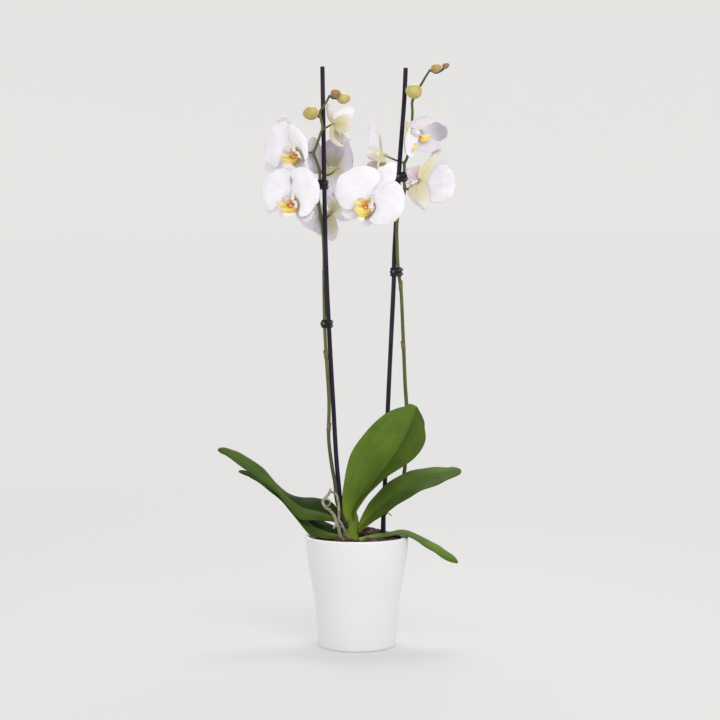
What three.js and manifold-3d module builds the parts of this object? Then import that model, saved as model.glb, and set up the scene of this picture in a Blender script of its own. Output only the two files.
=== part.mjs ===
// Potted orchid: white cover pot with a plain inner pot, bark, five leaves, two flower stems on stakes,
// nine flowers and six buds. Millimetres, +Z up, origin at the centre of the cover pot's flat underside.
import * as THREE from 'three';
import Module from 'manifold-3d';

const wasm = await Module();
wasm.setup();

// ---- driving dimensions -----------------------------------------------------------------------------
const GAP = 0.3;               // clearance kept between neighbouring pieces
const SEG = 36;                // facets round the pots
const POT_WALL = 4.5;
const POT_FLOOR = 6.0;
// outer wall of the cover pot, radius and height, foot to rim
const POT_OUTER = [[46.4, 0], [48.7, 0.8], [49.8, 2.6], [51.2, 19.9], [52.9, 41.6], [55.4, 64.7], [59.2, 86.4],
  [62.9, 108.2], [64.7, 123.6], [65.6, 134.5], [65.7, 137.6], [64.9, 139.1], [63.5, 139.6]];
const POT_INNER = [[62.1, 139.1], [61.3, 137.6], [61.0, 134.0], [60.2, 123.6], [58.4, 108.2], [54.7, 86.4], [50.9, 64.7],
  [48.4, 41.6], [46.7, 19.9], [45.6, 9.0], [43.0, POT_FLOOR]];
const INNER_POT_BOTTOM = { r: 40.0, z: POT_FLOOR + GAP };
const INNER_POT_TOP = { r: 58.4, z: 134.5 };
const INNER_POT_WALL = 1.0;
const INNER_POT_LIP = 1.0;
const DRAIN_HOLE_RADIUS = 4.5;
const BARK_RIM = 133.2;           // bark height at the wall of the inner pot, and heaped up towards the middle
const BARK_TOP = 139.2;
const BARK_MOUND = { c: [12, 33, 132.5], r: [23, 16, 9.5] };   // heap behind the crown
const STAKE_RADIUS = 2.85;
const PETAL_THICKNESS = 1.1;
const SEPAL_THICKNESS = 1.1;
const LEAF_THICKNESS = 2.6;
const CLIP_HALF_WIDTH = 5.0;

// nine flowers: centre, the way each one faces (azimuth and elevation), roll, scale, its five tepals and its stalk
const FLOWERS = [
  {
    "name": "l1",
    "c": [-81.06, -30, 629.6],
    "az": -36,
    "el": -3,
    "roll": 11,
    "k": 0.97,
    "t": {
      "dorsal": {"kind": "sepal", "W": 16, "kap": -0.006, "as": 0, "sk": 0, "th": 90, "L": 39, "r0": 1.0, "fo": -0.7, "a0": 2, "a1": 4},
      "latl": {"kind": "sepal", "W": 13.5, "kap": -0.006, "as": 0, "sk": 0, "th": 212, "L": 32, "r0": 1.0, "fo": -0.7, "a0": 2, "a1": 4},
      "latr": {"kind": "sepal", "W": 13.5, "kap": -0.006, "as": 0, "sk": 0, "th": -60, "L": 31, "r0": 1.0, "fo": -0.7, "a0": 2, "a1": 4},
      "petl": {"kind": "petal", "W": 28.5, "kap": 0.004, "as": -0.12, "sk": -0.1, "th": 168, "L": 40, "r0": 2.4, "fo": 1.9, "a0": 12, "a1": -4},
      "petr": {"kind": "petal", "W": 26, "kap": 0.004, "as": 0.12, "sk": 0.1, "th": -8, "L": 34, "r0": 2.4, "fo": 1.9, "a0": 14, "a1": 2} },
    "ped": [[-57.2, -4, 629.44], [-63.65, -9, 628.42], [-72.21, -17, 629.09], [-77.73, -26, 629.85]] },
  {
    "name": "l2",
    "c": [-82.54, -38, 567.64],
    "az": -18,
    "el": 0,
    "roll": 2,
    "k": 1.0,
    "t": {
      "dorsal": {"kind": "sepal", "W": 14.5, "kap": -0.006, "as": 0, "sk": 0, "th": 90, "L": 39.0, "r0": 1.0, "fo": -0.7, "a0": 2, "a1": 4},
      "latl": {"kind": "sepal", "W": 13.5, "kap": -0.006, "as": 0, "sk": 0, "th": 224, "L": 34, "r0": 1.0, "fo": -0.7, "a0": 2, "a1": 4},
      "latr": {"kind": "sepal", "W": 13.5, "kap": -0.006, "as": 0, "sk": 0, "th": -54, "L": 36, "r0": 1.0, "fo": -0.7, "a0": 2, "a1": 4},
      "petl": {"kind": "petal", "W": 28.0, "kap": 0.004, "as": -0.12, "sk": -0.1, "th": 170, "L": 39.5, "r0": 2.4, "fo": 1.9, "a0": 10, "a1": -8},
      "petr": {"kind": "petal", "W": 29, "kap": 0.004, "as": 0.12, "sk": 0.1, "th": 5, "L": 38.5, "r0": 2.4, "fo": 1.9, "a0": 10, "a1": -8} },
    "ped": [[-50.56, 0, 564.64], [-58.55, -9, 560.93], [-69.46, -22, 563.87], [-79.59, -34.5, 567.18]] },
  {
    "name": "l3a",
    "c": [-25.39, 26, 614.94],
    "az": -142,
    "el": 4,
    "roll": 2,
    "k": 0.98,
    "t": {
      "dorsal": {"kind": "sepal", "W": 14.5, "kap": -0.006, "as": 0, "sk": 0, "th": 90, "L": 39.0, "r0": 1.0, "fo": -0.7, "a0": 2, "a1": 4},
      "latl": {"kind": "sepal", "W": 13.5, "kap": -0.006, "as": 0, "sk": 0, "th": 222, "L": 39.0, "r0": 1.0, "fo": -0.7, "a0": 2, "a1": 4},
      "latr": {"kind": "sepal", "W": 13.5, "kap": -0.006, "as": 0, "sk": 0, "th": -42, "L": 39.0, "r0": 1.0, "fo": -0.7, "a0": 2, "a1": 4},
      "petl": {"kind": "petal", "W": 28.0, "kap": 0.004, "as": -0.12, "sk": -0.1, "th": 172, "L": 41.0, "r0": 2.4, "fo": 1.9, "a0": 26, "a1": 10},
      "petr": {"kind": "petal", "W": 28.0, "kap": 0.004, "as": 0.12, "sk": 0.1, "th": 8, "L": 41.0, "r0": 2.4, "fo": 1.9, "a0": 14, "a1": 0} },
    "ped": [[-45.8, 3.6, 605.59], [-43.74, 8, 604.4], [-38.06, 12.5, 602.7], [-31.08, 18, 606.68], [-26.89, 22.5, 613.14]] },
  {
    "name": "l3b",
    "c": [-31.24, 26, 558.42],
    "az": -146,
    "el": 0,
    "roll": -20,
    "k": 1.0,
    "t": {
      "dorsal": {"kind": "sepal", "W": 14.5, "kap": -0.006, "as": 0, "sk": 0, "th": 90, "L": 39.0, "r0": 1.0, "fo": -0.7, "a0": 2, "a1": 4},
      "latl": {"kind": "sepal", "W": 13.5, "kap": -0.006, "as": 0, "sk": 0, "th": 226, "L": 34, "r0": 1.0, "fo": -0.7, "a0": 2, "a1": 4},
      "latr": {"kind": "sepal", "W": 13.5, "kap": -0.006, "as": 0, "sk": 0, "th": -46, "L": 39, "r0": 1.0, "fo": -0.7, "a0": 2, "a1": 4},
      "petl": {"kind": "petal", "W": 28.0, "kap": 0.004, "as": -0.12, "sk": -0.1, "th": 172, "L": 41.0, "r0": 2.4, "fo": 1.9, "a0": 24, "a1": 8},
      "petr": {"kind": "petal", "W": 28.0, "kap": 0.004, "as": 0.12, "sk": 0.1, "th": 8, "L": 43, "r0": 2.4, "fo": 1.9, "a0": 10, "a1": -8} },
    "ped": [[-44.39, 8.5, 547.49], [-40.03, 14, 547.42], [-34.35, 20, 553.23], [-32.21, 23, 557.44]] },
  {
    "name": "l4",
    "c": [-28.05, -6, 665.23],
    "az": 78,
    "el": 0,
    "roll": 0,
    "k": 0.72,
    "t": {
      "dorsal": {
        "pts": [[-29.05, -5.88, 666.59], [-33.24, -2, 679.99], [-38.96, 2, 691.61]],
        "f0": 60,
        "f1": 50,
        "kind": "sepal",
        "W": 9.5,
        "kap": -0.006,
        "as": 0,
        "sk": 0 },
      "latl": {
        "pts": [[-29.03, -6.62, 664.14], [-31.2, -14, 651.14], [-26.53, -20, 640.65], [-17.01, -22, 636.54]],
        "f0": 45,
        "f1": 35,
        "kind": "sepal",
        "W": 8.5,
        "kap": -0.006,
        "as": 0,
        "sk": 0 },
      "latr": {
        "pts": [[-28.48, -4.89, 664.36], [-24.42, 6, 655.76], [-18.07, 12, 650.32], [-9.06, 14, 648.71]],
        "f0": -45,
        "f1": -55,
        "kind": "sepal",
        "W": 9.5,
        "kap": -0.006,
        "as": 0,
        "sk": 0 },
      "petl": {
        "pts": [[-27.72, -10, 667.33], [-19.81, -21, 670.46], [-5.6, -28, 671.47]],
        "f0": -42,
        "f1": -35,
        "kind": "petal",
        "W": 13.2,
        "kap": 0.004,
        "as": -0.12,
        "sk": -0.1 },
      "petr": {
        "pts": [[-26.79, -5, 667.7], [-17.32, 3, 678.34], [-7.1, 9, 686.5]],
        "f0": 45,
        "f1": 50,
        "kind": "petal",
        "W": 15,
        "kap": 0.004,
        "as": 0.12,
        "sk": 0.1 } },
    "ped": [[-40.95, -5.2, 660.01], [-36.98, -6, 661.91], [-33.14, -6.3, 664.16], [-30.22, -6, 665.1]] },
  {
    "name": "r1",
    "c": [14.44, -44, 563.18],
    "az": -8,
    "el": 0,
    "roll": -35,
    "k": 1.03,
    "t": {
      "dorsal": {"kind": "sepal", "W": 14.5, "kap": -0.006, "as": 0, "sk": 0, "th": 90, "L": 42, "r0": 1.0, "fo": -0.7, "a0": 2, "a1": 4},
      "latl": {"kind": "sepal", "W": 13.5, "kap": -0.006, "as": 0, "sk": 0, "th": 246, "L": 35, "r0": 1.0, "fo": -0.7, "a0": 2, "a1": 4},
      "latr": {"kind": "sepal", "W": 13.5, "kap": -0.006, "as": 0, "sk": 0, "th": -45, "L": 34, "r0": 1.0, "fo": -0.7, "a0": 2, "a1": 4},
      "petl": {"kind": "petal", "W": 28.0, "kap": 0.004, "as": -0.12, "sk": -0.1, "th": 173, "L": 41, "r0": 2.4, "fo": 1.9, "a0": 10, "a1": -8},
      "petr": {"kind": "petal", "W": 28.0, "kap": 0.004, "as": 0.12, "sk": 0.1, "th": 7, "L": 40, "r0": 2.4, "fo": 1.9, "a0": 10, "a1": -8} },
    "ped": [[49.43, 1, 551.82], [39.43, -12, 549.78], [26.49, -29, 556.76], [15.34, -40.8, 562.93]] },
  {
    "name": "r2",
    "c": [33.92, 0, 626.59],
    "az": -80,
    "el": -4,
    "roll": 20,
    "k": 0.98,
    "t": {
      "dorsal": {
        "pts": [[34.32, 0.6, 628.25], [31.2, 6, 645.48], [25.19, 8, 659.95], [20.54, 6, 669.89]],
        "f0": 78,
        "f1": 72,
        "kind": "sepal",
        "W": 13.5,
        "kap": -0.006,
        "as": 0,
        "sk": 0 },
      "latl": {
        "pts": [[35.14, -0.87, 625.2], [35.93, -9, 611.23], [32.42, -13, 600.49], [26.68, -15, 591.33]],
        "f0": -60,
        "f1": -60,
        "kind": "sepal",
        "W": 13,
        "kap": -0.006,
        "as": 0,
        "sk": 0 },
      "latr": {
        "pts": [[35.32, 1.39, 625.23], [38.34, 10, 612.66], [37.41, 15, 600.46], [33.57, 17, 589.1]],
        "f0": 60,
        "f1": 60,
        "kind": "sepal",
        "W": 13,
        "kap": -0.006,
        "as": 0,
        "sk": 0 },
      "petl": {
        "pts": [[31.42, 4, 625.92], [24.48, 14, 628.71], [18.11, 24, 632.17], [14.27, 33, 636.15]],
        "f0": -62,
        "f1": -66,
        "kind": "petal",
        "W": 19,
        "kap": 0.004,
        "as": -0.12,
        "sk": -0.1 },
      "petr": {
        "pts": [[31.3, -3.5, 627.98], [24.15, -14, 635.9], [19.76, -22, 649.81], [18.75, -22, 668.13]],
        "f0": 72,
        "f1": 79,
        "kind": "petal",
        "W": 25,
        "kap": 0.004,
        "as": 0.12,
        "sk": 0.1 } },
    "ped": [[57.74, 13, 619.79], [51.59, 14.5, 621.56], [43.7, 8, 623.69], [37.15, 1.5, 625.8]] },
  {
    "name": "r3",
    "c": [68.82, -8, 645.77],
    "az": 55,
    "el": 12,
    "roll": 18,
    "k": 0.98,
    "t": {
      "dorsal": {
        "pts": [[68.02, -7.44, 647.31], [71.33, -15.5, 661.8], [81.29, -19.5, 667.69], [93.51, -23, 667.95]],
        "f0": -64,
        "f1": -64,
        "kind": "sepal",
        "W": 13,
        "kap": -0.006,
        "as": 0,
        "sk": 0 },
      "latl": {
        "pts": [[67.82, -8.74, 646.57], [64.57, -20, 653.93], [66.21, -27, 658.42], [69.84, -31, 662.13]],
        "f0": 74,
        "f1": 74,
        "kind": "sepal",
        "W": 10,
        "kap": -0.006,
        "as": 0,
        "sk": 0 },
      "latr": {
        "pts": [[69.21, -7.14, 644.37], [81.81, -2.5, 636.19], [94.72, 0, 634.02], [106.24, 0, 636.32]],
        "f0": 40,
        "f1": 45,
        "kind": "sepal",
        "W": 12.2,
        "kap": -0.006,
        "as": 0,
        "sk": 0 },
      "petl": {
        "pts": [[69.3, -12, 641.94], [67.66, -22, 633.38], [71.13, -30, 625.2], [80.34, -35, 617.54]],
        "f0": 68,
        "f1": 62,
        "kind": "petal",
        "W": 20,
        "kap": 0.004,
        "as": -0.12,
        "sk": -0.1 },
      "petr": {
        "pts": [[72.86, -2.5, 648.97], [86.14, 8, 656.61], [102.01, 16, 660.27], [115.83, 20, 659.4]],
        "f0": -62,
        "f1": -66,
        "kind": "petal",
        "W": 21,
        "kap": 0.004,
        "as": 0.12,
        "sk": 0.1 } },
    "ped": [[66.65, 6, 628.79], [67.66, 2, 634.59], [66.67, -4, 640.67], [66.3, -7.2, 644.62]] },
  {
    "name": "r4",
    "c": [82.01, 2, 597.42],
    "az": 125,
    "el": -5,
    "roll": 0,
    "k": 1.0,
    "t": {
      "dorsal": {
        "pts": [[81.44, 0.14, 599.02], [91.93, -4.5, 610.08], [102.23, -3, 616.17], [110.26, 3, 620]],
        "f0": -20,
        "f1": -45,
        "kind": "sepal",
        "W": 11.5,
        "kap": -0.006,
        "as": 0,
        "sk": 0 },
      "latl": {
        "pts": [[80.22, -0.13, 596.36], [73.08, -13, 580.16], [77.39, -16, 565.84], [86.95, -15, 555.42]],
        "f0": -32,
        "f1": -42,
        "kind": "sepal",
        "W": 14,
        "kap": -0.006,
        "as": 0,
        "sk": 0 },
      "latr": {
        "pts": [[79.48, 2.43, 597.11], [73.2, 6, 596.68], [68.06, 6, 592.82], [65.99, 2, 586.53]],
        "f0": 48,
        "f1": 70,
        "kind": "sepal",
        "W": 11,
        "kap": -0.006,
        "as": 0,
        "sk": 0 },
      "petl": {
        "pts": [[85.62, -3, 592.92], [97.79, -14, 587.66], [111, -16, 585.5], [122.05, -12, 585.37]],
        "f0": 8,
        "f1": 12,
        "kind": "petal",
        "W": 27,
        "kap": 0.004,
        "as": -0.12,
        "sk": -0.1 },
      "petr": {
        "pts": [[81.59, 7, 601.95], [84.07, 19, 613.29], [94.88, 28, 626.28], [108.19, 33, 638.76]],
        "f0": -54,
        "f1": -62,
        "kind": "petal",
        "W": 24,
        "kap": 0.004,
        "as": 0.12,
        "sk": 0.1 } },
    "ped": [[64.52, 4, 583.32], [70.48, 2, 583.33], [77.59, 0.5, 588.77], [80.15, 0.5, 595.69]] }];
// flower stems: x, y, z and radius along each
const SPIKE_LEFT = [
  [-10.22, -3, 143.15, 2.7], [-14.01, -7, 153.86, 2.7], [-19.72, -8.5, 166.78, 2.6], [-24.17, -9, 179.57, 2.6],
  [-26.48, -8, 189.65, 2.5], [-28.06, -5.5, 207.26, 2.4], [-32.05, -3.5, 228.8, 2.35], [-35.54, -2, 255.53, 2.3],
  [-36.32, -1.5, 274.68, 2.3], [-35.8, -1.8, 313.05, 2.25], [-39, -1.5, 364.2, 2.2], [-40.97, 0.5, 396.21, 2.15],
  [-41.67, 2.6, 415.48, 2.1], [-41.99, 5.2, 433.53, 2.1], [-42.42, 6.8, 460.57, 2.1], [-42.44, 7.5, 499.18, 2.1],
  [-44.47, 6.6, 533.8, 2.0], [-49.11, 3, 565.5, 2.0], [-48.45, 2.2, 585.92, 1.9], [-47.63, 0.5, 604.26, 1.9],
  [-51.77, -2, 618.62, 1.8], [-55.43, -3.5, 628.62, 1.8], [-51.58, -4, 637.87, 1.7], [-46.33, -4.5, 653.74, 1.65],
  [-43.76, -5.3, 660.25, 1.6], [-46.03, -6, 671.61, 1.55], [-47.17, -6.5, 680.95, 1.5], [-43.07, -7, 686.73, 1.45],
  [-38.48, -7, 694.12, 1.4], [-36.2, -6.4, 698.83, 1.3], [-34.43, -6, 701.71, 1.2]];
const SPIKE_RIGHT = [
  [-6.42, 4, 144.82, 2.7], [6.42, 13, 155.29, 2.6], [23.26, 20, 169.99, 2.6], [36.25, 22, 184.03, 2.6], [49.21, 22, 199.58, 2.5],
  [60.06, 21, 213.93, 2.5], [62.88, 20, 241.2, 2.5], [64.27, 19, 273.62, 2.5], [63.98, 18, 306, 2.45], [62.24, 16.5, 331.9, 2.4],
  [59.97, 14, 383.55, 2.3], [57.39, 10, 441.96, 2.2], [56.06, 8.5, 458.1, 2.2], [54.2, 6.5, 471.22, 2.2], [52.31, 3.2, 488.59, 2.2],
  [51.49, 1.2, 506.37, 2.2], [51.11, 1.6, 537.16, 2.1], [55.13, 3, 560.37, 2.1], [61.07, 4.5, 580.31, 2.0], [60.34, 5.5, 595.33, 2.0],
  [60.88, 6.5, 612.16, 1.9], [61.16, 7, 618.01, 1.9], [64.81, 8.5, 625.31, 1.85], [68.91, 11.5, 647.66, 1.8],
  [70.8, 10.5, 670.68, 1.75], [71.37, 8.5, 684.47, 1.7], [71.03, 6.5, 696.31, 1.65], [76.35, 4.6, 708.78, 1.55],
  [82.31, 3, 717.44, 1.5], [87.49, 1.5, 726.36, 1.4], [92.18, 0.5, 733.45, 1.3], [94.22, 0.2, 735.95, 1.2]];
// support stakes: x, y, z along each
const STAKE_LEFT = [
  [-44.31, 1, 739.83], [-42.78, 1, 645.96], [-40.22, 1, 505.72], [-35.48, 1, 396.22], [-30.74, 1, 312.97], [-26.25, 0.6, 236.16],
  [-19.96, -0.3, 169.68], [-17.9, -1.2, 127.57], [-16.62, -1.5, 70.06], [-15.85, -1.5, 29.14]];
const STAKE_RIGHT = [
  [62.6, 8, 739.67], [60.42, 8, 693.9], [55.27, 8, 625.23], [54.37, 8, 608.52], [48.2, 8, 505.65], [47.43, 8, 472.21],
  [46.28, 8.4, 441.88], [40.17, 11.5, 312.66], [35.95, 13, 205.58], [33.35, 12, 146.39], [31.5, 9, 87.58], [30.3, 6, 27.69]];
// aerial roots: centre line and radius at both ends
const ROOTS = {
  "a": {
    "pts": [
      [-7.67, -1, 133.94], [-14.63, -8, 132.32], [-20.02, -14.5, 137.63], [-23.5, -19, 151.52], [-26.52, -20.5, 160.56],
      [-29.04, -21, 167.83], [-33.58, -21.3, 173.8], [-37.88, -21.5, 176.35], [-41.79, -21.5, 180.9], [-43.18, -21.8, 185.49],
      [-40.64, -22.3, 189.83], [-36.58, -22.8, 193.67], [-34.05, -23, 198.24], [-33.42, -23, 202.54]],
    "r0": 2.75,
    "r1": 2.0 },
  "b": {
    "pts": [
      [-7.67, -2, 139.18], [-13.34, -10, 140.86], [-16.09, -14, 148.36], [-19.74, -16.5, 156.28], [-23.02, -17.5, 161.47],
      [-23.02, -17.8, 167.84], [-23.27, -17.8, 174.17], [-23.78, -17.5, 183.01], [-25.31, -17, 190.82], [-28.35, -17, 195.63]],
    "r0": 2.5,
    "r1": 1.7 },
  "c": {"pts": [[-40.89, -22.3, 189.08], [-37.07, -23.5, 188.95], [-34.04, -23.5, 185.92], [-34.43, -23, 182.08]], "r0": 1.5, "r1": 1.0},
  "d": {"pts": [[-25.76, -20.3, 159.27], [-27.75, -22, 155.05], [-30.01, -23, 150.5]], "r0": 1.9, "r1": 1.3} };
// leaves: rows of far edge, midrib, near edge from base to tip
const LEAVES = {
  "a": {
    "rows": [
      [[-14.05, -3, 150.18], [-9.61, 1, 147.76], [-3.83, -2, 150.69]],
      [[-18.85, -7, 176.8], [-5.14, 3, 168.03], [-0.24, -8, 171.18]],
      [[-17.03, -10, 206.4], [8.33, 2, 189.92], [12.72, -16, 190.46]],
      [[-7.59, -13, 245.42], [24.95, -1, 210.05], [30.32, -26, 210.38]],
      [[10.82, -14, 272.15], [41.51, -4, 233.94], [52.9, -30, 227.1]],
      [[31.79, -13, 293.06], [56.14, -6, 258.97], [73.73, -28, 241.42]],
      [[49.68, -9, 302.32], [67.33, -7, 282.61], [86.33, -20, 261.72]],
      [[63.76, -7, 305.69], [73.7, -7, 296.38], [85.95, -12, 280.31]]],
    "tip": [76.21, -8, 304.06] },
  "b": {
    "rows": [
      [[1.28, -1, 152.49], [0.65, -5, 147.23], [1.29, -9, 142.64]],
      [[8.96, 0, 170.92], [12.5, -9, 159.83], [13.73, -17, 153.81]],
      [[21.79, 3, 189.18], [27.48, -12, 174.17], [32.08, -26, 167.52]],
      [[42.35, 5, 208.62], [49.04, -14, 190.89], [55.54, -34, 185]],
      [[66.81, 7, 221.16], [74.64, -15, 204.95], [78.96, -38, 199.19]],
      [[93.7, 5, 226.46], [102.18, -15, 215.74], [106.11, -34, 209.47]],
      [[116.35, -2, 226.89], [120.58, -15, 220.81], [122.98, -26, 216.69]]],
    "tip": [132.07, -14, 223.78] },
  "c": {
    "rows": [
      [[0.64, -1, 136.5], [1.54, -5, 134.09], [2.57, -9, 133.09]],
      [[17.96, 5, 139.56], [17.87, -6, 137.15], [17.78, -17, 136.95]],
      [[39.82, 7, 142.64], [39.56, -6, 140.21], [39.2, -23, 140.9]],
      [[60.71, 17, 143.7], [60.03, -4, 143.28], [59.35, -25, 142.93]],
      [[82.73, 18, 135.55], [80.46, -4, 133.7], [76.42, -24, 134.47]],
      [[102.49, 13, 126.53], [100.25, -4, 121.82], [95.62, -19, 121.64]],
      [[118.73, 5, 116.71], [116.7, -4.5, 112.19], [111.89, -12, 110.48]]],
    "tip": [128.35, -4, 105.48] },
  "d": {
    "rows": [
      [[-15.48, 11, 156.17], [-16.73, 8, 151.39], [-17.74, 6.5, 147.07]],
      [[-31.1, 19, 179.16], [-30.94, 11, 161.97], [-30.82, 5, 156.25]],
      [[-50.66, 24, 184.86], [-50.23, 10, 168.52], [-52.41, -2, 158.87]],
      [[-71.47, 25, 186.58], [-70.74, 8, 173.89], [-72.6, -8, 161.37]],
      [[-89.38, 20, 191.48], [-88.42, 2, 186.08], [-88.95, -12, 178.24]],
      [[-104.48, 13, 205.33], [-103.43, -4, 201.38], [-104.02, -15, 197.97]],
      [[-122.18, 8, 226.61], [-121.66, -8, 218.96], [-124.17, -17, 214.01]],
      [[-146.18, 3, 243.42], [-147.77, -8, 236.79], [-152.24, -15, 232.49]],
      [[-163.64, -2, 250.93], [-165.33, -7, 246.15], [-167.96, -10, 243.05]]],
    "tip": [-177.18, -7, 250.23] },
  "e": {
    "rows": [
      [[-17.81, 12, 143.17], [-18.82, 10, 138.91], [-19.56, 8, 135.31]],
      [[-32.41, 20, 151.22], [-32.27, 13, 140.46], [-33.34, 3, 134.43]],
      [[-49.46, 27, 158.04], [-50.32, 13, 146.26], [-51.65, -2, 137.14]],
      [[-65.21, 31, 170.08], [-65.88, 15, 156.99], [-65.16, -3, 144.94]],
      [[-84.8, 32, 186.91], [-84.1, 18, 176.03], [-82.66, 2, 167.11]],
      [[-102.87, 29, 199.71], [-102.21, 18, 192.2], [-101.42, 5, 186.8]],
      [[-120.74, 24, 211.85], [-120.17, 16, 205.83], [-120.82, 7, 202.27]],
      [[-138.34, 17, 219.96], [-138.7, 12, 216.76], [-139.66, 8, 214.52]]],
    "tip": [-152.02, 11, 220.96] } };
// buds: centre, half length, half width, direction and stalk
const BUDS = {
  "a": {"c": [-58.94, -9, 678.46], "l": 9.7, "r": 8.8, "ang": 188, "ped": [[-48.56, -6.8, 673.25], [-50.17, -8.4, 675.51], [-52.82, -9, 677.18]]},
  "b": {"c": [-27.49, -8.5, 703.9], "l": 6.2, "r": 5.2, "ang": 10, "ped": [[-30.7, -7.2, 703.64], [-29.03, -8.2, 703.57]]},
  "c": {"c": [-17.26, -2, 698.53], "l": 8.6, "r": 7.2, "ang": -4, "ped": [[-32.93, -4.6, 699.43], [-30.65, -3.6, 698.47], [-24.29, -2, 698.53]]},
  "d": {"c": [72.34, -9.2, 706.18], "l": 10.4, "r": 9.4, "ang": 168, "ped": [[72.1, 4.2, 697.54], [72.94, -0.5, 698.94], [73.48, -6, 702.86]]},
  "e": {"c": [101.29, -1.5, 737.37], "l": 6.5, "r": 5.7, "ang": 12, "ped": [[95.49, 0, 736.29], [98.49, -1.2, 736.54]]},
  "f": {
    "c": [113.72, 1, 740.98],
    "l": 4.6,
    "r": 3.9,
    "ang": 25,
    "ped": [[95.31, 1.6, 734.58], [101.41, 5.2, 732.65], [108.43, 4.5, 735.71], [112.22, 1.5, 739.56]] } };
// clips: the side, height above the base and length
const CLIPS = {
  "left_upper": {"side": "l", "z": 588.71, "h": 11.5},
  "left_lower": {"side": "l", "z": 410.53, "h": 10.2},
  "right_upper": {"side": "r", "z": 599.46, "h": 12.0},
  "right_lower": {"side": "r", "z": 477.35, "h": 11.2} };
// crown that leaves, stems and roots grow from
const CROWN = {"x": -7.17, "y": 1.0, "z0": 112.0, "z1": 150.0, "rx": 7.2, "ry": 6.6};

// ---- small vector helpers ---------------------------------------------------------------------------
const add = (a, b) => [a[0] + b[0], a[1] + b[1], a[2] + b[2]];
const sub = (a, b) => [a[0] - b[0], a[1] - b[1], a[2] - b[2]];
const mul = (a, k) => [a[0] * k, a[1] * k, a[2] * k];
const dot = (a, b) => a[0] * b[0] + a[1] * b[1] + a[2] * b[2];
const cross = (a, b) => [a[1] * b[2] - a[2] * b[1], a[2] * b[0] - a[0] * b[2], a[0] * b[1] - a[1] * b[0]];
const unit = (a) => { const l = Math.hypot(a[0], a[1], a[2]) || 1; return mul(a, 1 / l); };
const lerp = (a, b, f) => a.map((x, i) => x * (1 - f) + b[i] * f);
const rad = (d) => (d * Math.PI) / 180;

// evenly spaced points on a smooth curve through the given ones
function spaced(points, n) {
  const curve = new THREE.CatmullRomCurve3(points.map((p) => new THREE.Vector3(p[0], p[1], p[2])), false, 'catmullrom', 0.5);
  curve.arcLengthDivisions = 400;
  return curve.getSpacedPoints(n).map((p) => [p.x, p.y, p.z]);
}

// ---- solids -----------------------------------------------------------------------------------------
function geometry(verts, tris) {
  const g = new THREE.BufferGeometry();
  g.setAttribute('position', new THREE.BufferAttribute(new Float32Array(verts.flat()), 3));
  g.setIndex(tris.flat());
  return g;
}

function solid(verts, tris) {
  return new wasm.Manifold(new wasm.Mesh({
    numProp: 3, vertProperties: new Float32Array(verts.flat()), triVerts: new Uint32Array(tris.flat()) }));
}

// a three.js shape as a solid: equal corners are merged first
function solidOf(geo) {
  const src = geo.index ? geo.toNonIndexed() : geo;
  const pos = src.attributes.position;
  const seen = new Map();
  const verts = [];
  const id = [];
  for (let i = 0; i < pos.count; i++) {
    const p = [pos.getX(i), pos.getY(i), pos.getZ(i)];
    const key = p.map((v) => Math.round(v * 1e4)).join(',');
    if (!seen.has(key)) { seen.set(key, verts.length); verts.push(p); }
    id.push(seen.get(key));
  }
  const tris = [];
  for (let i = 0; i < id.length; i += 3) {
    const t = [id[i], id[i + 1], id[i + 2]];
    if (t[0] !== t[1] && t[1] !== t[2] && t[0] !== t[2]) tris.push(t);
  }
  return solid(verts, tris);
}

function geometryOf(manifold) {
  const m = manifold.getMesh();
  const n = m.numProp;
  const verts = [];
  for (let i = 0; i < m.vertProperties.length; i += n) verts.push([m.vertProperties[i], m.vertProperties[i + 1], m.vertProperties[i + 2]]);
  const tris = [];
  for (let i = 0; i < m.triVerts.length; i += 3) tris.push([m.triVerts[i], m.triVerts[i + 1], m.triVerts[i + 2]]);
  return geometry(verts, tris);
}

const union = (list) => list.slice(1).reduce((a, b) => a.add(b), list[0]);

// a thin blade from a grid of points: thickest in the middle, closing to an edge all round
function blade(grid, tip, thickness) {
  const nu = grid.length;
  const nv = grid[0].length;
  const verts = [];
  const top = [];
  const bottom = [];
  const at = (i, j) => (i >= nu ? tip : grid[i][j]);
  for (let i = 0; i < nu; i++) {
    top.push([]);
    bottom.push([]);
    for (let j = 0; j < nv; j++) {
      const du = sub(at(Math.min(i + 1, nu), j), at(Math.max(i - 1, 0), j));
      const dv = sub(grid[i][Math.min(j + 1, nv - 1)], grid[i][Math.max(j - 1, 0)]);
      const n = unit(cross(dv, du));
      const v = (2 * j) / (nv - 1) - 1;
      const edge = i === 0 || j === 0 || j === nv - 1;
      if (edge) {
        top[i].push(verts.length);
        bottom[i].push(verts.length);
        verts.push(grid[i][j]);
      } else {
        const h = (thickness / 2) * Math.sqrt(1 - v * v * 0.6);
        top[i].push(verts.length);
        verts.push(add(grid[i][j], mul(n, h)));
        bottom[i].push(verts.length);
        verts.push(add(grid[i][j], mul(n, -h)));
      }
    }
  }
  const end = verts.length;
  verts.push(tip);
  const tris = [];
  for (let i = 0; i < nu; i++) {
    for (let j = 0; j < nv - 1; j++) {
      for (const [s, flip] of [[top, false], [bottom, true]]) {
        const list = i === nu - 1
          ? [[s[i][j], s[i][j + 1], end]]
          : [[s[i][j], s[i][j + 1], s[i + 1][j + 1]], [s[i][j], s[i + 1][j + 1], s[i + 1][j]]];
        for (const t of list) tris.push(flip ? [t[0], t[2], t[1]] : t);
      }
    }
  }
  return solid(verts, tris);
}

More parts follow.
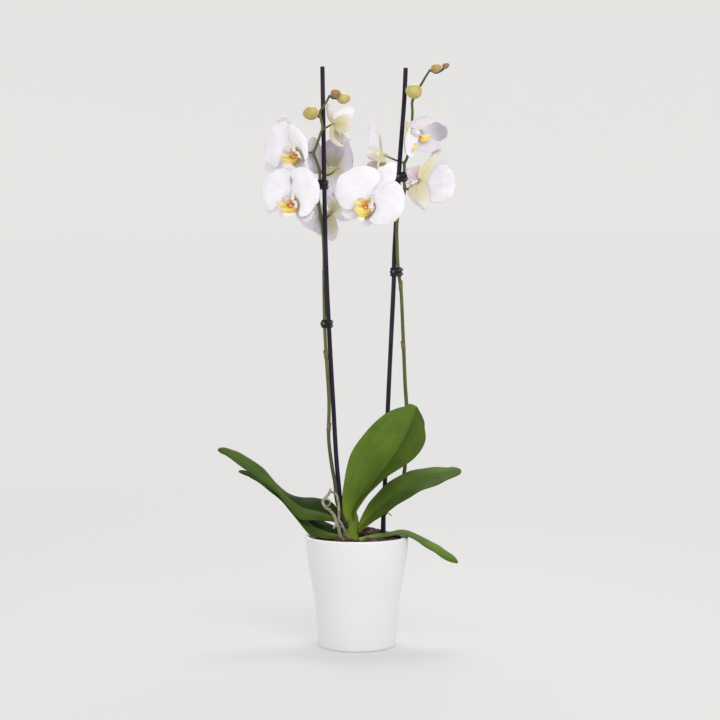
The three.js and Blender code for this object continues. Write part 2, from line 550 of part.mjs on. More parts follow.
// a round rod along a list of points with a radius at each
function rod(points, radii, sides) {
  const verts = [];
  const tris = [];
  const n = points.length;
  let ref = [0, 1, 0];
  for (let i = 0; i < n; i++) {
    const t = unit(sub(points[Math.min(i + 1, n - 1)], points[Math.max(i - 1, 0)]));
    const a = unit(sub(ref, mul(t, dot(ref, t))));
    const b = cross(t, a);
    ref = a;
    for (let k = 0; k < sides; k++) {
      const w = (2 * Math.PI * k) / sides;
      verts.push(add(points[i], add(mul(a, Math.cos(w) * radii[i]), mul(b, Math.sin(w) * radii[i]))));
    }
  }
  for (let i = 0; i < n - 1; i++) {
    for (let k = 0; k < sides; k++) {
      const k2 = (k + 1) % sides;
      const p = i * sides;
      tris.push([p + k, p + k2, p + sides + k2], [p + k, p + sides + k2, p + sides + k]);
    }
  }
  const c0 = verts.length;
  verts.push(points[0]);
  const c1 = verts.length;
  verts.push(points[n - 1]);
  for (let k = 0; k < sides; k++) {
    const k2 = (k + 1) % sides;
    tris.push([c0, k2, k], [c1, (n - 1) * sides + k, (n - 1) * sides + k2]);
  }
  return solid(verts, tris);
}

const taper = (n, r0, r1) => Array.from({ length: n + 1 }, (_, i) => r0 + ((r1 - r0) * i) / n);

function ball(c, r, w = 6, h = 4) {
  const g = new THREE.SphereGeometry(1, w, h);
  g.scale(r[0], r[1], r[2]);
  g.translate(c[0], c[1], c[2]);
  return solidOf(g);
}

function lathe(profile, seg) {
  const g = new THREE.LatheGeometry(profile.map(([x, y]) => new THREE.Vector2(x, y)), seg);
  g.rotateX(Math.PI / 2);
  return solidOf(g);
}

// ---- flowers ----------------------------------------------------------------------------------------
// share of the widest half width at u along a tepal: petals are broad with a narrow claw, sepals are oval
function width(kind, u, skew) {
  if (kind === 'petal') {
    const um = 0.5 - skew;
    const b = 0.1;
    if (u >= um) return Math.sqrt(Math.max(0, 1 - ((u - um) / (1 - um)) ** 2.2));
    return b + (1 - b) * (1 - ((um - u) / um) ** 1.9);
  }
  const um = 0.52;
  const b = 0.42;
  if (u >= um) return Math.max(0, 1 - ((u - um) / (1 - um)) ** 2.1) ** 0.6;
  return b + (1 - b) * (1 - ((um - u) / um) ** 2);
}

// forward, right and up of a flower as its own face sees them
function basis(f) {
  const [az, el, roll] = [rad(f.az), rad(f.el), rad(f.roll)];
  const F = [Math.sin(az) * Math.cos(el), -Math.cos(az) * Math.cos(el), Math.sin(el)];
  const R0 = unit(cross([0, 0, 1], F));
  const U0 = cross(F, R0);
  return { F, R: add(mul(R0, Math.cos(roll)), mul(U0, Math.sin(roll))), U: add(mul(R0, -Math.sin(roll)), mul(U0, Math.cos(roll))) };
}

// centre line of a tepal: point, side and normal at n + 1 even steps
function centreLine(f, b, t, n = 48) {
  const out = [];
  if (t.pts) {
    const p = spaced(t.pts, n);
    for (let i = 0; i <= n; i++) {
      const T = unit(sub(p[Math.min(n, i + 1)], p[Math.max(0, i - 1)]));
      const S = unit(cross(T, [0, 1, 0]));
      const N = cross(S, T);
      const w = rad(t.f0 + ((t.f1 - t.f0) * i) / n);
      out.push([p[i], add(mul(S, Math.cos(w)), mul(N, Math.sin(w))), add(mul(S, -Math.sin(w)), mul(N, Math.cos(w)))]);
    }
    return out;
  }
  const th = rad(t.th);
  const d = add(mul(b.R, Math.cos(th)), mul(b.U, Math.sin(th)));
  const s = add(mul(b.R, -Math.sin(th)), mul(b.U, Math.cos(th)));
  let p = add(add(f.c, mul(d, t.r0 * f.k)), mul(b.F, t.fo * f.k));
  for (let i = 0; i <= n; i++) {
    const a = rad(t.a0 + ((t.a1 - t.a0) * i) / n);
    out.push([p, s, add(mul(d, -Math.sin(a)), mul(b.F, Math.cos(a)))]);
    p = add(p, mul(add(mul(d, Math.cos(a)), mul(b.F, Math.sin(a))), (t.L * f.k) / n));
  }
  return out;
}

function tepal(f, b, t, nu, nv, thickness) {
  const k = t.pts ? 1 : f.k;
  const line = centreLine(f, b, t);
  const n = line.length - 1;
  const kap = t.kap / k;
  const grid = [];
  for (let i = 0; i < nu; i++) {
    const u = Math.sin((Math.PI / 2) * (i / nu));
    const x = u * n;
    const m = Math.min(n - 1, Math.floor(x));
    const [p, s, nm] = [0, 1, 2].map((j) => lerp(line[m][j], line[m + 1][j], x - m));
    const row = [];
    for (let j = 0; j <= nv; j++) {
      const v = -1 + (2 * j) / nv;
      const w = t.W * k * width(t.kind, u, t.sk * (v > 0 ? 1 : -1));
      const y = w * v * (1 + t.as * v);
      row.push(add(add(p, mul(s, Math.sin(kap * y) / kap)), mul(nm, (1 - Math.cos(kap * y)) / kap)));
    }
    grid.push(row);
  }
  return blade(grid, line[n][0], thickness);
}

// lip with its two side lobes and the column above it
function lip(f, b) {
  const L = (r, u, o) => add(f.c, add(add(mul(b.R, r * f.k), mul(b.U, u * f.k)), mul(b.F, o * f.k)));
  const column = rod([L(0, 0.2, 1.1), L(0, 0.3, 3.5), L(0, -0.1, 6.5), L(0, -0.9, 9.4)], [1.7, 2.3, 2.6, 1.9].map((r) => r * f.k), 5);
  const root = ball(L(0, -2.6, 4.0), [2.2 * f.k, 2.2 * f.k, 2.2 * f.k]);
  const flap = (rows, tip, thick) => blade(rows.map((r) => r.map((q) => L(...q))), L(...tip), thick * f.k);
  const middle = flap([
    [[-2.0, -2.6, 3.6], [0, -3.2, 3.4], [2.0, -2.6, 3.6]],
    [[-3.0, -7.0, 6.4], [0, -7.6, 6.8], [3.0, -7.0, 6.4]],
    [[-7.6, -12.0, 7.6], [0, -12.4, 9.2], [7.6, -12.0, 7.6]],
    [[-4.2, -16.6, 8.4], [0, -17.2, 9.6], [4.2, -16.6, 8.4]]], [0, -21.0, 8.6], 1.6);
  const side = (m) => flap([
    [[m * 1.2, -4.4, 3.6], [m * 1.6, -2.6, 4.4], [m * 1.4, -1.4, 5.0]],
    [[m * 5.6, -6.4, 6.0], [m * 6.2, -3.2, 6.6], [m * 5.6, -0.6, 6.2]],
    [[m * 9.2, -5.6, 9.4], [m * 9.8, -2.0, 9.6], [m * 8.4, 1.4, 8.4]]], [m * 8.2, 0.4, 12.4], 1.4);
  const right = side(1);
  const left = side(-1);
  return union([column, root, middle, right, left]);
}

// ---- leaves -----------------------------------------------------------------------------------------
function leaf(l, thickness) {
  const rows = l.rows;
  const n = rows.length;
  const grid = [];
  const across = [0, 0.5, 1, 1.5, 2];
  const row = (a) => across.map((v) => (v <= 1 ? lerp(a[0], a[1], v) : lerp(a[1], a[2], v - 1)));
  rows.forEach((r) => grid.push(row(r)));
  for (const s of [0.5, 0.85]) {
    const m = lerp(rows[n - 1][1], l.tip, s);
    const k = Math.sqrt(1 - s * s);
    grid.push(row([0, 1, 2].map((j) => add(m, mul(sub(rows[n - 1][j], rows[n - 1][1]), k)))));
  }
  return blade(grid, l.tip, thickness);
}

// room for a leaf in the bark: the leaf a little wider, thicker and longer
function leafCutter(l) {
  const rows = l.rows.slice(0, 5).map(([a, m, b]) => [add(a, mul(unit(sub(a, m)), 1.2)), m, add(b, mul(unit(sub(b, m)), 1.2))]);
  rows.unshift(rows[0].map((p, j) => sub(p, mul(unit(sub(rows[1][j], rows[0][j])), 1.2))));
  return leaf({ rows, tip: l.rows[5][1] }, LEAF_THICKNESS + 1.6);
}

// ---- build ------------------------------------------------------------------------------------------
const orchid = new THREE.Group();
function put(name, manifold, color, roughness, metalness = 0) {
  const mesh = new THREE.Mesh(geometryOf(manifold), new THREE.MeshStandardMaterial({ color, roughness, metalness, flatShading: true }));
  mesh.name = name;
  orchid.add(mesh);
}

const stakeSolid = (pts, grow) => { const p = spaced(pts, 16); return rod(p, p.map(() => STAKE_RADIUS + grow), 8); };
const spikeSolid = (pts, grow, n = 34) => {
  const p = spaced(pts.map((q) => q.slice(0, 3)), n);
  const flat = pts.map((q) => q.slice(0, 3));
  const radii = p.map((q) => {
    let best = 0;
    let d = Infinity;
    flat.forEach((c, i) => { const e = Math.hypot(...sub(c, q)); if (e < d) { d = e; best = i; } });
    return pts[best][3] + grow;
  });
  return rod(p, radii, 6);
};

const stakes = { left: STAKE_LEFT, right: STAKE_RIGHT };
const spikes = { left: SPIKE_LEFT, right: SPIKE_RIGHT };

// crown and aerial roots
const crownShape = (grow) => {
  const prof = [[0, CROWN.z0 - grow], [0.8, CROWN.z0 - grow], [1.0, CROWN.z0 + 8], [1.0, CROWN.z1 - 14], [0.85, CROWN.z1 - 4], [0.45, CROWN.z1 + grow], [0, CROWN.z1 + grow]];
  const g = new THREE.LatheGeometry(prof.map(([x, y]) => new THREE.Vector2(x, y)), 12);
  g.rotateX(Math.PI / 2);
  g.scale(CROWN.rx + grow, CROWN.ry + grow, 1);
  g.translate(CROWN.x, CROWN.y, 0);
  return solidOf(g);
};
const rootShape = (grow) => Object.values(ROOTS).map((r) => {
  const n = r.pts.length > 6 ? 14 : 4;
  return rod(spaced(r.pts, n), taper(n, r.r0 + grow, r.r1 + grow), 6);
});
const crown = union([crownShape(0), ...rootShape(0)]);
const crownCutter = union([crownShape(GAP), ...rootShape(GAP)]);

// pots and bark
put('cover_pot', lathe([[0, 0], ...POT_OUTER, ...POT_INNER, [0, POT_FLOOR], [0, 0]], SEG), 0xeceded, 0.25);
const wall = (z) => INNER_POT_BOTTOM.r + ((INNER_POT_TOP.r - INNER_POT_BOTTOM.r) * (z - INNER_POT_BOTTOM.z)) / (INNER_POT_TOP.z - INNER_POT_BOTTOM.z);
let growPot = lathe([[0, INNER_POT_BOTTOM.z], [INNER_POT_BOTTOM.r, INNER_POT_BOTTOM.z], [wall(60), 60], [INNER_POT_TOP.r, INNER_POT_TOP.z - 4],
  [INNER_POT_TOP.r + INNER_POT_LIP, INNER_POT_TOP.z - 4], [INNER_POT_TOP.r + INNER_POT_LIP, INNER_POT_TOP.z],
  [INNER_POT_TOP.r - INNER_POT_WALL, INNER_POT_TOP.z], [wall(60) - INNER_POT_WALL, 60],
  [INNER_POT_BOTTOM.r - INNER_POT_WALL, INNER_POT_BOTTOM.z + INNER_POT_WALL], [0, INNER_POT_BOTTOM.z + INNER_POT_WALL], [0, INNER_POT_BOTTOM.z]], 32);
for (let i = 0; i < 5; i++) {
  const a = (2 * Math.PI * i) / 5;
  const g = new THREE.CylinderGeometry(DRAIN_HOLE_RADIUS, DRAIN_HOLE_RADIUS, 8, 8);
  g.rotateX(Math.PI / 2);
  g.translate(26 * Math.cos(a), 26 * Math.sin(a), INNER_POT_BOTTOM.z);
  growPot = growPot.subtract(solidOf(g));
}
put('grow_pot', growPot, 0x8a8f92, 0.5);

const inR = (z) => wall(z) - INNER_POT_WALL - GAP - 0.4;
let bark = lathe([[0, 7.8], [inR(7.8) - 1.5, 7.8], [inR(60), 60], [inR(120), 120], [inR(130), BARK_RIM], [50, BARK_RIM + 2.4], [32, BARK_TOP - 1.4], [12, BARK_TOP], [0, BARK_TOP]], 32);
bark = bark.add(ball(BARK_MOUND.c, BARK_MOUND.r, 12, 8));
for (const l of Object.values(LEAVES)) bark = bark.subtract(leafCutter(l));
bark = bark.subtract(crownCutter).subtract(stakeSolid(STAKE_LEFT, GAP)).subtract(stakeSolid(STAKE_RIGHT, GAP));
put('bark', bark, 0x4a3222, 0.95);
put('crown', crown, 0x9aa84a, 0.55);

// stems on their stakes
for (const side of ['left', 'right']) {
  put(`stake_${side}`, stakeSolid(stakes[side], 0), 0x1d1822, 0.6);
  put(`spike_${side}`, spikeSolid(spikes[side], 0).subtract(crownCutter), 0x5a6a2a, 0.5);
}

// a clip closes round stake and stem together: an oval block with a thumb tab on each side
for (const [name, c] of Object.entries(CLIPS)) {
  const side = c.side === 'l' ? 'left' : 'right';
  const at = (pts) => {
    const p = spaced(pts.map((q) => q.slice(0, 3)), 200);
    return p.reduce((best, q) => (Math.abs(q[2] - c.z) < Math.abs(best[2] - c.z) ? q : best));
  };
  const a = at(stakes[side]);
  const b = at(spikes[side]);
  const d = [b[0] - a[0], b[1] - a[1]];
  const len = Math.hypot(...d);
  const mid = [(a[0] + b[0]) / 2, (a[1] + b[1]) / 2];
  const w = CLIP_HALF_WIDTH;
  const s = new THREE.Shape();
  s.absarc(-len / 2, 0, w, Math.PI / 2, (3 * Math.PI) / 2, false);
  s.absarc(len / 2, 0, w - 0.4, -Math.PI / 2, Math.PI / 2, false);
  s.closePath();
  const g = new THREE.ExtrudeGeometry(s, { depth: c.h, bevelEnabled: false, curveSegments: 5 });
  g.translate(0, 0, -c.h / 2);
  g.rotateZ(Math.atan2(d[1], d[0]));
  g.translate(mid[0], mid[1], c.z);
  const body = solidOf(g).subtract(stakeSolid(stakes[side], GAP)).subtract(spikeSolid(spikes[side], GAP + 0.1));
  put(`clip_${name}`, body, 0x0c0c0e, 0.3);
}

for (const [name, l] of Object.entries(LEAVES)) put(`leaf_${name}`, leaf(l, LEAF_THICKNESS).subtract(crownCutter), 0x5d7a2e, 0.5);

for (const [name, d] of Object.entries(BUDS)) {
  const g = new THREE.SphereGeometry(1, 8, 6);
  g.rotateZ(Math.PI / 2);
  g.scale(d.l, d.r, d.r);
  g.rotateY(-rad(d.ang));
  g.translate(...d.c);
  const n = 4;
  put(`bud_${name}`, union([solidOf(g), rod(spaced(d.ped, n), taper(n, 1.2, 1.6), 6)]), 0xa3a04a, 0.5);
}

for (const f of FLOWERS) {
  const b = basis(f);
  const t = f.t;
  const S = (x) => tepal(f, b, x, 5, 4, SEPAL_THICKNESS);
  const P = (x) => tepal(f, b, x, 5, 4, PETAL_THICKNESS);
  const back = add(f.c, mul(b.F, -2.4 * f.k));
  const stalk = rod(spaced([...f.ped, back], 6), taper(6, 1.25, 1.7), 5);
  const sepals = union([ball(back, [3.1 * f.k, 3.1 * f.k, 3.1 * f.k]), S(t.dorsal), S(t.latl), S(t.latr), stalk]);
  put(`${f.name}_sepals`, sepals, 0xf0eef0, 0.6);
  put(`${f.name}_petal_left`, P(t.petl), 0xf6f4f7, 0.6);
  put(`${f.name}_petal_right`, P(t.petr), 0xf6f4f7, 0.6);
  put(`${f.name}_lip`, lip(f, b), 0xe3b93c, 0.55);
}

export default orchid;
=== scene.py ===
# Potted orchid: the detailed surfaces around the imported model. Tables are in millimetres, +Z up, in the model's own frame.
import math
import random

import bpy
import numpy as np
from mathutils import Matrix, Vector, noise


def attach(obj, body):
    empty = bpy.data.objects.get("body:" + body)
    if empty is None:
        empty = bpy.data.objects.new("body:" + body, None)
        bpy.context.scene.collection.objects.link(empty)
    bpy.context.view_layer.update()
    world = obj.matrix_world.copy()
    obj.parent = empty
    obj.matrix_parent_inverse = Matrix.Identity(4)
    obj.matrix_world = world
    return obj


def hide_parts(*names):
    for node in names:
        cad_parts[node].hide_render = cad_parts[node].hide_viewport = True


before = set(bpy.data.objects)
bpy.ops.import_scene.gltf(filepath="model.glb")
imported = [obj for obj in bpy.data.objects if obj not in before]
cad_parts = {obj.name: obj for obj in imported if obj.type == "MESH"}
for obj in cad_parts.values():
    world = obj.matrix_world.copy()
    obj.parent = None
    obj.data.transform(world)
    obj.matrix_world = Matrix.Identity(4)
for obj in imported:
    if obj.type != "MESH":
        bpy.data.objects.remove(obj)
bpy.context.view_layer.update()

MM = 0.001

# ---- pot and plant dimensions -----------------------------------------------------------------------
POT_OUTER = [(46.4, 0), (48.7, 0.8), (49.8, 2.6), (51.2, 19.9), (52.9, 41.6), (55.4, 64.7), (59.2, 86.4),
             (62.9, 108.2), (64.7, 123.6), (65.6, 134.5), (65.7, 137.6), (64.9, 139.1), (63.5, 139.6)]
POT_INNER = [(62.1, 139.1), (61.3, 137.6), (61.0, 134.0), (60.2, 123.6), (58.4, 108.2), (54.7, 86.4), (50.9, 64.7),
             (48.4, 41.6), (46.7, 19.9), (45.6, 9.0), (43.0, 6.0)]
STAKE_RADIUS = 2.85

# nine flowers: centre, the way each one faces (azimuth and elevation), roll, scale, its five tepals and its stalk
FLOWERS = [
  {
    "name": "l1",
    "c": [-81.06, -30, 629.6],
    "az": -36,
    "el": -3,
    "roll": 11,
    "k": 0.97,
    "t": {
      "dorsal": {"kind": "sepal", "W": 16, "kap": -0.006, "as": 0, "sk": 0, "th": 90, "L": 39, "r0": 1.0, "fo": -0.7, "a0": 2, "a1": 4},
      "latl": {"kind": "sepal", "W": 13.5, "kap": -0.006, "as": 0, "sk": 0, "th": 212, "L": 32, "r0": 1.0, "fo": -0.7, "a0": 2, "a1": 4},
      "latr": {"kind": "sepal", "W": 13.5, "kap": -0.006, "as": 0, "sk": 0, "th": -60, "L": 31, "r0": 1.0, "fo": -0.7, "a0": 2, "a1": 4},
      "petl": {"kind": "petal", "W": 28.5, "kap": 0.004, "as": -0.12, "sk": -0.1, "th": 168, "L": 40, "r0": 2.4, "fo": 1.9, "a0": 12, "a1": -4},
      "petr": {"kind": "petal", "W": 26, "kap": 0.004, "as": 0.12, "sk": 0.1, "th": -8, "L": 34, "r0": 2.4, "fo": 1.9, "a0": 14, "a1": 2} },
    "ped": [[-57.2, -4, 629.44], [-63.65, -9, 628.42], [-72.21, -17, 629.09], [-77.73, -26, 629.85]] },
  {
    "name": "l2",
    "c": [-82.54, -38, 567.64],
    "az": -18,
    "el": 0,
    "roll": 2,
    "k": 1.0,
    "t": {
      "dorsal": {"kind": "sepal", "W": 14.5, "kap": -0.006, "as": 0, "sk": 0, "th": 90, "L": 39.0, "r0": 1.0, "fo": -0.7, "a0": 2, "a1": 4},
      "latl": {"kind": "sepal", "W": 13.5, "kap": -0.006, "as": 0, "sk": 0, "th": 224, "L": 34, "r0": 1.0, "fo": -0.7, "a0": 2, "a1": 4},
      "latr": {"kind": "sepal", "W": 13.5, "kap": -0.006, "as": 0, "sk": 0, "th": -54, "L": 36, "r0": 1.0, "fo": -0.7, "a0": 2, "a1": 4},
      "petl": {"kind": "petal", "W": 28.0, "kap": 0.004, "as": -0.12, "sk": -0.1, "th": 170, "L": 39.5, "r0": 2.4, "fo": 1.9, "a0": 10, "a1": -8},
      "petr": {"kind": "petal", "W": 29, "kap": 0.004, "as": 0.12, "sk": 0.1, "th": 5, "L": 38.5, "r0": 2.4, "fo": 1.9, "a0": 10, "a1": -8} },
    "ped": [[-50.56, 0, 564.64], [-58.55, -9, 560.93], [-69.46, -22, 563.87], [-79.59, -34.5, 567.18]] },
  {
    "name": "l3a",
    "c": [-25.39, 26, 614.94],
    "az": -142,
    "el": 4,
    "roll": 2,
    "k": 0.98,
    "t": {
      "dorsal": {"kind": "sepal", "W": 14.5, "kap": -0.006, "as": 0, "sk": 0, "th": 90, "L": 39.0, "r0": 1.0, "fo": -0.7, "a0": 2, "a1": 4},
      "latl": {"kind": "sepal", "W": 13.5, "kap": -0.006, "as": 0, "sk": 0, "th": 222, "L": 39.0, "r0": 1.0, "fo": -0.7, "a0": 2, "a1": 4},
      "latr": {"kind": "sepal", "W": 13.5, "kap": -0.006, "as": 0, "sk": 0, "th": -42, "L": 39.0, "r0": 1.0, "fo": -0.7, "a0": 2, "a1": 4},
      "petl": {"kind": "petal", "W": 28.0, "kap": 0.004, "as": -0.12, "sk": -0.1, "th": 172, "L": 41.0, "r0": 2.4, "fo": 1.9, "a0": 26, "a1": 10},
      "petr": {"kind": "petal", "W": 28.0, "kap": 0.004, "as": 0.12, "sk": 0.1, "th": 8, "L": 41.0, "r0": 2.4, "fo": 1.9, "a0": 14, "a1": 0} },
    "ped": [[-45.8, 3.6, 605.59], [-43.74, 8, 604.4], [-38.06, 12.5, 602.7], [-31.08, 18, 606.68], [-26.89, 22.5, 613.14]] },
  {
    "name": "l3b",
    "c": [-31.24, 26, 558.42],
    "az": -146,
    "el": 0,
    "roll": -20,
    "k": 1.0,
    "t": {
      "dorsal": {"kind": "sepal", "W": 14.5, "kap": -0.006, "as": 0, "sk": 0, "th": 90, "L": 39.0, "r0": 1.0, "fo": -0.7, "a0": 2, "a1": 4},
      "latl": {"kind": "sepal", "W": 13.5, "kap": -0.006, "as": 0, "sk": 0, "th": 226, "L": 34, "r0": 1.0, "fo": -0.7, "a0": 2, "a1": 4},
      "latr": {"kind": "sepal", "W": 13.5, "kap": -0.006, "as": 0, "sk": 0, "th": -46, "L": 39, "r0": 1.0, "fo": -0.7, "a0": 2, "a1": 4},
      "petl": {"kind": "petal", "W": 28.0, "kap": 0.004, "as": -0.12, "sk": -0.1, "th": 172, "L": 41.0, "r0": 2.4, "fo": 1.9, "a0": 24, "a1": 8},
      "petr": {"kind": "petal", "W": 28.0, "kap": 0.004, "as": 0.12, "sk": 0.1, "th": 8, "L": 43, "r0": 2.4, "fo": 1.9, "a0": 10, "a1": -8} },
    "ped": [[-44.39, 8.5, 547.49], [-40.03, 14, 547.42], [-34.35, 20, 553.23], [-32.21, 23, 557.44]] },
  {
    "name": "l4",
    "c": [-28.05, -6, 665.23],
    "az": 78,
    "el": 0,
    "roll": 0,
    "k": 0.72,
    "t": {
      "dorsal": {
        "pts": [[-29.05, -5.88, 666.59], [-33.24, -2, 679.99], [-38.96, 2, 691.61]],
        "f0": 60,
        "f1": 50,
        "kind": "sepal",
        "W": 9.5,
        "kap": -0.006,
        "as": 0,
        "sk": 0 },
      "latl": {
        "pts": [[-29.03, -6.62, 664.14], [-31.2, -14, 651.14], [-26.53, -20, 640.65], [-17.01, -22, 636.54]],
        "f0": 45,
        "f1": 35,
        "kind": "sepal",
        "W": 8.5,
        "kap": -0.006,
        "as": 0,
        "sk": 0 },
      "latr": {
        "pts": [[-28.48, -4.89, 664.36], [-24.42, 6, 655.76], [-18.07, 12, 650.32], [-9.06, 14, 648.71]],
        "f0": -45,
        "f1": -55,
        "kind": "sepal",
        "W": 9.5,
        "kap": -0.006,
        "as": 0,
        "sk": 0 },
      "petl": {
        "pts": [[-27.72, -10, 667.33], [-19.81, -21, 670.46], [-5.6, -28, 671.47]],
        "f0": -42,
        "f1": -35,
        "kind": "petal",
        "W": 13.2,
        "kap": 0.004,
        "as": -0.12,
        "sk": -0.1 },
      "petr": {
        "pts": [[-26.79, -5, 667.7], [-17.32, 3, 678.34], [-7.1, 9, 686.5]],
        "f0": 45,
        "f1": 50,
        "kind": "petal",
        "W": 15,
        "kap": 0.004,
        "as": 0.12,
        "sk": 0.1 } },
    "ped": [[-40.95, -5.2, 660.01], [-36.98, -6, 661.91], [-33.14, -6.3, 664.16], [-30.22, -6, 665.1]] },
  {
    "name": "r1",
    "c": [14.44, -44, 563.18],
    "az": -8,
    "el": 0,
    "roll": -35,
    "k": 1.03,
    "t": {
      "dorsal": {"kind": "sepal", "W": 14.5, "kap": -0.006, "as": 0, "sk": 0, "th": 90, "L": 42, "r0": 1.0, "fo": -0.7, "a0": 2, "a1": 4},
      "latl": {"kind": "sepal", "W": 13.5, "kap": -0.006, "as": 0, "sk": 0, "th": 246, "L": 35, "r0": 1.0, "fo": -0.7, "a0": 2, "a1": 4},
      "latr": {"kind": "sepal", "W": 13.5, "kap": -0.006, "as": 0, "sk": 0, "th": -45, "L": 34, "r0": 1.0, "fo": -0.7, "a0": 2, "a1": 4},
      "petl": {"kind": "petal", "W": 28.0, "kap": 0.004, "as": -0.12, "sk": -0.1, "th": 173, "L": 41, "r0": 2.4, "fo": 1.9, "a0": 10, "a1": -8},
      "petr": {"kind": "petal", "W": 28.0, "kap": 0.004, "as": 0.12, "sk": 0.1, "th": 7, "L": 40, "r0": 2.4, "fo": 1.9, "a0": 10, "a1": -8} },
    "ped": [[49.43, 1, 551.82], [39.43, -12, 549.78], [26.49, -29, 556.76], [15.34, -40.8, 562.93]] },
  {
    "name": "r2",
    "c": [33.92, 0, 626.59],
    "az": -80,
    "el": -4,
    "roll": 20,
    "k": 0.98,
    "t": {
      "dorsal": {
        "pts": [[34.32, 0.6, 628.25], [31.2, 6, 645.48], [25.19, 8, 659.95], [20.54, 6, 669.89]],
        "f0": 78,
        "f1": 72,
        "kind": "sepal",
        "W": 13.5,
        "kap": -0.006,
        "as": 0,
        "sk": 0 },
      "latl": {
        "pts": [[35.14, -0.87, 625.2], [35.93, -9, 611.23], [32.42, -13, 600.49], [26.68, -15, 591.33]],
        "f0": -60,
        "f1": -60,
        "kind": "sepal",
        "W": 13,
        "kap": -0.006,
        "as": 0,
        "sk": 0 },
      "latr": {
        "pts": [[35.32, 1.39, 625.23], [38.34, 10, 612.66], [37.41, 15, 600.46], [33.57, 17, 589.1]],
        "f0": 60,
        "f1": 60,
        "kind": "sepal",
        "W": 13,
        "kap": -0.006,
        "as": 0,
        "sk": 0 },
      "petl": {
        "pts": [[31.42, 4, 625.92], [24.48, 14, 628.71], [18.11, 24, 632.17], [14.27, 33, 636.15]],
        "f0": -62,
        "f1": -66,
        "kind": "petal",
        "W": 19,
        "kap": 0.004,
        "as": -0.12,
        "sk": -0.1 },
      "petr": {
        "pts": [[31.3, -3.5, 627.98], [24.15, -14, 635.9], [19.76, -22, 649.81], [18.75, -22, 668.13]],
        "f0": 72,
        "f1": 79,
        "kind": "petal",
        "W": 25,
        "kap": 0.004,
        "as": 0.12,
        "sk": 0.1 } },
    "ped": [[57.74, 13, 619.79], [51.59, 14.5, 621.56], [43.7, 8, 623.69], [37.15, 1.5, 625.8]] },
  {
    "name": "r3",
    "c": [68.82, -8, 645.77],
    "az": 55,
    "el": 12,
    "roll": 18,
    "k": 0.98,
    "t": {
      "dorsal": {
        "pts": [[68.02, -7.44, 647.31], [71.33, -15.5, 661.8], [81.29, -19.5, 667.69], [93.51, -23, 667.95]],
        "f0": -64,
        "f1": -64,
        "kind": "sepal",
        "W": 13,
        "kap": -0.006,
        "as": 0,
        "sk": 0 },
      "latl": {
        "pts": [[67.82, -8.74, 646.57], [64.57, -20, 653.93], [66.21, -27, 658.42], [69.84, -31, 662.13]],
        "f0": 74,
        "f1": 74,
        "kind": "sepal",
        "W": 10,
        "kap": -0.006,
        "as": 0,
        "sk": 0 },
      "latr": {
        "pts": [[69.21, -7.14, 644.37], [81.81, -2.5, 636.19], [94.72, 0, 634.02], [106.24, 0, 636.32]],
        "f0": 40,
        "f1": 45,
        "kind": "sepal",
        "W": 12.2,
        "kap": -0.006,
        "as": 0,
        "sk": 0 },
      "petl": {
        "pts": [[69.3, -12, 641.94], [67.66, -22, 633.38], [71.13, -30, 625.2], [80.34, -35, 617.54]],
        "f0": 68,
        "f1": 62,
        "kind": "petal",
        "W": 20,
        "kap": 0.004,
        "as": -0.12,
        "sk": -0.1 },
      "petr": {
        "pts": [[72.86, -2.5, 648.97], [86.14, 8, 656.61], [102.01, 16, 660.27], [115.83, 20, 659.4]],
        "f0": -62,
        "f1": -66,
        "kind": "petal",
        "W": 21,
        "kap": 0.004,
        "as": 0.12,
        "sk": 0.1 } },
    "ped": [[66.65, 6, 628.79], [67.66, 2, 634.59], [66.67, -4, 640.67], [66.3, -7.2, 644.62]] },
  {
    "name": "r4",
    "c": [82.01, 2, 597.42],
    "az": 125,
    "el": -5,
    "roll": 0,
    "k": 1.0,
    "t": {
      "dorsal": {
        "pts": [[81.44, 0.14, 599.02], [91.93, -4.5, 610.08], [102.23, -3, 616.17], [110.26, 3, 620]],
        "f0": -20,
        "f1": -45,
        "kind": "sepal",
        "W": 11.5,
        "kap": -0.006,
        "as": 0,
        "sk": 0 },
      "latl": {
        "pts": [[80.22, -0.13, 596.36], [73.08, -13, 580.16], [77.39, -16, 565.84], [86.95, -15, 555.42]],
        "f0": -32,
        "f1": -42,
        "kind": "sepal",
        "W": 14,
        "kap": -0.006,
        "as": 0,
        "sk": 0 },
      "latr": {
        "pts": [[79.48, 2.43, 597.11], [73.2, 6, 596.68], [68.06, 6, 592.82], [65.99, 2, 586.53]],
        "f0": 48,
        "f1": 70,
        "kind": "sepal",
        "W": 11,
        "kap": -0.006,
        "as": 0,
        "sk": 0 },
      "petl": {
        "pts": [[85.62, -3, 592.92], [97.79, -14, 587.66], [111, -16, 585.5], [122.05, -12, 585.37]],
        "f0": 8,
        "f1": 12,
        "kind": "petal",
        "W": 27,
        "kap": 0.004,
        "as": -0.12,
        "sk": -0.1 },
      "petr": {
        "pts": [[81.59, 7, 601.95], [84.07, 19, 613.29], [94.88, 28, 626.28], [108.19, 33, 638.76]],
        "f0": -54,
        "f1": -62,
        "kind": "petal",
        "W": 24,
        "kap": 0.004,
        "as": 0.12,
        "sk": 0.1 } },
    "ped": [[64.52, 4, 583.32], [70.48, 2, 583.33], [77.59, 0.5, 588.77], [80.15, 0.5, 595.69]] }]
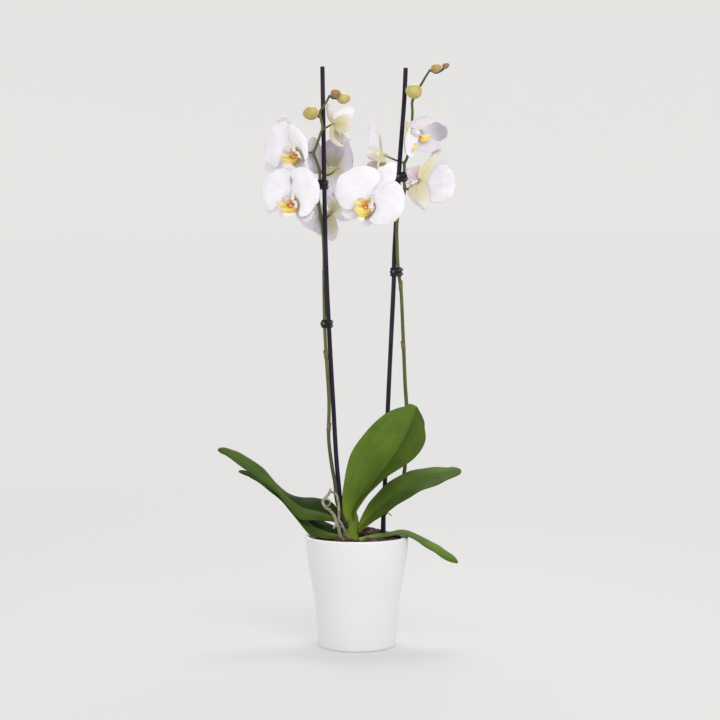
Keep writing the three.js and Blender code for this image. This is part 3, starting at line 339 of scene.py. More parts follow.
# flower stems: x, y, z and radius along each
SPIKE_LEFT = [
  [-10.22, -3, 143.15, 2.7], [-14.01, -7, 153.86, 2.7], [-19.72, -8.5, 166.78, 2.6], [-24.17, -9, 179.57, 2.6],
  [-26.48, -8, 189.65, 2.5], [-28.06, -5.5, 207.26, 2.4], [-32.05, -3.5, 228.8, 2.35], [-35.54, -2, 255.53, 2.3],
  [-36.32, -1.5, 274.68, 2.3], [-35.8, -1.8, 313.05, 2.25], [-39, -1.5, 364.2, 2.2], [-40.97, 0.5, 396.21, 2.15],
  [-41.67, 2.6, 415.48, 2.1], [-41.99, 5.2, 433.53, 2.1], [-42.42, 6.8, 460.57, 2.1], [-42.44, 7.5, 499.18, 2.1],
  [-44.47, 6.6, 533.8, 2.0], [-49.11, 3, 565.5, 2.0], [-48.45, 2.2, 585.92, 1.9], [-47.63, 0.5, 604.26, 1.9],
  [-51.77, -2, 618.62, 1.8], [-55.43, -3.5, 628.62, 1.8], [-51.58, -4, 637.87, 1.7], [-46.33, -4.5, 653.74, 1.65],
  [-43.76, -5.3, 660.25, 1.6], [-46.03, -6, 671.61, 1.55], [-47.17, -6.5, 680.95, 1.5], [-43.07, -7, 686.73, 1.45],
  [-38.48, -7, 694.12, 1.4], [-36.2, -6.4, 698.83, 1.3], [-34.43, -6, 701.71, 1.2]]
SPIKE_RIGHT = [
  [-6.42, 4, 144.82, 2.7], [6.42, 13, 155.29, 2.6], [23.26, 20, 169.99, 2.6], [36.25, 22, 184.03, 2.6], [49.21, 22, 199.58, 2.5],
  [60.06, 21, 213.93, 2.5], [62.88, 20, 241.2, 2.5], [64.27, 19, 273.62, 2.5], [63.98, 18, 306, 2.45], [62.24, 16.5, 331.9, 2.4],
  [59.97, 14, 383.55, 2.3], [57.39, 10, 441.96, 2.2], [56.06, 8.5, 458.1, 2.2], [54.2, 6.5, 471.22, 2.2], [52.31, 3.2, 488.59, 2.2],
  [51.49, 1.2, 506.37, 2.2], [51.11, 1.6, 537.16, 2.1], [55.13, 3, 560.37, 2.1], [61.07, 4.5, 580.31, 2.0], [60.34, 5.5, 595.33, 2.0],
  [60.88, 6.5, 612.16, 1.9], [61.16, 7, 618.01, 1.9], [64.81, 8.5, 625.31, 1.85], [68.91, 11.5, 647.66, 1.8],
  [70.8, 10.5, 670.68, 1.75], [71.37, 8.5, 684.47, 1.7], [71.03, 6.5, 696.31, 1.65], [76.35, 4.6, 708.78, 1.55],
  [82.31, 3, 717.44, 1.5], [87.49, 1.5, 726.36, 1.4], [92.18, 0.5, 733.45, 1.3], [94.22, 0.2, 735.95, 1.2]]
# support stakes: x, y, z along each
STAKE_LEFT = [
  [-44.31, 1, 739.83], [-42.78, 1, 645.96], [-40.22, 1, 505.72], [-35.48, 1, 396.22], [-30.74, 1, 312.97], [-26.25, 0.6, 236.16],
  [-19.96, -0.3, 169.68], [-17.9, -1.2, 127.57], [-16.62, -1.5, 70.06], [-15.85, -1.5, 29.14]]
STAKE_RIGHT = [
  [62.6, 8, 739.67], [60.42, 8, 693.9], [55.27, 8, 625.23], [54.37, 8, 608.52], [48.2, 8, 505.65], [47.43, 8, 472.21],
  [46.28, 8.4, 441.88], [40.17, 11.5, 312.66], [35.95, 13, 205.58], [33.35, 12, 146.39], [31.5, 9, 87.58], [30.3, 6, 27.69]]
# aerial roots: centre line and radius at both ends
ROOTS = {
  "a": {
    "pts": [
      [-7.67, -1, 133.94], [-14.63, -8, 132.32], [-20.02, -14.5, 137.63], [-23.5, -19, 151.52], [-26.52, -20.5, 160.56],
      [-29.04, -21, 167.83], [-33.58, -21.3, 173.8], [-37.88, -21.5, 176.35], [-41.79, -21.5, 180.9], [-43.18, -21.8, 185.49],
      [-40.64, -22.3, 189.83], [-36.58, -22.8, 193.67], [-34.05, -23, 198.24], [-33.42, -23, 202.54]],
    "r0": 2.75,
    "r1": 2.0 },
  "b": {
    "pts": [
      [-7.67, -2, 139.18], [-13.34, -10, 140.86], [-16.09, -14, 148.36], [-19.74, -16.5, 156.28], [-23.02, -17.5, 161.47],
      [-23.02, -17.8, 167.84], [-23.27, -17.8, 174.17], [-23.78, -17.5, 183.01], [-25.31, -17, 190.82], [-28.35, -17, 195.63]],
    "r0": 2.5,
    "r1": 1.7 },
  "c": {"pts": [[-40.89, -22.3, 189.08], [-37.07, -23.5, 188.95], [-34.04, -23.5, 185.92], [-34.43, -23, 182.08]], "r0": 1.5, "r1": 1.0},
  "d": {"pts": [[-25.76, -20.3, 159.27], [-27.75, -22, 155.05], [-30.01, -23, 150.5]], "r0": 1.9, "r1": 1.3} }
# leaves: rows of far edge, midrib, near edge from base to tip
LEAVES = {
  "a": {
    "rows": [
      [[-14.05, -3, 150.18], [-9.61, 1, 147.76], [-3.83, -2, 150.69]],
      [[-18.85, -7, 176.8], [-5.14, 3, 168.03], [-0.24, -8, 171.18]],
      [[-17.03, -10, 206.4], [8.33, 2, 189.92], [12.72, -16, 190.46]],
      [[-7.59, -13, 245.42], [24.95, -1, 210.05], [30.32, -26, 210.38]],
      [[10.82, -14, 272.15], [41.51, -4, 233.94], [52.9, -30, 227.1]],
      [[31.79, -13, 293.06], [56.14, -6, 258.97], [73.73, -28, 241.42]],
      [[49.68, -9, 302.32], [67.33, -7, 282.61], [86.33, -20, 261.72]],
      [[63.76, -7, 305.69], [73.7, -7, 296.38], [85.95, -12, 280.31]]],
    "tip": [76.21, -8, 304.06] },
  "b": {
    "rows": [
      [[1.28, -1, 152.49], [0.65, -5, 147.23], [1.29, -9, 142.64]],
      [[8.96, 0, 170.92], [12.5, -9, 159.83], [13.73, -17, 153.81]],
      [[21.79, 3, 189.18], [27.48, -12, 174.17], [32.08, -26, 167.52]],
      [[42.35, 5, 208.62], [49.04, -14, 190.89], [55.54, -34, 185]],
      [[66.81, 7, 221.16], [74.64, -15, 204.95], [78.96, -38, 199.19]],
      [[93.7, 5, 226.46], [102.18, -15, 215.74], [106.11, -34, 209.47]],
      [[116.35, -2, 226.89], [120.58, -15, 220.81], [122.98, -26, 216.69]]],
    "tip": [132.07, -14, 223.78] },
  "c": {
    "rows": [
      [[0.64, -1, 136.5], [1.54, -5, 134.09], [2.57, -9, 133.09]],
      [[17.96, 5, 139.56], [17.87, -6, 137.15], [17.78, -17, 136.95]],
      [[39.82, 7, 142.64], [39.56, -6, 140.21], [39.2, -23, 140.9]],
      [[60.71, 17, 143.7], [60.03, -4, 143.28], [59.35, -25, 142.93]],
      [[82.73, 18, 135.55], [80.46, -4, 133.7], [76.42, -24, 134.47]],
      [[102.49, 13, 126.53], [100.25, -4, 121.82], [95.62, -19, 121.64]],
      [[118.73, 5, 116.71], [116.7, -4.5, 112.19], [111.89, -12, 110.48]]],
    "tip": [128.35, -4, 105.48] },
  "d": {
    "rows": [
      [[-15.48, 11, 156.17], [-16.73, 8, 151.39], [-17.74, 6.5, 147.07]],
      [[-31.1, 19, 179.16], [-30.94, 11, 161.97], [-30.82, 5, 156.25]],
      [[-50.66, 24, 184.86], [-50.23, 10, 168.52], [-52.41, -2, 158.87]],
      [[-71.47, 25, 186.58], [-70.74, 8, 173.89], [-72.6, -8, 161.37]],
      [[-89.38, 20, 191.48], [-88.42, 2, 186.08], [-88.95, -12, 178.24]],
      [[-104.48, 13, 205.33], [-103.43, -4, 201.38], [-104.02, -15, 197.97]],
      [[-122.18, 8, 226.61], [-121.66, -8, 218.96], [-124.17, -17, 214.01]],
      [[-146.18, 3, 243.42], [-147.77, -8, 236.79], [-152.24, -15, 232.49]],
      [[-163.64, -2, 250.93], [-165.33, -7, 246.15], [-167.96, -10, 243.05]]],
    "tip": [-177.18, -7, 250.23] },
  "e": {
    "rows": [
      [[-17.81, 12, 143.17], [-18.82, 10, 138.91], [-19.56, 8, 135.31]],
      [[-32.41, 20, 151.22], [-32.27, 13, 140.46], [-33.34, 3, 134.43]],
      [[-49.46, 27, 158.04], [-50.32, 13, 146.26], [-51.65, -2, 137.14]],
      [[-65.21, 31, 170.08], [-65.88, 15, 156.99], [-65.16, -3, 144.94]],
      [[-84.8, 32, 186.91], [-84.1, 18, 176.03], [-82.66, 2, 167.11]],
      [[-102.87, 29, 199.71], [-102.21, 18, 192.2], [-101.42, 5, 186.8]],
      [[-120.74, 24, 211.85], [-120.17, 16, 205.83], [-120.82, 7, 202.27]],
      [[-138.34, 17, 219.96], [-138.7, 12, 216.76], [-139.66, 8, 214.52]]],
    "tip": [-152.02, 11, 220.96] } }
# buds: centre, half length, half width, direction and stalk
BUDS = {
  "a": {"c": [-58.94, -9, 678.46], "l": 9.7, "r": 8.8, "ang": 188, "ped": [[-48.56, -6.8, 673.25], [-50.17, -8.4, 675.51], [-52.82, -9, 677.18]]},
  "b": {"c": [-27.49, -8.5, 703.9], "l": 6.2, "r": 5.2, "ang": 10, "ped": [[-30.7, -7.2, 703.64], [-29.03, -8.2, 703.57]]},
  "c": {"c": [-17.26, -2, 698.53], "l": 8.6, "r": 7.2, "ang": -4, "ped": [[-32.93, -4.6, 699.43], [-30.65, -3.6, 698.47], [-24.29, -2, 698.53]]},
  "d": {"c": [72.34, -9.2, 706.18], "l": 10.4, "r": 9.4, "ang": 168, "ped": [[72.1, 4.2, 697.54], [72.94, -0.5, 698.94], [73.48, -6, 702.86]]},
  "e": {"c": [101.29, -1.5, 737.37], "l": 6.5, "r": 5.7, "ang": 12, "ped": [[95.49, 0, 736.29], [98.49, -1.2, 736.54]]},
  "f": {
    "c": [113.72, 1, 740.98],
    "l": 4.6,
    "r": 3.9,
    "ang": 25,
    "ped": [[95.31, 1.6, 734.58], [101.41, 5.2, 732.65], [108.43, 4.5, 735.71], [112.22, 1.5, 739.56]] } }
# clips: the side, height above the base and length
CLIPS = {
  "left_upper": {"side": "l", "z": 588.71, "h": 11.5},
  "left_lower": {"side": "l", "z": 410.53, "h": 10.2},
  "right_upper": {"side": "r", "z": 599.46, "h": 12.0},
  "right_lower": {"side": "r", "z": 477.35, "h": 11.2} }
# crown that leaves, stems and roots grow from
CROWN = {"x": -7.17, "y": 1.0, "z0": 112.0, "z1": 150.0, "rx": 7.2, "ry": 6.6}
# petals and sepals as they are seen: rows of edge, middle, edge from base to tip; fl and bl: flush and blush; the third
# pair, from base to tip, is painted shade
TEPALS = {
  "l1": {
    "petl": {
      "rows": [
        [[-84.23, -29.68, 635.94], [-85.53, -28.75, 632.32], [-87.5, -27.35, 629.39]],
        [[-86.27, -29.09, 642.33], [-90.71, -26.18, 633.98], [-92.71, -24.29, 626.08]],
        [[-85.71, -30.14, 652.22], [-95.91, -23.38, 635.05], [-96.63, -21.92, 619.49]],
        [[-85.96, -30.19, 660.01], [-100.5, -20.62, 636.12], [-97.95, -20.98, 613.3]],
        [[-92, -25.6, 665.22], [-104.48, -17.76, 636.58], [-100.63, -18.55, 608.59]],
        [[-100.61, -18.87, 663.62], [-108.5, -14.29, 635.86], [-106.64, -13.69, 610.17]],
        [[-107.98, -12.51, 657.74], [-112.58, -10.26, 634.59], [-112.05, -8.72, 614.07]],
        [[-114.77, -6.19, 649.25], [-116.31, -6.08, 633.33], [-116.18, -4.26, 618.93]]],
      "tip": [-118.86, -2.5, 633.89],
      "see": "f",
      "fl": [0.3, 0.25] },
    "petr": {
      "rows": [
        [[-85.92, -28.47, 639.91], [-82.92, -30.61, 636.43], [-80.31, -32.46, 634.24]],
        [[-86.79, -28.69, 646.17], [-78.95, -34.7, 639.54], [-75.07, -37.2, 631.61]],
        [[-87.55, -28.75, 655.6], [-76.3, -37.6, 642.2], [-71.8, -40.28, 628]],
        [[-84.79, -30.85, 660.27], [-72.39, -40.97, 641.02], [-69.21, -42.44, 622.67]],
        [[-76.35, -36.68, 655.5], [-69.17, -43.29, 638.77], [-67.02, -43.88, 616.84]],
        [[-70.55, -40.29, 650.26], [-65.98, -45.04, 634.74], [-64.99, -44.78, 612.34]],
        [[-65.7, -42.78, 643.22], [-63.07, -46.14, 630.83], [-62.85, -45.32, 616]]],
      "tip": [-60.94, -46.41, 625.8],
      "see": "f",
      "fl": [0.3, 0.3] },
    "dorsal": {
      "rows": [
        [[-86.97, -25.32, 639.16], [-85.01, -26.71, 638.94], [-83.05, -28.11, 638.71]],
        [[-93.59, -19.79, 652.7], [-86.99, -24.94, 653.1], [-79.18, -30.02, 650.98]],
        [[-100.92, -13.8, 663.87], [-88.32, -23.64, 663.42], [-75.31, -31.93, 656.94]],
        [[-102, -12.68, 668.26], [-89, -22.8, 667.61], [-78.59, -29.23, 664.33]]],
      "tip": [-90.34, -21.49, 671.25],
      "see": "f",
      "fl": [0.25, 0.3],
      "painted_shade": [0, 0.28] },
    "latl": {
      "rows": [
        [[-89.68, -21.96, 622.01], [-90.99, -21.03, 618.36], [-88.37, -22.89, 613.03]],
        [[-103.02, -10.66, 619.89], [-101.65, -12.25, 613.3], [-96.39, -15.31, 606.9]],
        [[-113.81, -1.55, 618.69], [-112.4, -3.48, 610.74], [-105.79, -7.13, 603.85]]],
      "tip": [-117.19, 1.11, 608.83],
      "see": "f",
      "fl": [0.4, 0.4],
      "bl": [0.1, 0.5],
      "painted_shade": [0.05, 0.1] },
    "latr": {
      "rows": [
        [[-81.72, -29.54, 613.32], [-78.46, -31.86, 615.49], [-73.91, -35.11, 618.78]],
        [[-79.76, -30.93, 608.09], [-73.88, -35.78, 610.53], [-67.45, -39.76, 614.33]],
        [[-75.19, -34.52, 604.44], [-69.97, -39.24, 605.65], [-64.86, -41.96, 609.01]]],
      "tip": [-66.72, -42.23, 602.72],
      "see": "f",
      "fl": [0.7, 0.9],
      "bl": [0.5, 0.8],
      "painted_shade": [0.75, 0.35] } },
  "l2": {
    "petl": {
      "rows": [
        [[-83.71, -39.58, 572.45], [-85.62, -38.96, 569.4], [-88.17, -38.13, 567]],
        [[-82.4, -40.91, 579.79], [-91.29, -38.24, 570.74], [-95.15, -36.5, 562.18]],
        [[-84.14, -41, 589.15], [-96.34, -37.5, 573.33], [-100.88, -35.05, 557.33]],
        [[-81.71, -42.03, 597.13], [-101.43, -36.33, 574.11], [-104.72, -33.79, 552.46]],
        [[-86.82, -40.04, 602.41], [-106.55, -34.6, 574.95], [-108.61, -31.97, 551.4]],
        [[-98.98, -35.41, 603.68], [-111.73, -32.25, 576.49], [-112.12, -30.17, 554.11]],
        [[-107.38, -31.47, 598.58], [-115.67, -29.77, 577.43], [-115.81, -27.77, 558.79]],
        [[-115.86, -27.09, 591], [-119.27, -26.97, 577.78], [-119.8, -24.84, 564.8]]],
      "tip": [-121.86, -24.27, 577.49],
      "see": "f",
      "fl": [0.3, 0.25] },
    "petr": {
      "rows": [
        [[-81.81, -40.21, 573], [-78.63, -41.25, 569.75], [-76.73, -41.87, 567.8]],
        [[-82.64, -40.95, 580.41], [-73.49, -44.32, 571.87], [-72.87, -44.27, 562.52]],
        [[-80.32, -42.49, 588.33], [-68.38, -47.15, 574.01], [-71.44, -45.66, 554.88]],
        [[-84.87, -41.36, 598.47], [-64.56, -49.14, 575.63], [-72.81, -45.69, 546.78]],
        [[-74.73, -44.5, 604.28], [-59.52, -50.99, 576.64], [-70.28, -46.45, 542.34]],
        [[-65.9, -46.98, 604.3], [-55.76, -51.8, 577.16], [-62.72, -48.52, 543.61]],
        [[-57.11, -48.9, 597.43], [-51.4, -52.27, 577.1], [-56.46, -49.6, 549.09]],
        [[-49.86, -49.89, 589.21], [-47.93, -52.01, 575.89], [-50.85, -50.05, 558.11]]],
      "tip": [-45.85, -51.06, 574.15],
      "see": "f",
      "fl": [0.3, 0.28] },
    "dorsal": {
      "rows": [
        [[-85.14, -36.17, 573.5], [-81.96, -37.21, 573.37], [-78.78, -38.25, 573.24]],
        [[-88.4, -33.96, 585.07], [-81.98, -36.71, 584.71], [-75.02, -38.33, 584.5]],
        [[-90.36, -32.5, 595.3], [-82.65, -36, 595.45], [-73.78, -37.91, 594.57]]],
      "tip": [-82.67, -35.5, 604.93],
      "see": "f",
      "fl": [0.35, 0.4],
      "bl": [0.12, 0.6],
      "painted_shade": [0.1, 0.1] },
    "latl": {
      "rows": [
        [[-83.92, -35.58, 561.03], [-86.47, -34.75, 556.11], [-83.92, -35.58, 549.12]],
        [[-96.71, -31.29, 559.02], [-97.31, -31.75, 551.43], [-94.11, -32.79, 544.66]],
        [[-105.74, -27.71, 559.43], [-106.32, -28.51, 551.78], [-103.1, -29.55, 544.12]]],
      "tip": [-113.09, -25.14, 551.52],
      "see": "f",
      "fl": [0.3, 0.3],
      "bl": [0.1, 0.7] },
    "latr": {
      "rows": [
        [[-72.42, -40.33, 547.36], [-73.31, -40.04, 545.14], [-73.69, -39.91, 542.65]],
        [[-66.81, -40.03, 546.14], [-67.37, -41.58, 541.85], [-67.97, -42.12, 537.8]],
        [[-60.53, -40.78, 546.68], [-60.65, -44.2, 541.33], [-61.6, -45.36, 536.47]],
        [[-56.68, -43.61, 548.25], [-56.55, -47.11, 544.13], [-57.13, -48.4, 539.64]]],
      "tip": [-53.57, -50.48, 548.12],
      "see": "f",
      "fl": [0.3, 0.5],
      "bl": [0.22, 0.9],
      "painted_shade": [0.2, 0] } },
  "r1": {
    "petl": {
      "rows": [
        [[15.68, -46.18, 569.15], [14.43, -46, 567.93], [13.19, -45.82, 566.7]],
        [[18.15, -47.95, 574.79], [11.93, -47.3, 571.5], [8.82, -46.35, 563.52]],
        [[24.1, -49.94, 580.5], [8.2, -48.14, 575.14], [3.22, -46.42, 559.78]],
        [[29.68, -51.33, 588.4], [2.6, -48.16, 578.24], [-3.01, -45.85, 554.86]],
        [[25.59, -50.62, 600.3], [-3.63, -47.39, 579.59], [-9.25, -44.58, 551.26]],
        [[11.31, -47.92, 605.28], [-11.12, -45.68, 579.8], [-15.51, -43.05, 552.68]],
        [[-4.89, -44.25, 603.69], [-18, -43.36, 578.85], [-21.16, -40.91, 558.54]],
        [[-18.04, -40.49, 596.72], [-23.66, -40.68, 576.69], [-24.95, -38.5, 565.7]]],
      "tip": [-26.96, -38.05, 578.28],
      "see": "f",
      "fl": [0.28, 0.22] },
    "petr": {
      "rows": [
        [[20.65, -46.9, 567.2], [21.27, -46.99, 564.69], [21.27, -46.99, 562.2]],
        [[24.99, -48.94, 571.3], [26.84, -49.59, 563.76], [22.87, -48.76, 557.02]],
        [[31.17, -50.96, 576.65], [33.02, -51.98, 561], [22.49, -49.95, 550.05]],
        [[38.59, -52.63, 582.64], [39.19, -53.84, 557.68], [19.38, -50.21, 544.42]],
        [[46.63, -53.68, 586.23], [45.36, -55, 555.07], [14.41, -49.5, 538.91]],
        [[53.44, -54.16, 581.2], [50.31, -55.21, 553.18], [20, -49.8, 533.28]],
        [[57.43, -53.53, 574.46], [54.05, -54.54, 551.4], [33.66, -50.57, 531.34]],
        [[59.71, -52.1, 565.33], [56.57, -53.15, 550.31], [47.33, -50.81, 536.28]]],
      "tip": [57.87, -51.3, 550.52],
      "see": "f",
      "fl": [0.28, 0.22] },
    "dorsal": {
      "rows": [
        [[16.94, -43.86, 568.81], [18.81, -44.13, 569.4], [21.3, -44.49, 568.73]],
        [[21.31, -43.74, 578.8], [26.28, -44.96, 578.65], [30.64, -45.26, 576.12]],
        [[25.68, -43.62, 587.55], [33.75, -45.79, 586.02], [40.6, -46.11, 582.24]],
        [[25.69, -42.87, 598.89], [36.24, -45.9, 595.98], [48.06, -46.61, 589.03]],
        [[26.94, -42.8, 603.89], [38.73, -46.01, 602.81], [49.55, -46.57, 599.62]],
        [[33.79, -43.54, 606.53], [41.22, -46.12, 606.79], [49.06, -46.25, 605.89]]],
      "tip": [43.09, -46.14, 609.65],
      "see": "f",
      "fl": [0.2, 0.25],
      "bl": [0.08, 0.9] },
    "latl": {
      "rows": [
        [[8.84, -41.19, 554.14], [7.59, -41.01, 550.41], [6.34, -40.83, 546.68]],
        [[-3.67, -38.39, 555.7], [-3.67, -39.06, 548.12], [-2.42, -38.57, 540.66]],
        [[-12.45, -36.47, 555.92], [-12.44, -37.47, 548.29], [-10.57, -36.74, 540.23]]],
      "tip": [-19.6, -36.11, 549.69],
      "see": "f",
      "fl": [0.4, 0.5],
      "bl": [0.22, 0.9],
      "painted_shade": [0.25, 0.05] },
    "latr": {
      "rows": [
        [[11.34, -41.55, 549.1], [15.08, -42.09, 550.29], [18.82, -42.63, 550.23]],
        [[8.22, -39.6, 541.18], [14.46, -41.5, 540.36], [21.33, -41.49, 540.36]]],
      "tip": [12.59, -40.73, 529.81],
      "see": "f",
      "fl": [0.3, 0.4],
      "bl": [0.15, 0.9] } },
  "l3a": {
    "dorsal": {
      "rows": [
        [[-36.17, 14.5, 614.59], [-31.09, 18.5, 615.16], [-24.7, 23.5, 615.88]],
        [[-43.15, 10.17, 630.71], [-31.09, 18.67, 633.3], [-17, 30.67, 632.53]],
        [[-41.91, 11.83, 642.56], [-29.82, 19.83, 646.42], [-17.01, 31.33, 644.36]]],
      "tip": [-29.82, 20, 650.98],
      "see": "b",
      "fl": [1.0, 0.5],
      "painted_shade": [0.85, 0.6] },
    "petl": {
      "rows": [
        [[-36.24, 17.5, 622.78], [-34.97, 18.5, 616.46], [-36.24, 17.5, 609.85]],
        [[-45.13, 11.83, 637.4], [-46.38, 10.33, 623.01], [-45.13, 11.83, 606.48]],
        [[-54.57, 5.25, 650.75], [-56.41, 2.75, 629.57], [-52.7, 6.75, 603.2]],
        [[-60.8, 0.08, 647.73], [-61.39, -1.42, 630.22], [-58.94, 1.58, 607.62]]],
      "tip": [-63.84, -4, 625.99],
      "see": "b",
      "fl": [0.75, 0.45],
      "bl": [0.25, 0.8],
      "painted_shade": [0.5, 0.42] },
    "petr": {
      "rows": [
        [[-33.7, 19.5, 625.66], [-29.87, 22.5, 617.03], [-31.15, 21.5, 607.82]],
        [[-29.9, 23.83, 641.88], [-20.9, 30.33, 627.27], [-22.2, 29.83, 603.76]],
        [[-20.92, 31.75, 652.9], [-12.5, 37.25, 634.84], [-14.46, 36.75, 606.01]],
        [[-11.86, 38.58, 653.36], [-7.56, 40.88, 634.09], [-7.56, 41.88, 614.58]]],
      "tip": [-5.34, 42, 629.01],
      "see": "b",
      "fl": [0.95, 0.6],
      "painted_shade": [0.5, 0.42] },
    "latl": {
      "rows": [
        [[-39.97, 11.5, 611.58], [-36.17, 14.5, 612.01], [-32.36, 17.5, 609.85]],
        [[-46.29, 7.5, 595.59], [-38.71, 12.83, 595.01], [-32.38, 18.5, 594.46]],
        [[-43.8, 10.17, 583.07], [-37.45, 14.17, 582.28], [-31.12, 20.17, 584.32]]],
      "tip": [-37.46, 14.5, 574.58],
      "see": "b",
      "fl": [1.0, 0.5],
      "painted_shade": [0.5, 0.25] },
    "latr": {
      "rows": [
        [[-33.63, 16.5, 616.17], [-28.54, 20.5, 615.45], [-23.42, 24.5, 621.21]],
        [[-33.65, 17.5, 600.8], [-25.99, 22.83, 601.52], [-15.71, 31.5, 609.2]],
        [[-33.03, 18.67, 586.72], [-24.71, 24.17, 587.42], [-13.13, 34.17, 593.91]]],
      "tip": [-24.72, 24.5, 577.08],
      "see": "b",
      "fl": [1.0, 0.6],
      "painted_shade": [0.5, 0.25] } },
  "l3b": {
    "dorsal": {
      "rows": [
        [[-36.29, 19.55, 557.06], [-32.46, 22.14, 557.35], [-27.33, 25.59, 559.03]],
        [[-38.87, 19.15, 569.96], [-29.9, 24.2, 573.15], [-19.63, 32.1, 570.18]],
        [[-37.61, 20.85, 584.41], [-28.63, 25.39, 587.58], [-19.64, 32.94, 584.62]]],
      "tip": [-28.63, 25.73, 594.11],
      "see": "b",
      "fl": [1.0, 0.6],
      "painted_shade": [0.5, 0.25] },
    "petr": {
      "rows": [
        [[-37.63, 21.68, 567.67], [-33.8, 24.27, 560.18], [-33.8, 24.27, 551.09]],
        [[-33.83, 25.73, 577.23], [-26.12, 30.41, 564.77], [-27.41, 30.05, 548.45]],
        [[-26.14, 31.95, 583.2], [-18.37, 36.13, 568.03], [-19.68, 36.27, 545.44]],
        [[-18.38, 37.09, 578.6], [-11.88, 40.41, 565.91], [-12.54, 40.98, 546.97]]],
      "tip": [-6.66, 43.4, 561],
      "see": "b",
      "fl": [0.95, 0.75],
      "painted_shade": [0.35, 0.25] },
    "petl": {
      "rows": [
        [[-41.45, 19.09, 563.48], [-40.18, 19.96, 555.81], [-36.35, 22.55, 550.91]],
        [[-50.36, 14.24, 566.8], [-47.18, 16, 550.22], [-38.3, 22.44, 539.23]],
        [[-60.46, 8.29, 564.83], [-54.78, 11.38, 545.86], [-42.14, 20.81, 524.82]],
        [[-69.85, 2.22, 560.29], [-63.57, 5.54, 544.61], [-53.56, 13.44, 528.92]],
        [[-75.68, -2, 554.7], [-71.05, 0.19, 544.7], [-64.86, 5.51, 533.69]]],
      "tip": [-76.98, -4.34, 548.05],
      "see": "b",
      "fl": [0.65, 0.45],
      "painted_shade": [0.25, 0.2] },
    "latl": {
      "rows": [
        [[-41.37, 16.09, 555.39], [-38.2, 18.25, 554.33], [-35.01, 20.41, 551.98]],
        [[-50.26, 11.05, 545.83], [-46.45, 12.97, 542.16], [-41.4, 17.09, 538.7]],
        [[-54.06, 9.13, 536.62], [-48.99, 11.58, 533], [-42.69, 16.9, 530.92]]],
      "tip": [-49.63, 11.48, 525.9],
      "see": "b",
      "fl": [1.0, 0.6],
      "painted_shade": [0.5, 0.2] },
    "latr": {
      "rows": [
        [[-37.56, 18.68, 551.79], [-33.73, 21.27, 552.07], [-28.62, 24.73, 551.14]],
        [[-38.85, 18.57, 540.14], [-32.46, 22.39, 541.82], [-25.42, 27.64, 541.05]],
        [[-38.87, 19.32, 529.86], [-31.83, 23.07, 531.51], [-24.14, 29.25, 533.4]],
        [[-37.6, 20.43, 522.84], [-32.47, 22.89, 523.71], [-26.08, 28.2, 525.5]]],
      "tip": [-33.12, 22.7, 518.77],
      "see": "b",
      "fl": [0.95, 1.0],
      "painted_shade": [0.35, 0.15] } },
  "l4": {
    "dorsal": {
      "rows": [
        [[-33.15, -6, 666.5], [-31.24, -6, 666.5], [-29.32, -6, 667.14]],
        [[-37.04, -3.25, 672.1], [-33.44, -4.25, 671.92], [-29.89, -3.25, 674.01]],
        [[-38.64, -0.5, 680.26], [-35.02, -2.5, 679.9], [-30.97, -0.5, 681.54]],
        [[-39.2, 1.25, 686.98], [-36.08, -0.75, 686.61], [-32.54, 1.25, 686.34]]],
      "tip": [-36.5, 1, 693.34],
      "see": "b",
      "fl": [1.0, 0.75],
      "bl": [0.5, 1.0],
      "painted_shade": [0.55, 0.0] },
    "petr": {
      "rows": [
        [[-29.62, -4, 670.68], [-28.09, -4, 668.77], [-26.17, -4, 666.85]],
        [[-26.87, -0.4, 679], [-22.38, -1.2, 674.38], [-19.82, -1.2, 667.34]],
        [[-20.52, 3.2, 686.32], [-15.38, 1.6, 680], [-12.81, 1.6, 669.75]],
        [[-13.5, 6.4, 689.48], [-9.63, 4.4, 683.08], [-7.71, 4.4, 673.46]],
        [[-7.74, 9.2, 688.85], [-6.06, 7.2, 683.59], [-5.16, 7.2, 677.17]]],
      "tip": [-3.88, 10, 684.11],
      "see": "f",
      "fl": [0.4, 0.5],
      "bl": [0.1, 0.8],
      "painted_shade": [0.05, 0.05] },
    "petl": {
      "rows": [
        [[-28.61, -10, 670.26], [-27.97, -10, 663.26], [-28.87, -10, 658.17]],
        [[-25.37, -13.37, 673.09], [-21.53, -15.87, 663.51], [-23.45, -14.37, 652.98]],
        [[-19.63, -15.5, 674.74], [-15.13, -20.5, 663.59], [-17.07, -17.5, 651.82]],
        [[-12.88, -18.37, 675.49], [-10.05, -23.37, 664.73], [-11.34, -20.37, 654.12]]],
      "tip": [-5.87, -25, 665.7],
      "see": "b",
      "fl": [1.0, 1.35],
      "bl": [0.3, 1.0],
      "painted_shade": [0.12, 0.0] },
    "latl": {
      "rows": [
        [[-33.7, -10, 660.71], [-31.79, -10, 660.71], [-29.25, -10, 658.81]],
        [[-35.52, -13.76, 651.18], [-32.98, -13.76, 651.18], [-29.83, -12.96, 651.95]],
        [[-34.44, -16.85, 644.33], [-31.65, -16.85, 644.96], [-28.13, -15.25, 646.49]],
        [[-30.34, -18.85, 638.94], [-27.81, -18.85, 640.58], [-25.31, -16.85, 642.42]],
        [[-24.63, -19.76, 634.99], [-22.73, -19.76, 636.51], [-21.5, -17.76, 638.35]]],
      "tip": [-17.04, -20, 634.32],
      "see": "b",
      "fl": [1.0, 1.5],
      "painted_shade": [0.35, 0.2] },
    "latr": {
      "rows": [
        [[-29.34, -5, 657.74], [-26.79, -5, 657.74], [-22.96, -5, 656.47]],
        [[-30.67, -2.25, 651.18], [-24.28, -2.25, 651.82], [-16.61, -2.25, 653.1]],
        [[-27.53, 0.5, 645.87], [-21.13, 0.5, 647.8], [-14.08, 0.5, 650.36]],
        [[-21.81, 3.25, 643.12], [-16.68, 3.25, 645.04], [-10.91, 3.25, 648.24]]],
      "tip": [-8.36, 6, 646.77],
      "see": "b",
      "fl": [1.0, 1.0],
      "painted_shade": [0.45, 0.2] } },
  "r2": {
    "petr": {
      "rows": [
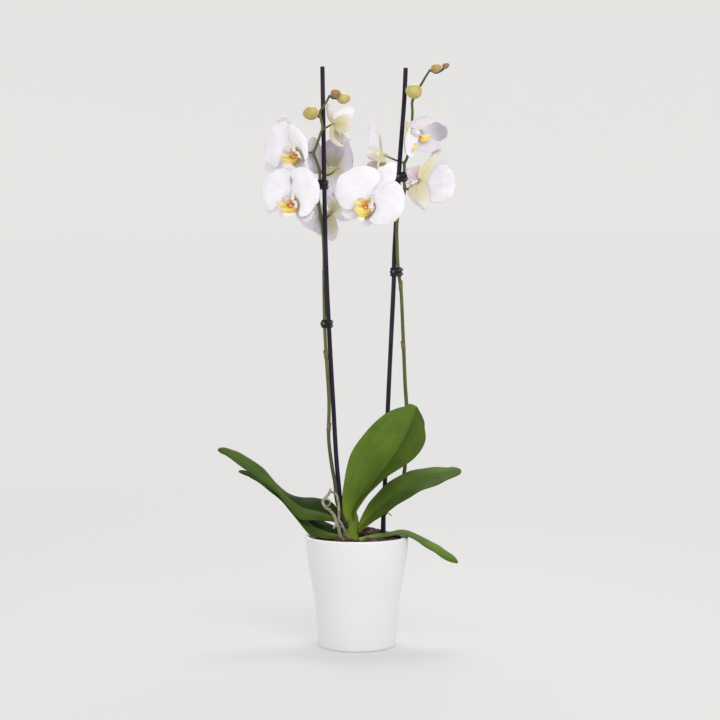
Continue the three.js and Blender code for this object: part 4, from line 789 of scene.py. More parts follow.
        [[17.23, -6, 630.79], [20.42, -6, 630.79], [25.52, -6, 632.06]],
        [[14.79, -9.58, 636.6], [19.75, -9.98, 639.08], [25.49, -8.78, 640.55]],
        [[13.75, -12.7, 646.27], [19.08, -13.5, 648.68], [24.82, -11.1, 649.08]],
        [[13.99, -15.3, 656], [18.8, -16.3, 657.1], [24.16, -13.3, 657.61]],
        [[15.62, -17.38, 663.88], [18.78, -18.38, 664.34], [21.85, -15.38, 664.86]]],
      "tip": [18.52, -20, 668.74],
      "see": "b",
      "fl": [0.25, 0.3],
      "painted_shade": [0, 0.1] },
    "dorsal": {
      "rows": [
        [[29.45, 1, 633.15], [31.38, 1, 633.15], [32.66, 1, 633.15]],
        [[28.67, -0.25, 641.91], [29.99, 2.75, 642.39], [31.21, 6.75, 643.03]],
        [[28.14, -1.5, 648.11], [29.51, 4.5, 649.09], [30.78, 12.5, 650.92]],
        [[25.35, 0.25, 656.08], [26.71, 6.25, 657.08], [27.97, 14.25, 658.43]]],
      "tip": [22.49, 8, 665.74],
      "see": "b",
      "fl": [0.6, 0.8],
      "bl": [0.4, 1.0],
      "painted_shade": [0.4, 0.25] },
    "latl": {
      "rows": [
        [[31.65, -6, 629.51], [33.94, -6, 622.5], [36.37, -6, 616.76]],
        [[26.76, -9.12, 634.76], [27.38, -10.12, 625.06], [29.31, -8.62, 615.74]],
        [[20.37, -11, 633.07], [20.35, -13, 626.53], [21.66, -10, 618.08]],
        [[15.28, -12.12, 631.12], [15.27, -14.12, 627], [16.05, -11.12, 621.73]]],
      "tip": [11.97, -14, 627.65],
      "see": "b",
      "fl": [1.0, 1.15],
      "bl": [0.35, 1.0],
      "painted_shade": [0.15, 0.0] },
    "latr": {
      "rows": [
        [[33.26, -1, 620.05], [35.82, -1, 616.21], [38.38, -1, 611.09]],
        [[26.9, 1.33, 619.75], [28.18, 1.33, 613.99], [30.72, 0, 608.67]],
        [[20.51, 3.67, 620.09], [21.16, 3.67, 614.32], [23.06, 1.67, 608.91]]],
      "tip": [12.83, 6, 614.02],
      "see": "b",
      "fl": [1.0, 1.3],
      "bl": [0.5, 1.0],
      "painted_shade": [0.45, 0.25] },
    "petl": {
      "rows": [
        [[30.78, 4, 629.76], [32.06, 4, 625.92], [33.35, 4, 622.07]],
        [[23.18, 12.67, 633.67], [24.47, 12.67, 627.22], [25.76, 12.67, 620.77]],
        [[16.15, 21.33, 634.36], [16.8, 21.33, 629.17], [18.09, 21.33, 623.34]]],
      "tip": [12.69, 30, 631.13],
      "see": "b",
      "fl": [0.3, 0.5],
      "bl": [0.2, 0.8] } },
  "r3": {
    "dorsal": {
      "rows": [
        [[63.72, -8, 662.97], [66.27, -8, 661.06], [68.82, -8, 658.51]],
        [[68.7, -11.22, 667.5], [71.92, -10.02, 663.26], [75.01, -12.42, 658.39]],
        [[76.17, -14.9, 671.93], [78.81, -12.5, 666.64], [81.14, -17.3, 658.83]],
        [[84.88, -18.7, 674.16], [86.92, -15.7, 667.98], [88.53, -21.7, 659.97]],
        [[91.64, -22.62, 673.96], [92.42, -19.62, 669.18], [92.75, -25.62, 661.81]]],
      "tip": [95.1, -24, 667.77],
      "see": "f",
      "fl": [0.7, 0.5],
      "bl": [0.32, 1.0] },
    "petr": {
      "rows": [
        [[79.23, -3, 658.72], [81.78, -3, 654.25], [85.62, -3, 649.14]],
        [[87.09, 1.18, 662.64], [90.98, 1.98, 656.37], [94.82, 1.98, 646.11]],
        [[95.62, 4.9, 669.05], [98.91, 6.5, 659.7], [102.12, 6.5, 644.92]],
        [[104.16, 8.3, 669.9], [106.85, 10.3, 660.34], [108.78, 10.3, 646.82]],
        [[111.42, 11.38, 666.32], [112.19, 13.38, 659.57], [112.83, 13.38, 649.9]]],
      "tip": [116.87, 16, 660.02],
      "see": "f",
      "fl": [0.1, 0.3],
      "painted_shade": [0.1, 0.88] },
    "petl": {
      "rows": [
        [[66.76, -12, 659.1], [72.48, -12, 654.01], [80.11, -12, 651.47]],
        [[61.94, -15.38, 648.37], [69.25, -13.38, 644.89], [77.55, -12.38, 642.51]],
        [[61.03, -20, 638.12], [67.63, -16, 636.86], [75.57, -14, 634.63]],
        [[61.89, -24.38, 628.59], [67.09, -20.38, 628.57], [73.49, -18.38, 628.25]]],
      "tip": [67.26, -26, 620.14],
      "see": "f",
      "fl": [0.15, 0.4],
      "bl": [0.08, 1.0] },
    "latr": {
      "rows": [
        [[77.78, -7, 647.21], [76.5, -7, 640.83], [72.68, -7, 632.55]],
        [[86.74, -6.16, 648.62], [86.06, -7.16, 638.26], [84.1, -8.16, 629.44]],
        [[95.76, -4.5, 646.34], [95.65, -6.5, 637.09], [94.91, -8.5, 628.87]],
        [[102.89, -2.66, 643.44], [103.41, -4.66, 637.38], [103.29, -6.66, 632.6]]],
      "tip": [108.04, -2, 637.16],
      "see": "f",
      "fl": [0.1, 0.4],
      "painted_shade": [0.25, 0.36] },
    "latl": {
      "rows": [
        [[61.56, -4, 668.13], [63.86, -4, 668.13], [66.41, -4, 666.85]],
        [[60.74, -5.6, 660.19], [63.04, -5.6, 660.19], [67.63, -5.6, 658.92]],
        [[60.18, -7.2, 649.72], [62.47, -7.2, 649.72], [70.12, -7.2, 648.45]],
        [[59.87, -8.8, 640.54], [62.04, -8.8, 640.54], [68.79, -8.8, 641.82]],
        [[60.08, -10.4, 633.93], [61.86, -10.4, 633.93], [63.64, -10.4, 633.93]]],
      "tip": [62.06, -12, 627.32],
      "see": "b",
      "fl": [1.0, 1.0],
      "painted_shade": [0.05, 0.0] } },
  "r4": {
    "dorsal": {
      "rows": [
        [[77.18, -6, 596.35], [81.65, -6, 592.52], [88.03, -6, 588.7]],
        [[79.15, -4.78, 608], [86.13, -5.58, 604.06], [93.21, -4.38, 599.12]],
        [[85.61, -3.1, 615.9], [91.28, -4.7, 611.84], [97.15, -2.3, 607.71]],
        [[92.74, -1.1, 623.87], [96.47, -3.1, 619.74], [101.11, -0.1, 616.98]],
        [[97.09, 1.22, 631.26], [100.43, -0.78, 627.76], [103.81, 2.22, 625.65]]],
      "tip": [108.28, 2, 635.87],
      "see": "b",
      "fl": [0.9, 1.3],
      "bl": [0.42, 1.0],
      "painted_shade": [0.1, 0.0] },
    "petl": {
      "rows": [
        [[89.45, -3, 596.75], [88.17, -3, 589.09], [90.73, -3, 578.86]],
        [[95.69, -5.76, 604.04], [96.92, -6.56, 588.62], [93.14, -5.76, 567.04]],
        [[103.23, -7.85, 610.12], [105.68, -9.45, 588.25], [101.95, -7.85, 564.25]],
        [[112.06, -9.25, 612.46], [113.2, -11.25, 588.01], [110.78, -9.25, 565.99]],
        [[119.65, -9.96, 605.36], [119.51, -11.96, 587.92], [118.38, -9.96, 571]]],
      "tip": [124.85, -12, 587.92],
      "see": "b",
      "fl": [0.35, 0.4] },
    "petr": {
      "rows": [
        [[89.94, 7, 603.24], [93.8, 7, 598.09], [97.65, 7, 592.95]],
        [[97.96, 12.75, 613.05], [101.83, 12.75, 607.89], [105.7, 12.75, 601.45]],
        [[103.45, 18.5, 621.63], [107.33, 18.5, 616.46], [111.86, 18.5, 611.28]],
        [[107.67, 24.25, 625.98], [111.56, 24.25, 622.47], [115.46, 24.25, 618.58]]],
      "tip": [116.6, 30, 624.88],
      "see": "b",
      "fl": [0.2, 0.4],
      "painted_shade": [0.15, 0.25] },
    "latl": {
      "rows": [
        [[70.13, -7, 586.02], [76.5, -7, 588.57], [84.15, -7, 593.67]],
        [[64.32, -9.15, 578.1], [77, -10.35, 579.22], [90.42, -9.15, 584.47]],
        [[68.09, -10.4, 570.31], [79.44, -12.8, 569.39], [92.9, -10.4, 573.49]],
        [[73.8, -10.8, 562.63], [82.57, -13.8, 562.29], [93.52, -10.8, 564.54]],
        [[80.18, -10.35, 558.23], [85.13, -13.35, 557.89], [90.36, -10.35, 559.5]]],
      "tip": [86.21, -12, 555.63],
      "see": "b",
      "fl": [0.9, 1.1],
      "bl": [0.3, 1.0],
      "painted_shade": [0.22, 0.05] },
    "latr": {
      "rows": [
        [[80.73, 2, 613.44], [80.73, 2, 605.11], [80.73, 2, 597.42]],
        [[72.94, -0.4, 612.46], [72.92, -1.07, 605.33], [72.94, -0.4, 597.1]],
        [[67.79, -1.4, 610.4], [67.75, -2.4, 604.5], [67.79, -1.4, 597.61]]],
      "tip": [62.4, -2, 605.84],
      "see": "b",
      "fl": [0.35, 0.8],
      "bl": [0.5, 1.0],
      "painted_shade": [0.2, 0.15] } } }
# lips that face the viewer, part by part
LIPS = {
  "l1": {
    "heart": {"c": [-78.82, -37.39, 620.06], "r": [6.6, 4.57]},
    "hood": {"c": [-87.18, -30.94, 627.45], "r": [5.84, 4.95]},
    "barA": {
      "rows": [
        [[-80.17, -35.26, 624.65], [-80.77, -36, 621.4], [-81.48, -34.34, 618.89]],
        [[-85.32, -32.8, 622.89], [-85.52, -33.81, 620.73], [-85.84, -32.42, 618.8]],
        [[-90.48, -30.33, 622.01], [-90.41, -31.53, 620.19], [-90.48, -30.33, 618.49]],
        [[-94.34, -28.79, 622.24], [-94.27, -29.99, 620.42], [-93.95, -29.06, 618.67]]],
      "tip": [-97.09, -29.19, 621.55] },
    "barB": {
      "rows": [
        [[-74.34, -39.45, 616.25], [-74.93, -40.18, 613.64], [-76.28, -38.05, 611.07]],
        [[-80.75, -36.3, 615.34], [-80.95, -37.31, 613.19], [-81.4, -35.84, 610.77]],
        [[-86.53, -33.62, 616.24], [-86.47, -34.82, 614.3], [-86.53, -33.62, 612.35]],
        [[-91.02, -31.86, 617.25], [-91.09, -32.97, 615.83], [-91.28, -31.67, 614.52]]],
      "tip": [-95.45, -31.31, 617.33] },
    "white": {
      "rows": [
        [[-91.87, -27.9, 614.19], [-86.57, -32.82, 611.59], [-80.13, -36.26, 610.46]],
        [[-94.44, -27.04, 611.17], [-87.83, -32.89, 607.81], [-81.38, -36.34, 607.31]]],
      "tip": [-89.08, -32.96, 604.66] },
    "column": {"pts": [[-81.41, -30.72, 634.27], [-79.72, -34.34, 629.81], [-78.3, -37.77, 624.64]], "r": 2.29},
    "edge": {
      "pts": [[-76.97, -36.79, 631.93], [-73.3, -40.39, 627.49], [-70.02, -43.72, 621.85], [-67.41, -46.58, 615.81], [-65.44, -48.97, 611.1]],
      "r": [0.51, 1.4, 1.91, 1.91, 0.76] } },
  "l2": {
    "heart": {"c": [-82.49, -43.92, 558.07], "r": [6.86, 4.57]},
    "hood": {"c": [-88.36, -41.5, 564.97], "r": [5.59, 5.08]},
    "barA": {
      "rows": [
        [[-83.57, -42.38, 562.12], [-83.51, -43.58, 558.86], [-83.57, -42.38, 555.5]],
        [[-88.57, -42.22, 561.14], [-88.51, -43.42, 558.25], [-88.57, -42.22, 555.27]],
        [[-93.58, -42.06, 560.78], [-93.51, -43.26, 557.9], [-92.94, -42.26, 554.89]],
        [[-97.31, -42.31, 561.13], [-97.24, -43.51, 558.62], [-96.29, -42.64, 556.1]]],
      "tip": [-100.2, -44.01, 561.8] },
    "barB": {
      "rows": [
        [[-74.95, -45.21, 554.18], [-74.64, -46.5, 551.55], [-74.95, -45.21, 548.95]],
        [[-82.22, -44.3, 553.41], [-82.16, -45.5, 550.79], [-82.22, -44.3, 547.8]],
        [[-88.49, -43.72, 553.48], [-88.43, -44.92, 551.22], [-88.49, -43.72, 548.86]],
        [[-92.22, -43.97, 553.58], [-92.15, -45.17, 551.94], [-91.97, -44.06, 550.07]]],
      "tip": [-95.11, -45.67, 553.14] },
    "white": {
      "rows": [
        [[-92.36, -41.47, 549.73], [-85.31, -44.96, 548.1], [-78.4, -46.05, 548.61]],
        [[-94.21, -41.85, 547.19], [-85.89, -45.75, 544.9], [-77.71, -47.26, 545.99]]],
      "tip": [-86.47, -46.54, 541.7] },
    "column": {"pts": [[-80.97, -39.5, 574.96], [-80.31, -42.67, 569.58], [-80.41, -45.58, 562.99]], "r": 2.54},
    "edge": {
      "pts": [
        [-77.26, -43.66, 567.83], [-74.46, -44.98, 563.69], [-72.92, -45.88, 558.6], [-72.9, -46.28, 553.57], [-73.9, -46.34, 549.2],
        [-74.64, -46.5, 546.07]],
      "r": [0.51, 1.52, 2.03, 1.78, 1.14, 0.51] } },
  "r1": {
    "heart": {"c": [10.43, -49.42, 555.7], "r": [5.59, 7.62]},
    "hood": {"c": [5.71, -48.24, 561.31], "r": [7.11, 5.08]},
    "barA": {
      "rows": [
        [[12.55, -48.53, 563.89], [11.92, -49.64, 559.41], [11.31, -48.35, 555.2]],
        [[6.33, -48.88, 563.23], [6.33, -50.08, 558.98], [6.33, -48.88, 554.77]],
        [[1.35, -49.41, 562.54], [1.35, -50.61, 558.92], [1.35, -49.41, 555.45]],
        [[-1.38, -50.27, 561.82], [-1.62, -51.43, 558.83], [-1.26, -50.28, 556.1]]],
      "tip": [-3.73, -52.37, 559.09] },
    "barB": {
      "rows": [
        [[16.9, -49.16, 552], [16.64, -50.32, 548.14], [15.41, -48.94, 543.32]],
        [[11.3, -49.85, 552.54], [10.67, -50.96, 547.45], [9.44, -49.58, 541.01]],
        [[5.08, -50.45, 553.35], [4.46, -51.56, 548.63], [3.59, -50.23, 542.81]],
        [[0.11, -51.23, 553.88], [-0.13, -52.4, 549.78], [-0.14, -51.2, 545.81]]],
      "tip": [-3.23, -53.45, 550.9] },
    "white": {
      "rows": [[[1.97, -48, 545.28], [6.33, -49.83, 542.6], [11.3, -49.35, 542.03]], [[0.73, -48.82, 542.09], [5.7, -50.74, 539.4], [10.68, -50.26, 539.45]]],
      "tip": [5.08, -51.65, 536.2] },
    "column": {"pts": [[18.55, -45.59, 567.98], [19.03, -47.67, 562.75], [18.26, -49.56, 556.93], [17.5, -51.45, 551.74]], "r": 2.29},
    "edge": {
      "pts": [[21.49, -50.03, 560.23], [22.73, -50.81, 554.92], [20.98, -51.15, 549.29], [16.88, -51.16, 544.32], [12.54, -51.13, 540.6], [9.43, -51.28, 538.97]],
      "r": [0.51, 1.27, 1.65, 2.03, 1.78, 0.64] } },
  "r3": {
    "heart": {"c": [80.91, -11, 646.81], "r": [3.05, 3.56]},
    "barA": {
      "rows": [
        [[79.48, -11.8, 649.6], [80.06, -13, 646.22], [80.12, -11.8, 642.61]],
        [[85.15, -12.8, 649.43], [85.1, -14, 645.68], [85.15, -12.8, 640.79]],
        [[89.55, -13.8, 649.52], [89.49, -15, 646.53], [89.55, -13.8, 643.17]]],
      "tip": [93.88, -16, 648.27] },
    "barB": {
      "rows": [[[77.48, -22.8, 640.2], [75.28, -24, 638.11], [72.81, -22.8, 638.81]], [[75.76, -24.8, 634.2], [73.56, -26, 634.01], [71.34, -24.8, 634.83]]],
      "tip": [71.84, -28, 629.16] },
    "column": {"pts": [[69.3, -12, 655.29], [74.35, -13, 653.85], [79.38, -14, 650.5]], "r": 3.68},
    "edge": {"pts": [[78.11, -14, 656.22], [81.29, -14, 655.2], [83.32, -14, 652.41], [83.83, -14, 649.87]], "r": [0.51, 0.76, 0.76, 0.51]} },
  "r4": {
    "heart": {"c": [72.2, -3, 591.64], "r": [3.81, 3.81]},
    "barA": {
      "rows": [
        [[79.24, -2.8, 598.06], [77.91, -4, 594.06], [76.68, -2.8, 590.39]],
        [[72.82, -3.47, 598.61], [72.13, -4.67, 594.61], [71.54, -3.47, 590.94]],
        [[67.05, -4.13, 595.96], [67, -5.33, 592.61], [67.69, -4.13, 589.58]]],
      "tip": [62.9, -6, 590.61] },
    "barB": {
      "rows": [
        [[78.6, -2.8, 591.67], [76.63, -4, 588.32], [74.76, -2.8, 584.64]],
        [[72.82, -3.47, 590.3], [71.5, -4.67, 586.95], [70.9, -3.47, 583.92]],
        [[67.69, -4.13, 588.94], [67, -5.33, 586.23], [67.05, -4.13, 584.09]]],
      "tip": [63.79, -6, 586.14] },
    "column": {"pts": [[77.86, -5, 592.65], [73.36, -6, 590.61], [68.86, -7, 588.57]], "r": 1.91},
    "edge": {
      "pts": [[79.18, -4, 599.17], [79.93, -4.5, 594], [77.86, -5, 588.83], [72.74, -5.5, 583.66], [65.7, -6, 582.06]],
      "r": [1.02, 1.91, 2.16, 1.91, 0.76] } } }
# leaf sheath at the front of the crown
SHEATH = {
  "rows": [
    [[-19.78, -4, 126.67], [-10.16, -10, 126.23], [1.92, -4, 126.67]],
    [[-18.76, -4, 138.17], [-9.52, -10, 138.95], [1.92, -4, 138.17]],
    [[-17.89, -2, 149.41], [-8.9, -8, 150.16], [1.92, -2, 149.41]],
    [[-17.56, 2, 161.73], [-8.31, -1, 162.08], [1.92, 2, 160.45]],
    [[-17.61, 6, 174.11], [-10.27, 4, 174.33], [-1.3, 6, 171.54]]],
  "tip": [-15.45, 8, 188.04] }


# ---- small vector helpers ---------------------------------------------------------------------------
def A(*v):
    return np.array(v if len(v) > 1 else v[0], float)


def unit(a):
    a = np.asarray(a, float)
    n = np.linalg.norm(a, axis=-1, keepdims=True)
    return a / np.where(n < 1e-9, 1, n)


def lerp(a, b, f):
    return a * (1 - f) + b * f


def smooth(a, b, x):
    t = np.clip((np.asarray(x, float) - a) / (b - a), 0, 1)
    return t * t * (3 - 2 * t)


def spline(points, n, even=True):
    # Catmull-Rom through the points: n + 1 samples, evenly spaced along its length
    P = np.asarray(points, float)
    Q = np.vstack([2 * P[0] - P[1], P, 2 * P[-1] - P[-2]])
    t = np.linspace(0, 1, 25)[:-1][:, None]
    dense = []
    for i in range(len(P) - 1):
        a, b, c, d = Q[i:i + 4]
        dense.append(0.5 * (2 * b + (c - a) * t + (2 * a - 5 * b + 4 * c - d) * t ** 2 + (3 * b - a - 3 * c + d) * t ** 3))
    dense = np.vstack(dense + [P[-1:]])
    if not even:
        x = np.linspace(0, len(dense) - 1, n + 1)
    else:
        s = np.concatenate([[0], np.cumsum(np.linalg.norm(np.diff(dense[:, :3], axis=0), axis=1))])
        x = np.interp(np.linspace(0, s[-1], n + 1), s, np.arange(len(dense)))
    return np.stack([np.interp(x, np.arange(len(dense)), dense[:, k]) for k in range(P.shape[1])], 1)


def at_param(points, x):
    # the same curve at given numbers along the list of points
    P = np.asarray(points, float)
    Q = np.vstack([2 * P[0] - P[1], P, 2 * P[-1] - P[-2]])
    out = []
    for v in x:
        i = int(min(len(P) - 2, math.floor(v)))
        t = v - i
        a, b, c, d = Q[i:i + 4]
        out.append(0.5 * (2 * b + (c - a) * t + (2 * a - 5 * b + 4 * c - d) * t ** 2 + (3 * b - a - 3 * c + d) * t ** 3))
    return np.array(out)


def patch(ctrl, nu, nv):
    # a smooth grid through a small grid of control points
    C = np.asarray(ctrl, float)
    rows = np.stack([spline(C[:, j], nu, False) for j in range(C.shape[1])], 1)
    return np.stack([spline(r, nv, False) for r in rows], 0)


def row_grid(rows, tip, nu, nv, nc=9):
    # a smooth surface through rows of (edge, middle, edge), rounded off to the tip
    rows, tip = A(rows), A(tip)
    x = np.linspace(0, len(rows) - 1, nu)
    a, m, b = (at_param(rows[:, k], x) for k in range(3))
    s0 = np.sin(math.pi / 2 * np.arange(1, nc) / nc)[:, None]
    q, k = lerp(m[-1], tip, s0), np.sqrt(1 - s0 * s0)
    a = np.vstack([a, q + (a[-1] - m[-1]) * k])
    b = np.vstack([b, q + (b[-1] - m[-1]) * k])
    m = np.vstack([m, q])
    v = np.sin(np.linspace(-1, 1, nv) * math.pi / 2 * 0.8) / math.sin(math.pi / 2 * 0.8)
    w = v[None, :, None]
    P = m[:, None] + (b - a)[:, None] / 2 * w + ((a + b) / 2 - m)[:, None] * w * w
    end = float(np.linalg.norm(tip - rows[-1][1]))
    run = float(np.linalg.norm(np.diff(rows[:, 1], axis=0), axis=1).sum())
    u = np.concatenate([np.linspace(0, 1, nu) * run, run + end * s0[:, 0]]) / (run + end)
    return P, u, v


def wob(p, scale, seed):
    # smooth noise from -1 to 1 at each point
    q = np.asarray(p, float).reshape(-1, 3) * scale + seed * 17.31
    r = np.array([noise.noise(Vector(v)) for v in q])
    return r.reshape(np.shape(p)[:-1])


# ---- meshes -----------------------------------------------------------------------------------------
class Piece:
    def __init__(self):
        self.v, self.n, self.f, self.uv, self.m, self.tint = [], 0, [], [], [], []

    def verts(self, P, tint=0.0):
        # tint is one number, one per point, or three per point (tint and painted shade, flush, blush)
        P = np.asarray(P, float).reshape(-1, 3)
        self.v.append(P)
        t = np.zeros((len(P), 3))
        q = np.asarray(tint, float)
        if q.ndim >= 2 and q.shape[-1] == 3 and q.size == 3 * len(P):
            t[:] = q.reshape(-1, 3)
        else:
            t[:, 0] = q.reshape(-1) if q.ndim else q
        self.tint.append(t)
        base = self.n
        self.n += len(P)
        return base

    def face(self, idx, uv, mat):
        self.f.append(tuple(int(i) for i in idx))
        self.uv.extend((float(a), float(b)) for a, b in uv)
        self.m.append(mat)

    def sheet(self, idx, U, V, mat, flip=False, wrap=False):
        # quads over a grid of vertex numbers, with its u and v for the pattern
        nu, nv = idx.shape
        cols = nv if wrap else nv - 1
        for i in range(nu - 1):
            for j in range(cols):
                k = (j + 1) % nv
                q = [idx[i, j], idx[i, k], idx[i + 1, k], idx[i + 1, j]]
                v1 = V[i, k] if k else 1.0
                w = [(U[i, j], V[i, j]), (U[i, k], v1), (U[i + 1, k], v1 if not k else V[i + 1, k]), (U[i + 1, j], V[i + 1, j])]
                if flip:
                    q, w = q[::-1], w[::-1]
                self.face(q, w, mat)

    def blade(self, P, tip, thick, mats, u=None, v=None, tint=0.0, rim=0.0, soft=0.6):
        """A thin closed blade over the middle surface P, rows from base to tip. mats are (front, back); thick is a number or a grid."""
        nu, nv, _ = P.shape
        ext = np.concatenate([P, np.broadcast_to(tip, (1, nv, 3))], 0)
        du = np.gradient(ext, axis=0)[:nu]
        dv = np.gradient(P, axis=1)
        n = unit(np.cross(du, dv))
        vv = np.linspace(-1, 1, nv) if v is None else v
        uu = np.linspace(0, 1, nu + 1) if u is None else u
        h = np.broadcast_to(np.asarray(thick, float), (nu, nv)) / 2 * np.sqrt(np.clip(1 - np.abs(vv) ** 2 * soft, 0, 1))[None, :]
        h = h * np.clip(np.sqrt(np.linspace(0.25, 1, nu) * 1.6), 0, 1)[:, None]
        h = h + rim
        top = np.arange(nu * nv).reshape(nu, nv) + self.n
        front = P + n * h[..., None]
        edge = np.zeros((nu, nv), bool)
        edge[0] = edge[:, 0] = edge[:, -1] = True
        front[edge] = P[edge]
        tg = np.asarray(tint, float) if np.ndim(tint) >= 2 else np.full((nu, nv), float(tint))
        self.verts(front, tg)
        bot = top.copy()
        inner = ~edge
        bot[inner] = np.arange(inner.sum()) + self.n
        self.verts((P - n * h[..., None])[inner], tg[inner])
        t = self.verts([tip], tg[-1].mean(0)[None] if tg.ndim == 3 else float(tg[-1].mean()))
        U = np.repeat(uu[:nu, None], nv, 1)
        V = np.repeat((0.5 + 0.5 * vv)[None, :], nu, 0)
        self.sheet(top, U, V, mats[0], flip=True)
        self.sheet(bot, U, V, mats[1], flip=False)
        for j in range(nv - 1):
            vm = 0.5 * (V[-1, j] + V[-1, j + 1])
            w = [(uu[nu - 1], V[-1, j]), (uu[nu - 1], V[-1, j + 1]), (1.0, vm)]
            self.face([top[-1, j + 1], top[-1, j], t], [w[1], w[0], w[2]], mats[0])
            self.face([bot[-1, j], bot[-1, j + 1], t], w, mats[1])

    def tube(self, pts, radii, sides, mat, tint=0.0, ref=(0, 1, 0), squash=None, u0=0.0, u1=1.0, caps=(True, True), cap_mat=None):
        P = np.asarray(pts, float)
        n = len(P)
        R = np.broadcast_to(np.asarray(radii, float), (n,)) if np.ndim(radii) < 2 else np.asarray(radii, float)
        T = unit(np.gradient(P, axis=0))
        a = A(ref)
        rings = []
        w = 2 * np.pi * np.arange(sides) / sides
        for i in range(n):
            a = unit(a - T[i] * np.dot(a, T[i]))
            b = np.cross(T[i], a)
            r = R[i] if R.ndim == 1 else R[i][:, None]
            s = 1.0 if squash is None else squash[i] if np.ndim(squash) else squash
            rings.append(P[i] + (a * np.cos(w)[:, None] * s + b * np.sin(w)[:, None]) * r)
        rings = np.array(rings)
        base = self.verts(rings, np.repeat(np.broadcast_to(tint, (n,)), sides) if np.ndim(tint) else tint)
        idx = np.arange(n * sides).reshape(n, sides) + base
        U = np.repeat(np.linspace(u0, u1, n)[:, None], sides, 1)
        V = np.repeat((np.arange(sides) / sides)[None], n, 0)
        self.sheet(idx, U, V, mat, wrap=True)
        for end, ring, on in ((0, idx[0], caps[0]), (n - 1, idx[-1], caps[1])):
            if not on:
                continue
            tt = tint[end] if np.ndim(tint) else tint
            c = self.verts([rings[end].mean(0)], tt)
            for k in range(sides):
                k2 = (k + 1) % sides
                q = [ring[k2], ring[k], c] if end == 0 else [ring[k], ring[k2], c]
                self.face(q, [(U[end, 0], k / sides)] * 3, mat if cap_mat is None else cap_mat)
        return rings

    def ball(self, c, r, mat, basis=None, nu=12, nv=20, tint=0.0, shape=None):
        # an egg with its poles along the first axis of its basis
        B = np.eye(3) if basis is None else np.asarray(basis, float)
        r = A(r)
        th = np.pi * np.arange(1, nu) / nu
        ph = 2 * np.pi * np.arange(nv) / nv
        loc = np.stack([np.repeat(-np.cos(th)[:, None], nv, 1), np.sin(th)[:, None] * np.cos(ph), np.sin(th)[:, None] * np.sin(ph)], -1)
        ends = A([[-1, 0, 0], [1, 0, 0]])
        if shape is not None:
            loc, ends = shape(loc), shape(ends)
        put = lambda q: A(c) + (q * r) @ B
        base = self.verts(put(loc), tint)
        idx = np.arange((nu - 1) * nv).reshape(nu - 1, nv) + base
        U = np.repeat((th / np.pi)[:, None], nv, 1)
        V = np.repeat((ph / (2 * np.pi))[None], nu - 1, 0)
        self.sheet(idx, U, V, mat, flip=True, wrap=True)
        p = self.verts(put(ends), tint)
        for k in range(nv):
            k2 = (k + 1) % nv
            self.face([idx[0, k], idx[0, k2], p], [(U[0, k], k / nv), (U[0, k], (k + 1) / nv), (0, (k + .5) / nv)], mat)
            self.face([idx[-1, k2], idx[-1, k], p + 1], [(U[-1, k], (k + 1) / nv), (U[-1, k], k / nv), (1, (k + .5) / nv)], mat)

    def lathe(self, profile, seg, mat, bump=None):
        # a closed turned solid: the profile starts and ends on the axis
        prof = np.asarray(profile, float)
        inner = prof[1:-1]
        w = 2 * np.pi * np.arange(seg) / seg
        P = np.stack([inner[:, :1] * np.cos(w), inner[:, :1] * np.sin(w), np.repeat(inner[:, 1:], seg, 1)], -1)
        if bump is not None:
            P = bump(P)
        base = self.verts(P)
        idx = np.arange(len(inner) * seg).reshape(-1, seg) + base
        U = np.repeat(np.linspace(0, 1, len(inner))[:, None], seg, 1)
        V = np.repeat((np.arange(seg) / seg)[None], len(inner), 0)
        self.sheet(idx, U, V, mat, wrap=True)
        for k, ring in ((0, idx[0]), (-1, idx[-1])):
            c = self.verts([(0, 0, prof[k][1])])
            for j in range(seg):
                j2 = (j + 1) % seg
                q = [ring[j2], ring[j], c] if k == 0 else [ring[j], ring[j2], c]
                self.face(q, [(0.0 if k == 0 else 1.0, j / seg)] * 3, mat)

    def make(self, name, materials, node, flat=False):
        mesh = bpy.data.meshes.new(name)
        co = np.vstack(self.v) * MM
        mesh.from_pydata(co.tolist(), [], self.f)
        mesh.polygons.foreach_set("material_index", self.m)
        mesh.polygons.foreach_set("use_smooth", [not flat] * len(self.f))
        layer = mesh.uv_layers.new(name="Pattern")
        layer.uv.foreach_set("vector", np.asarray(self.uv, np.float32).ravel())
        tone = np.concatenate(self.tint).astype(np.float32)
        for k, attr in enumerate(("tint", "flush", "blush")):
            if k == 0 or tone[:, k].any():
                at = mesh.attributes.new(attr, "FLOAT", "POINT")
                at.data.foreach_set("value", np.ascontiguousarray(tone[:, k]))
        for m in materials:
            mesh.materials.append(m)
        mesh.update()
        ob = bpy.data.objects.new(name, mesh)
        bpy.context.scene.collection.objects.link(ob)
        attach(ob, "root")
        if node:
            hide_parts(node)
        return ob


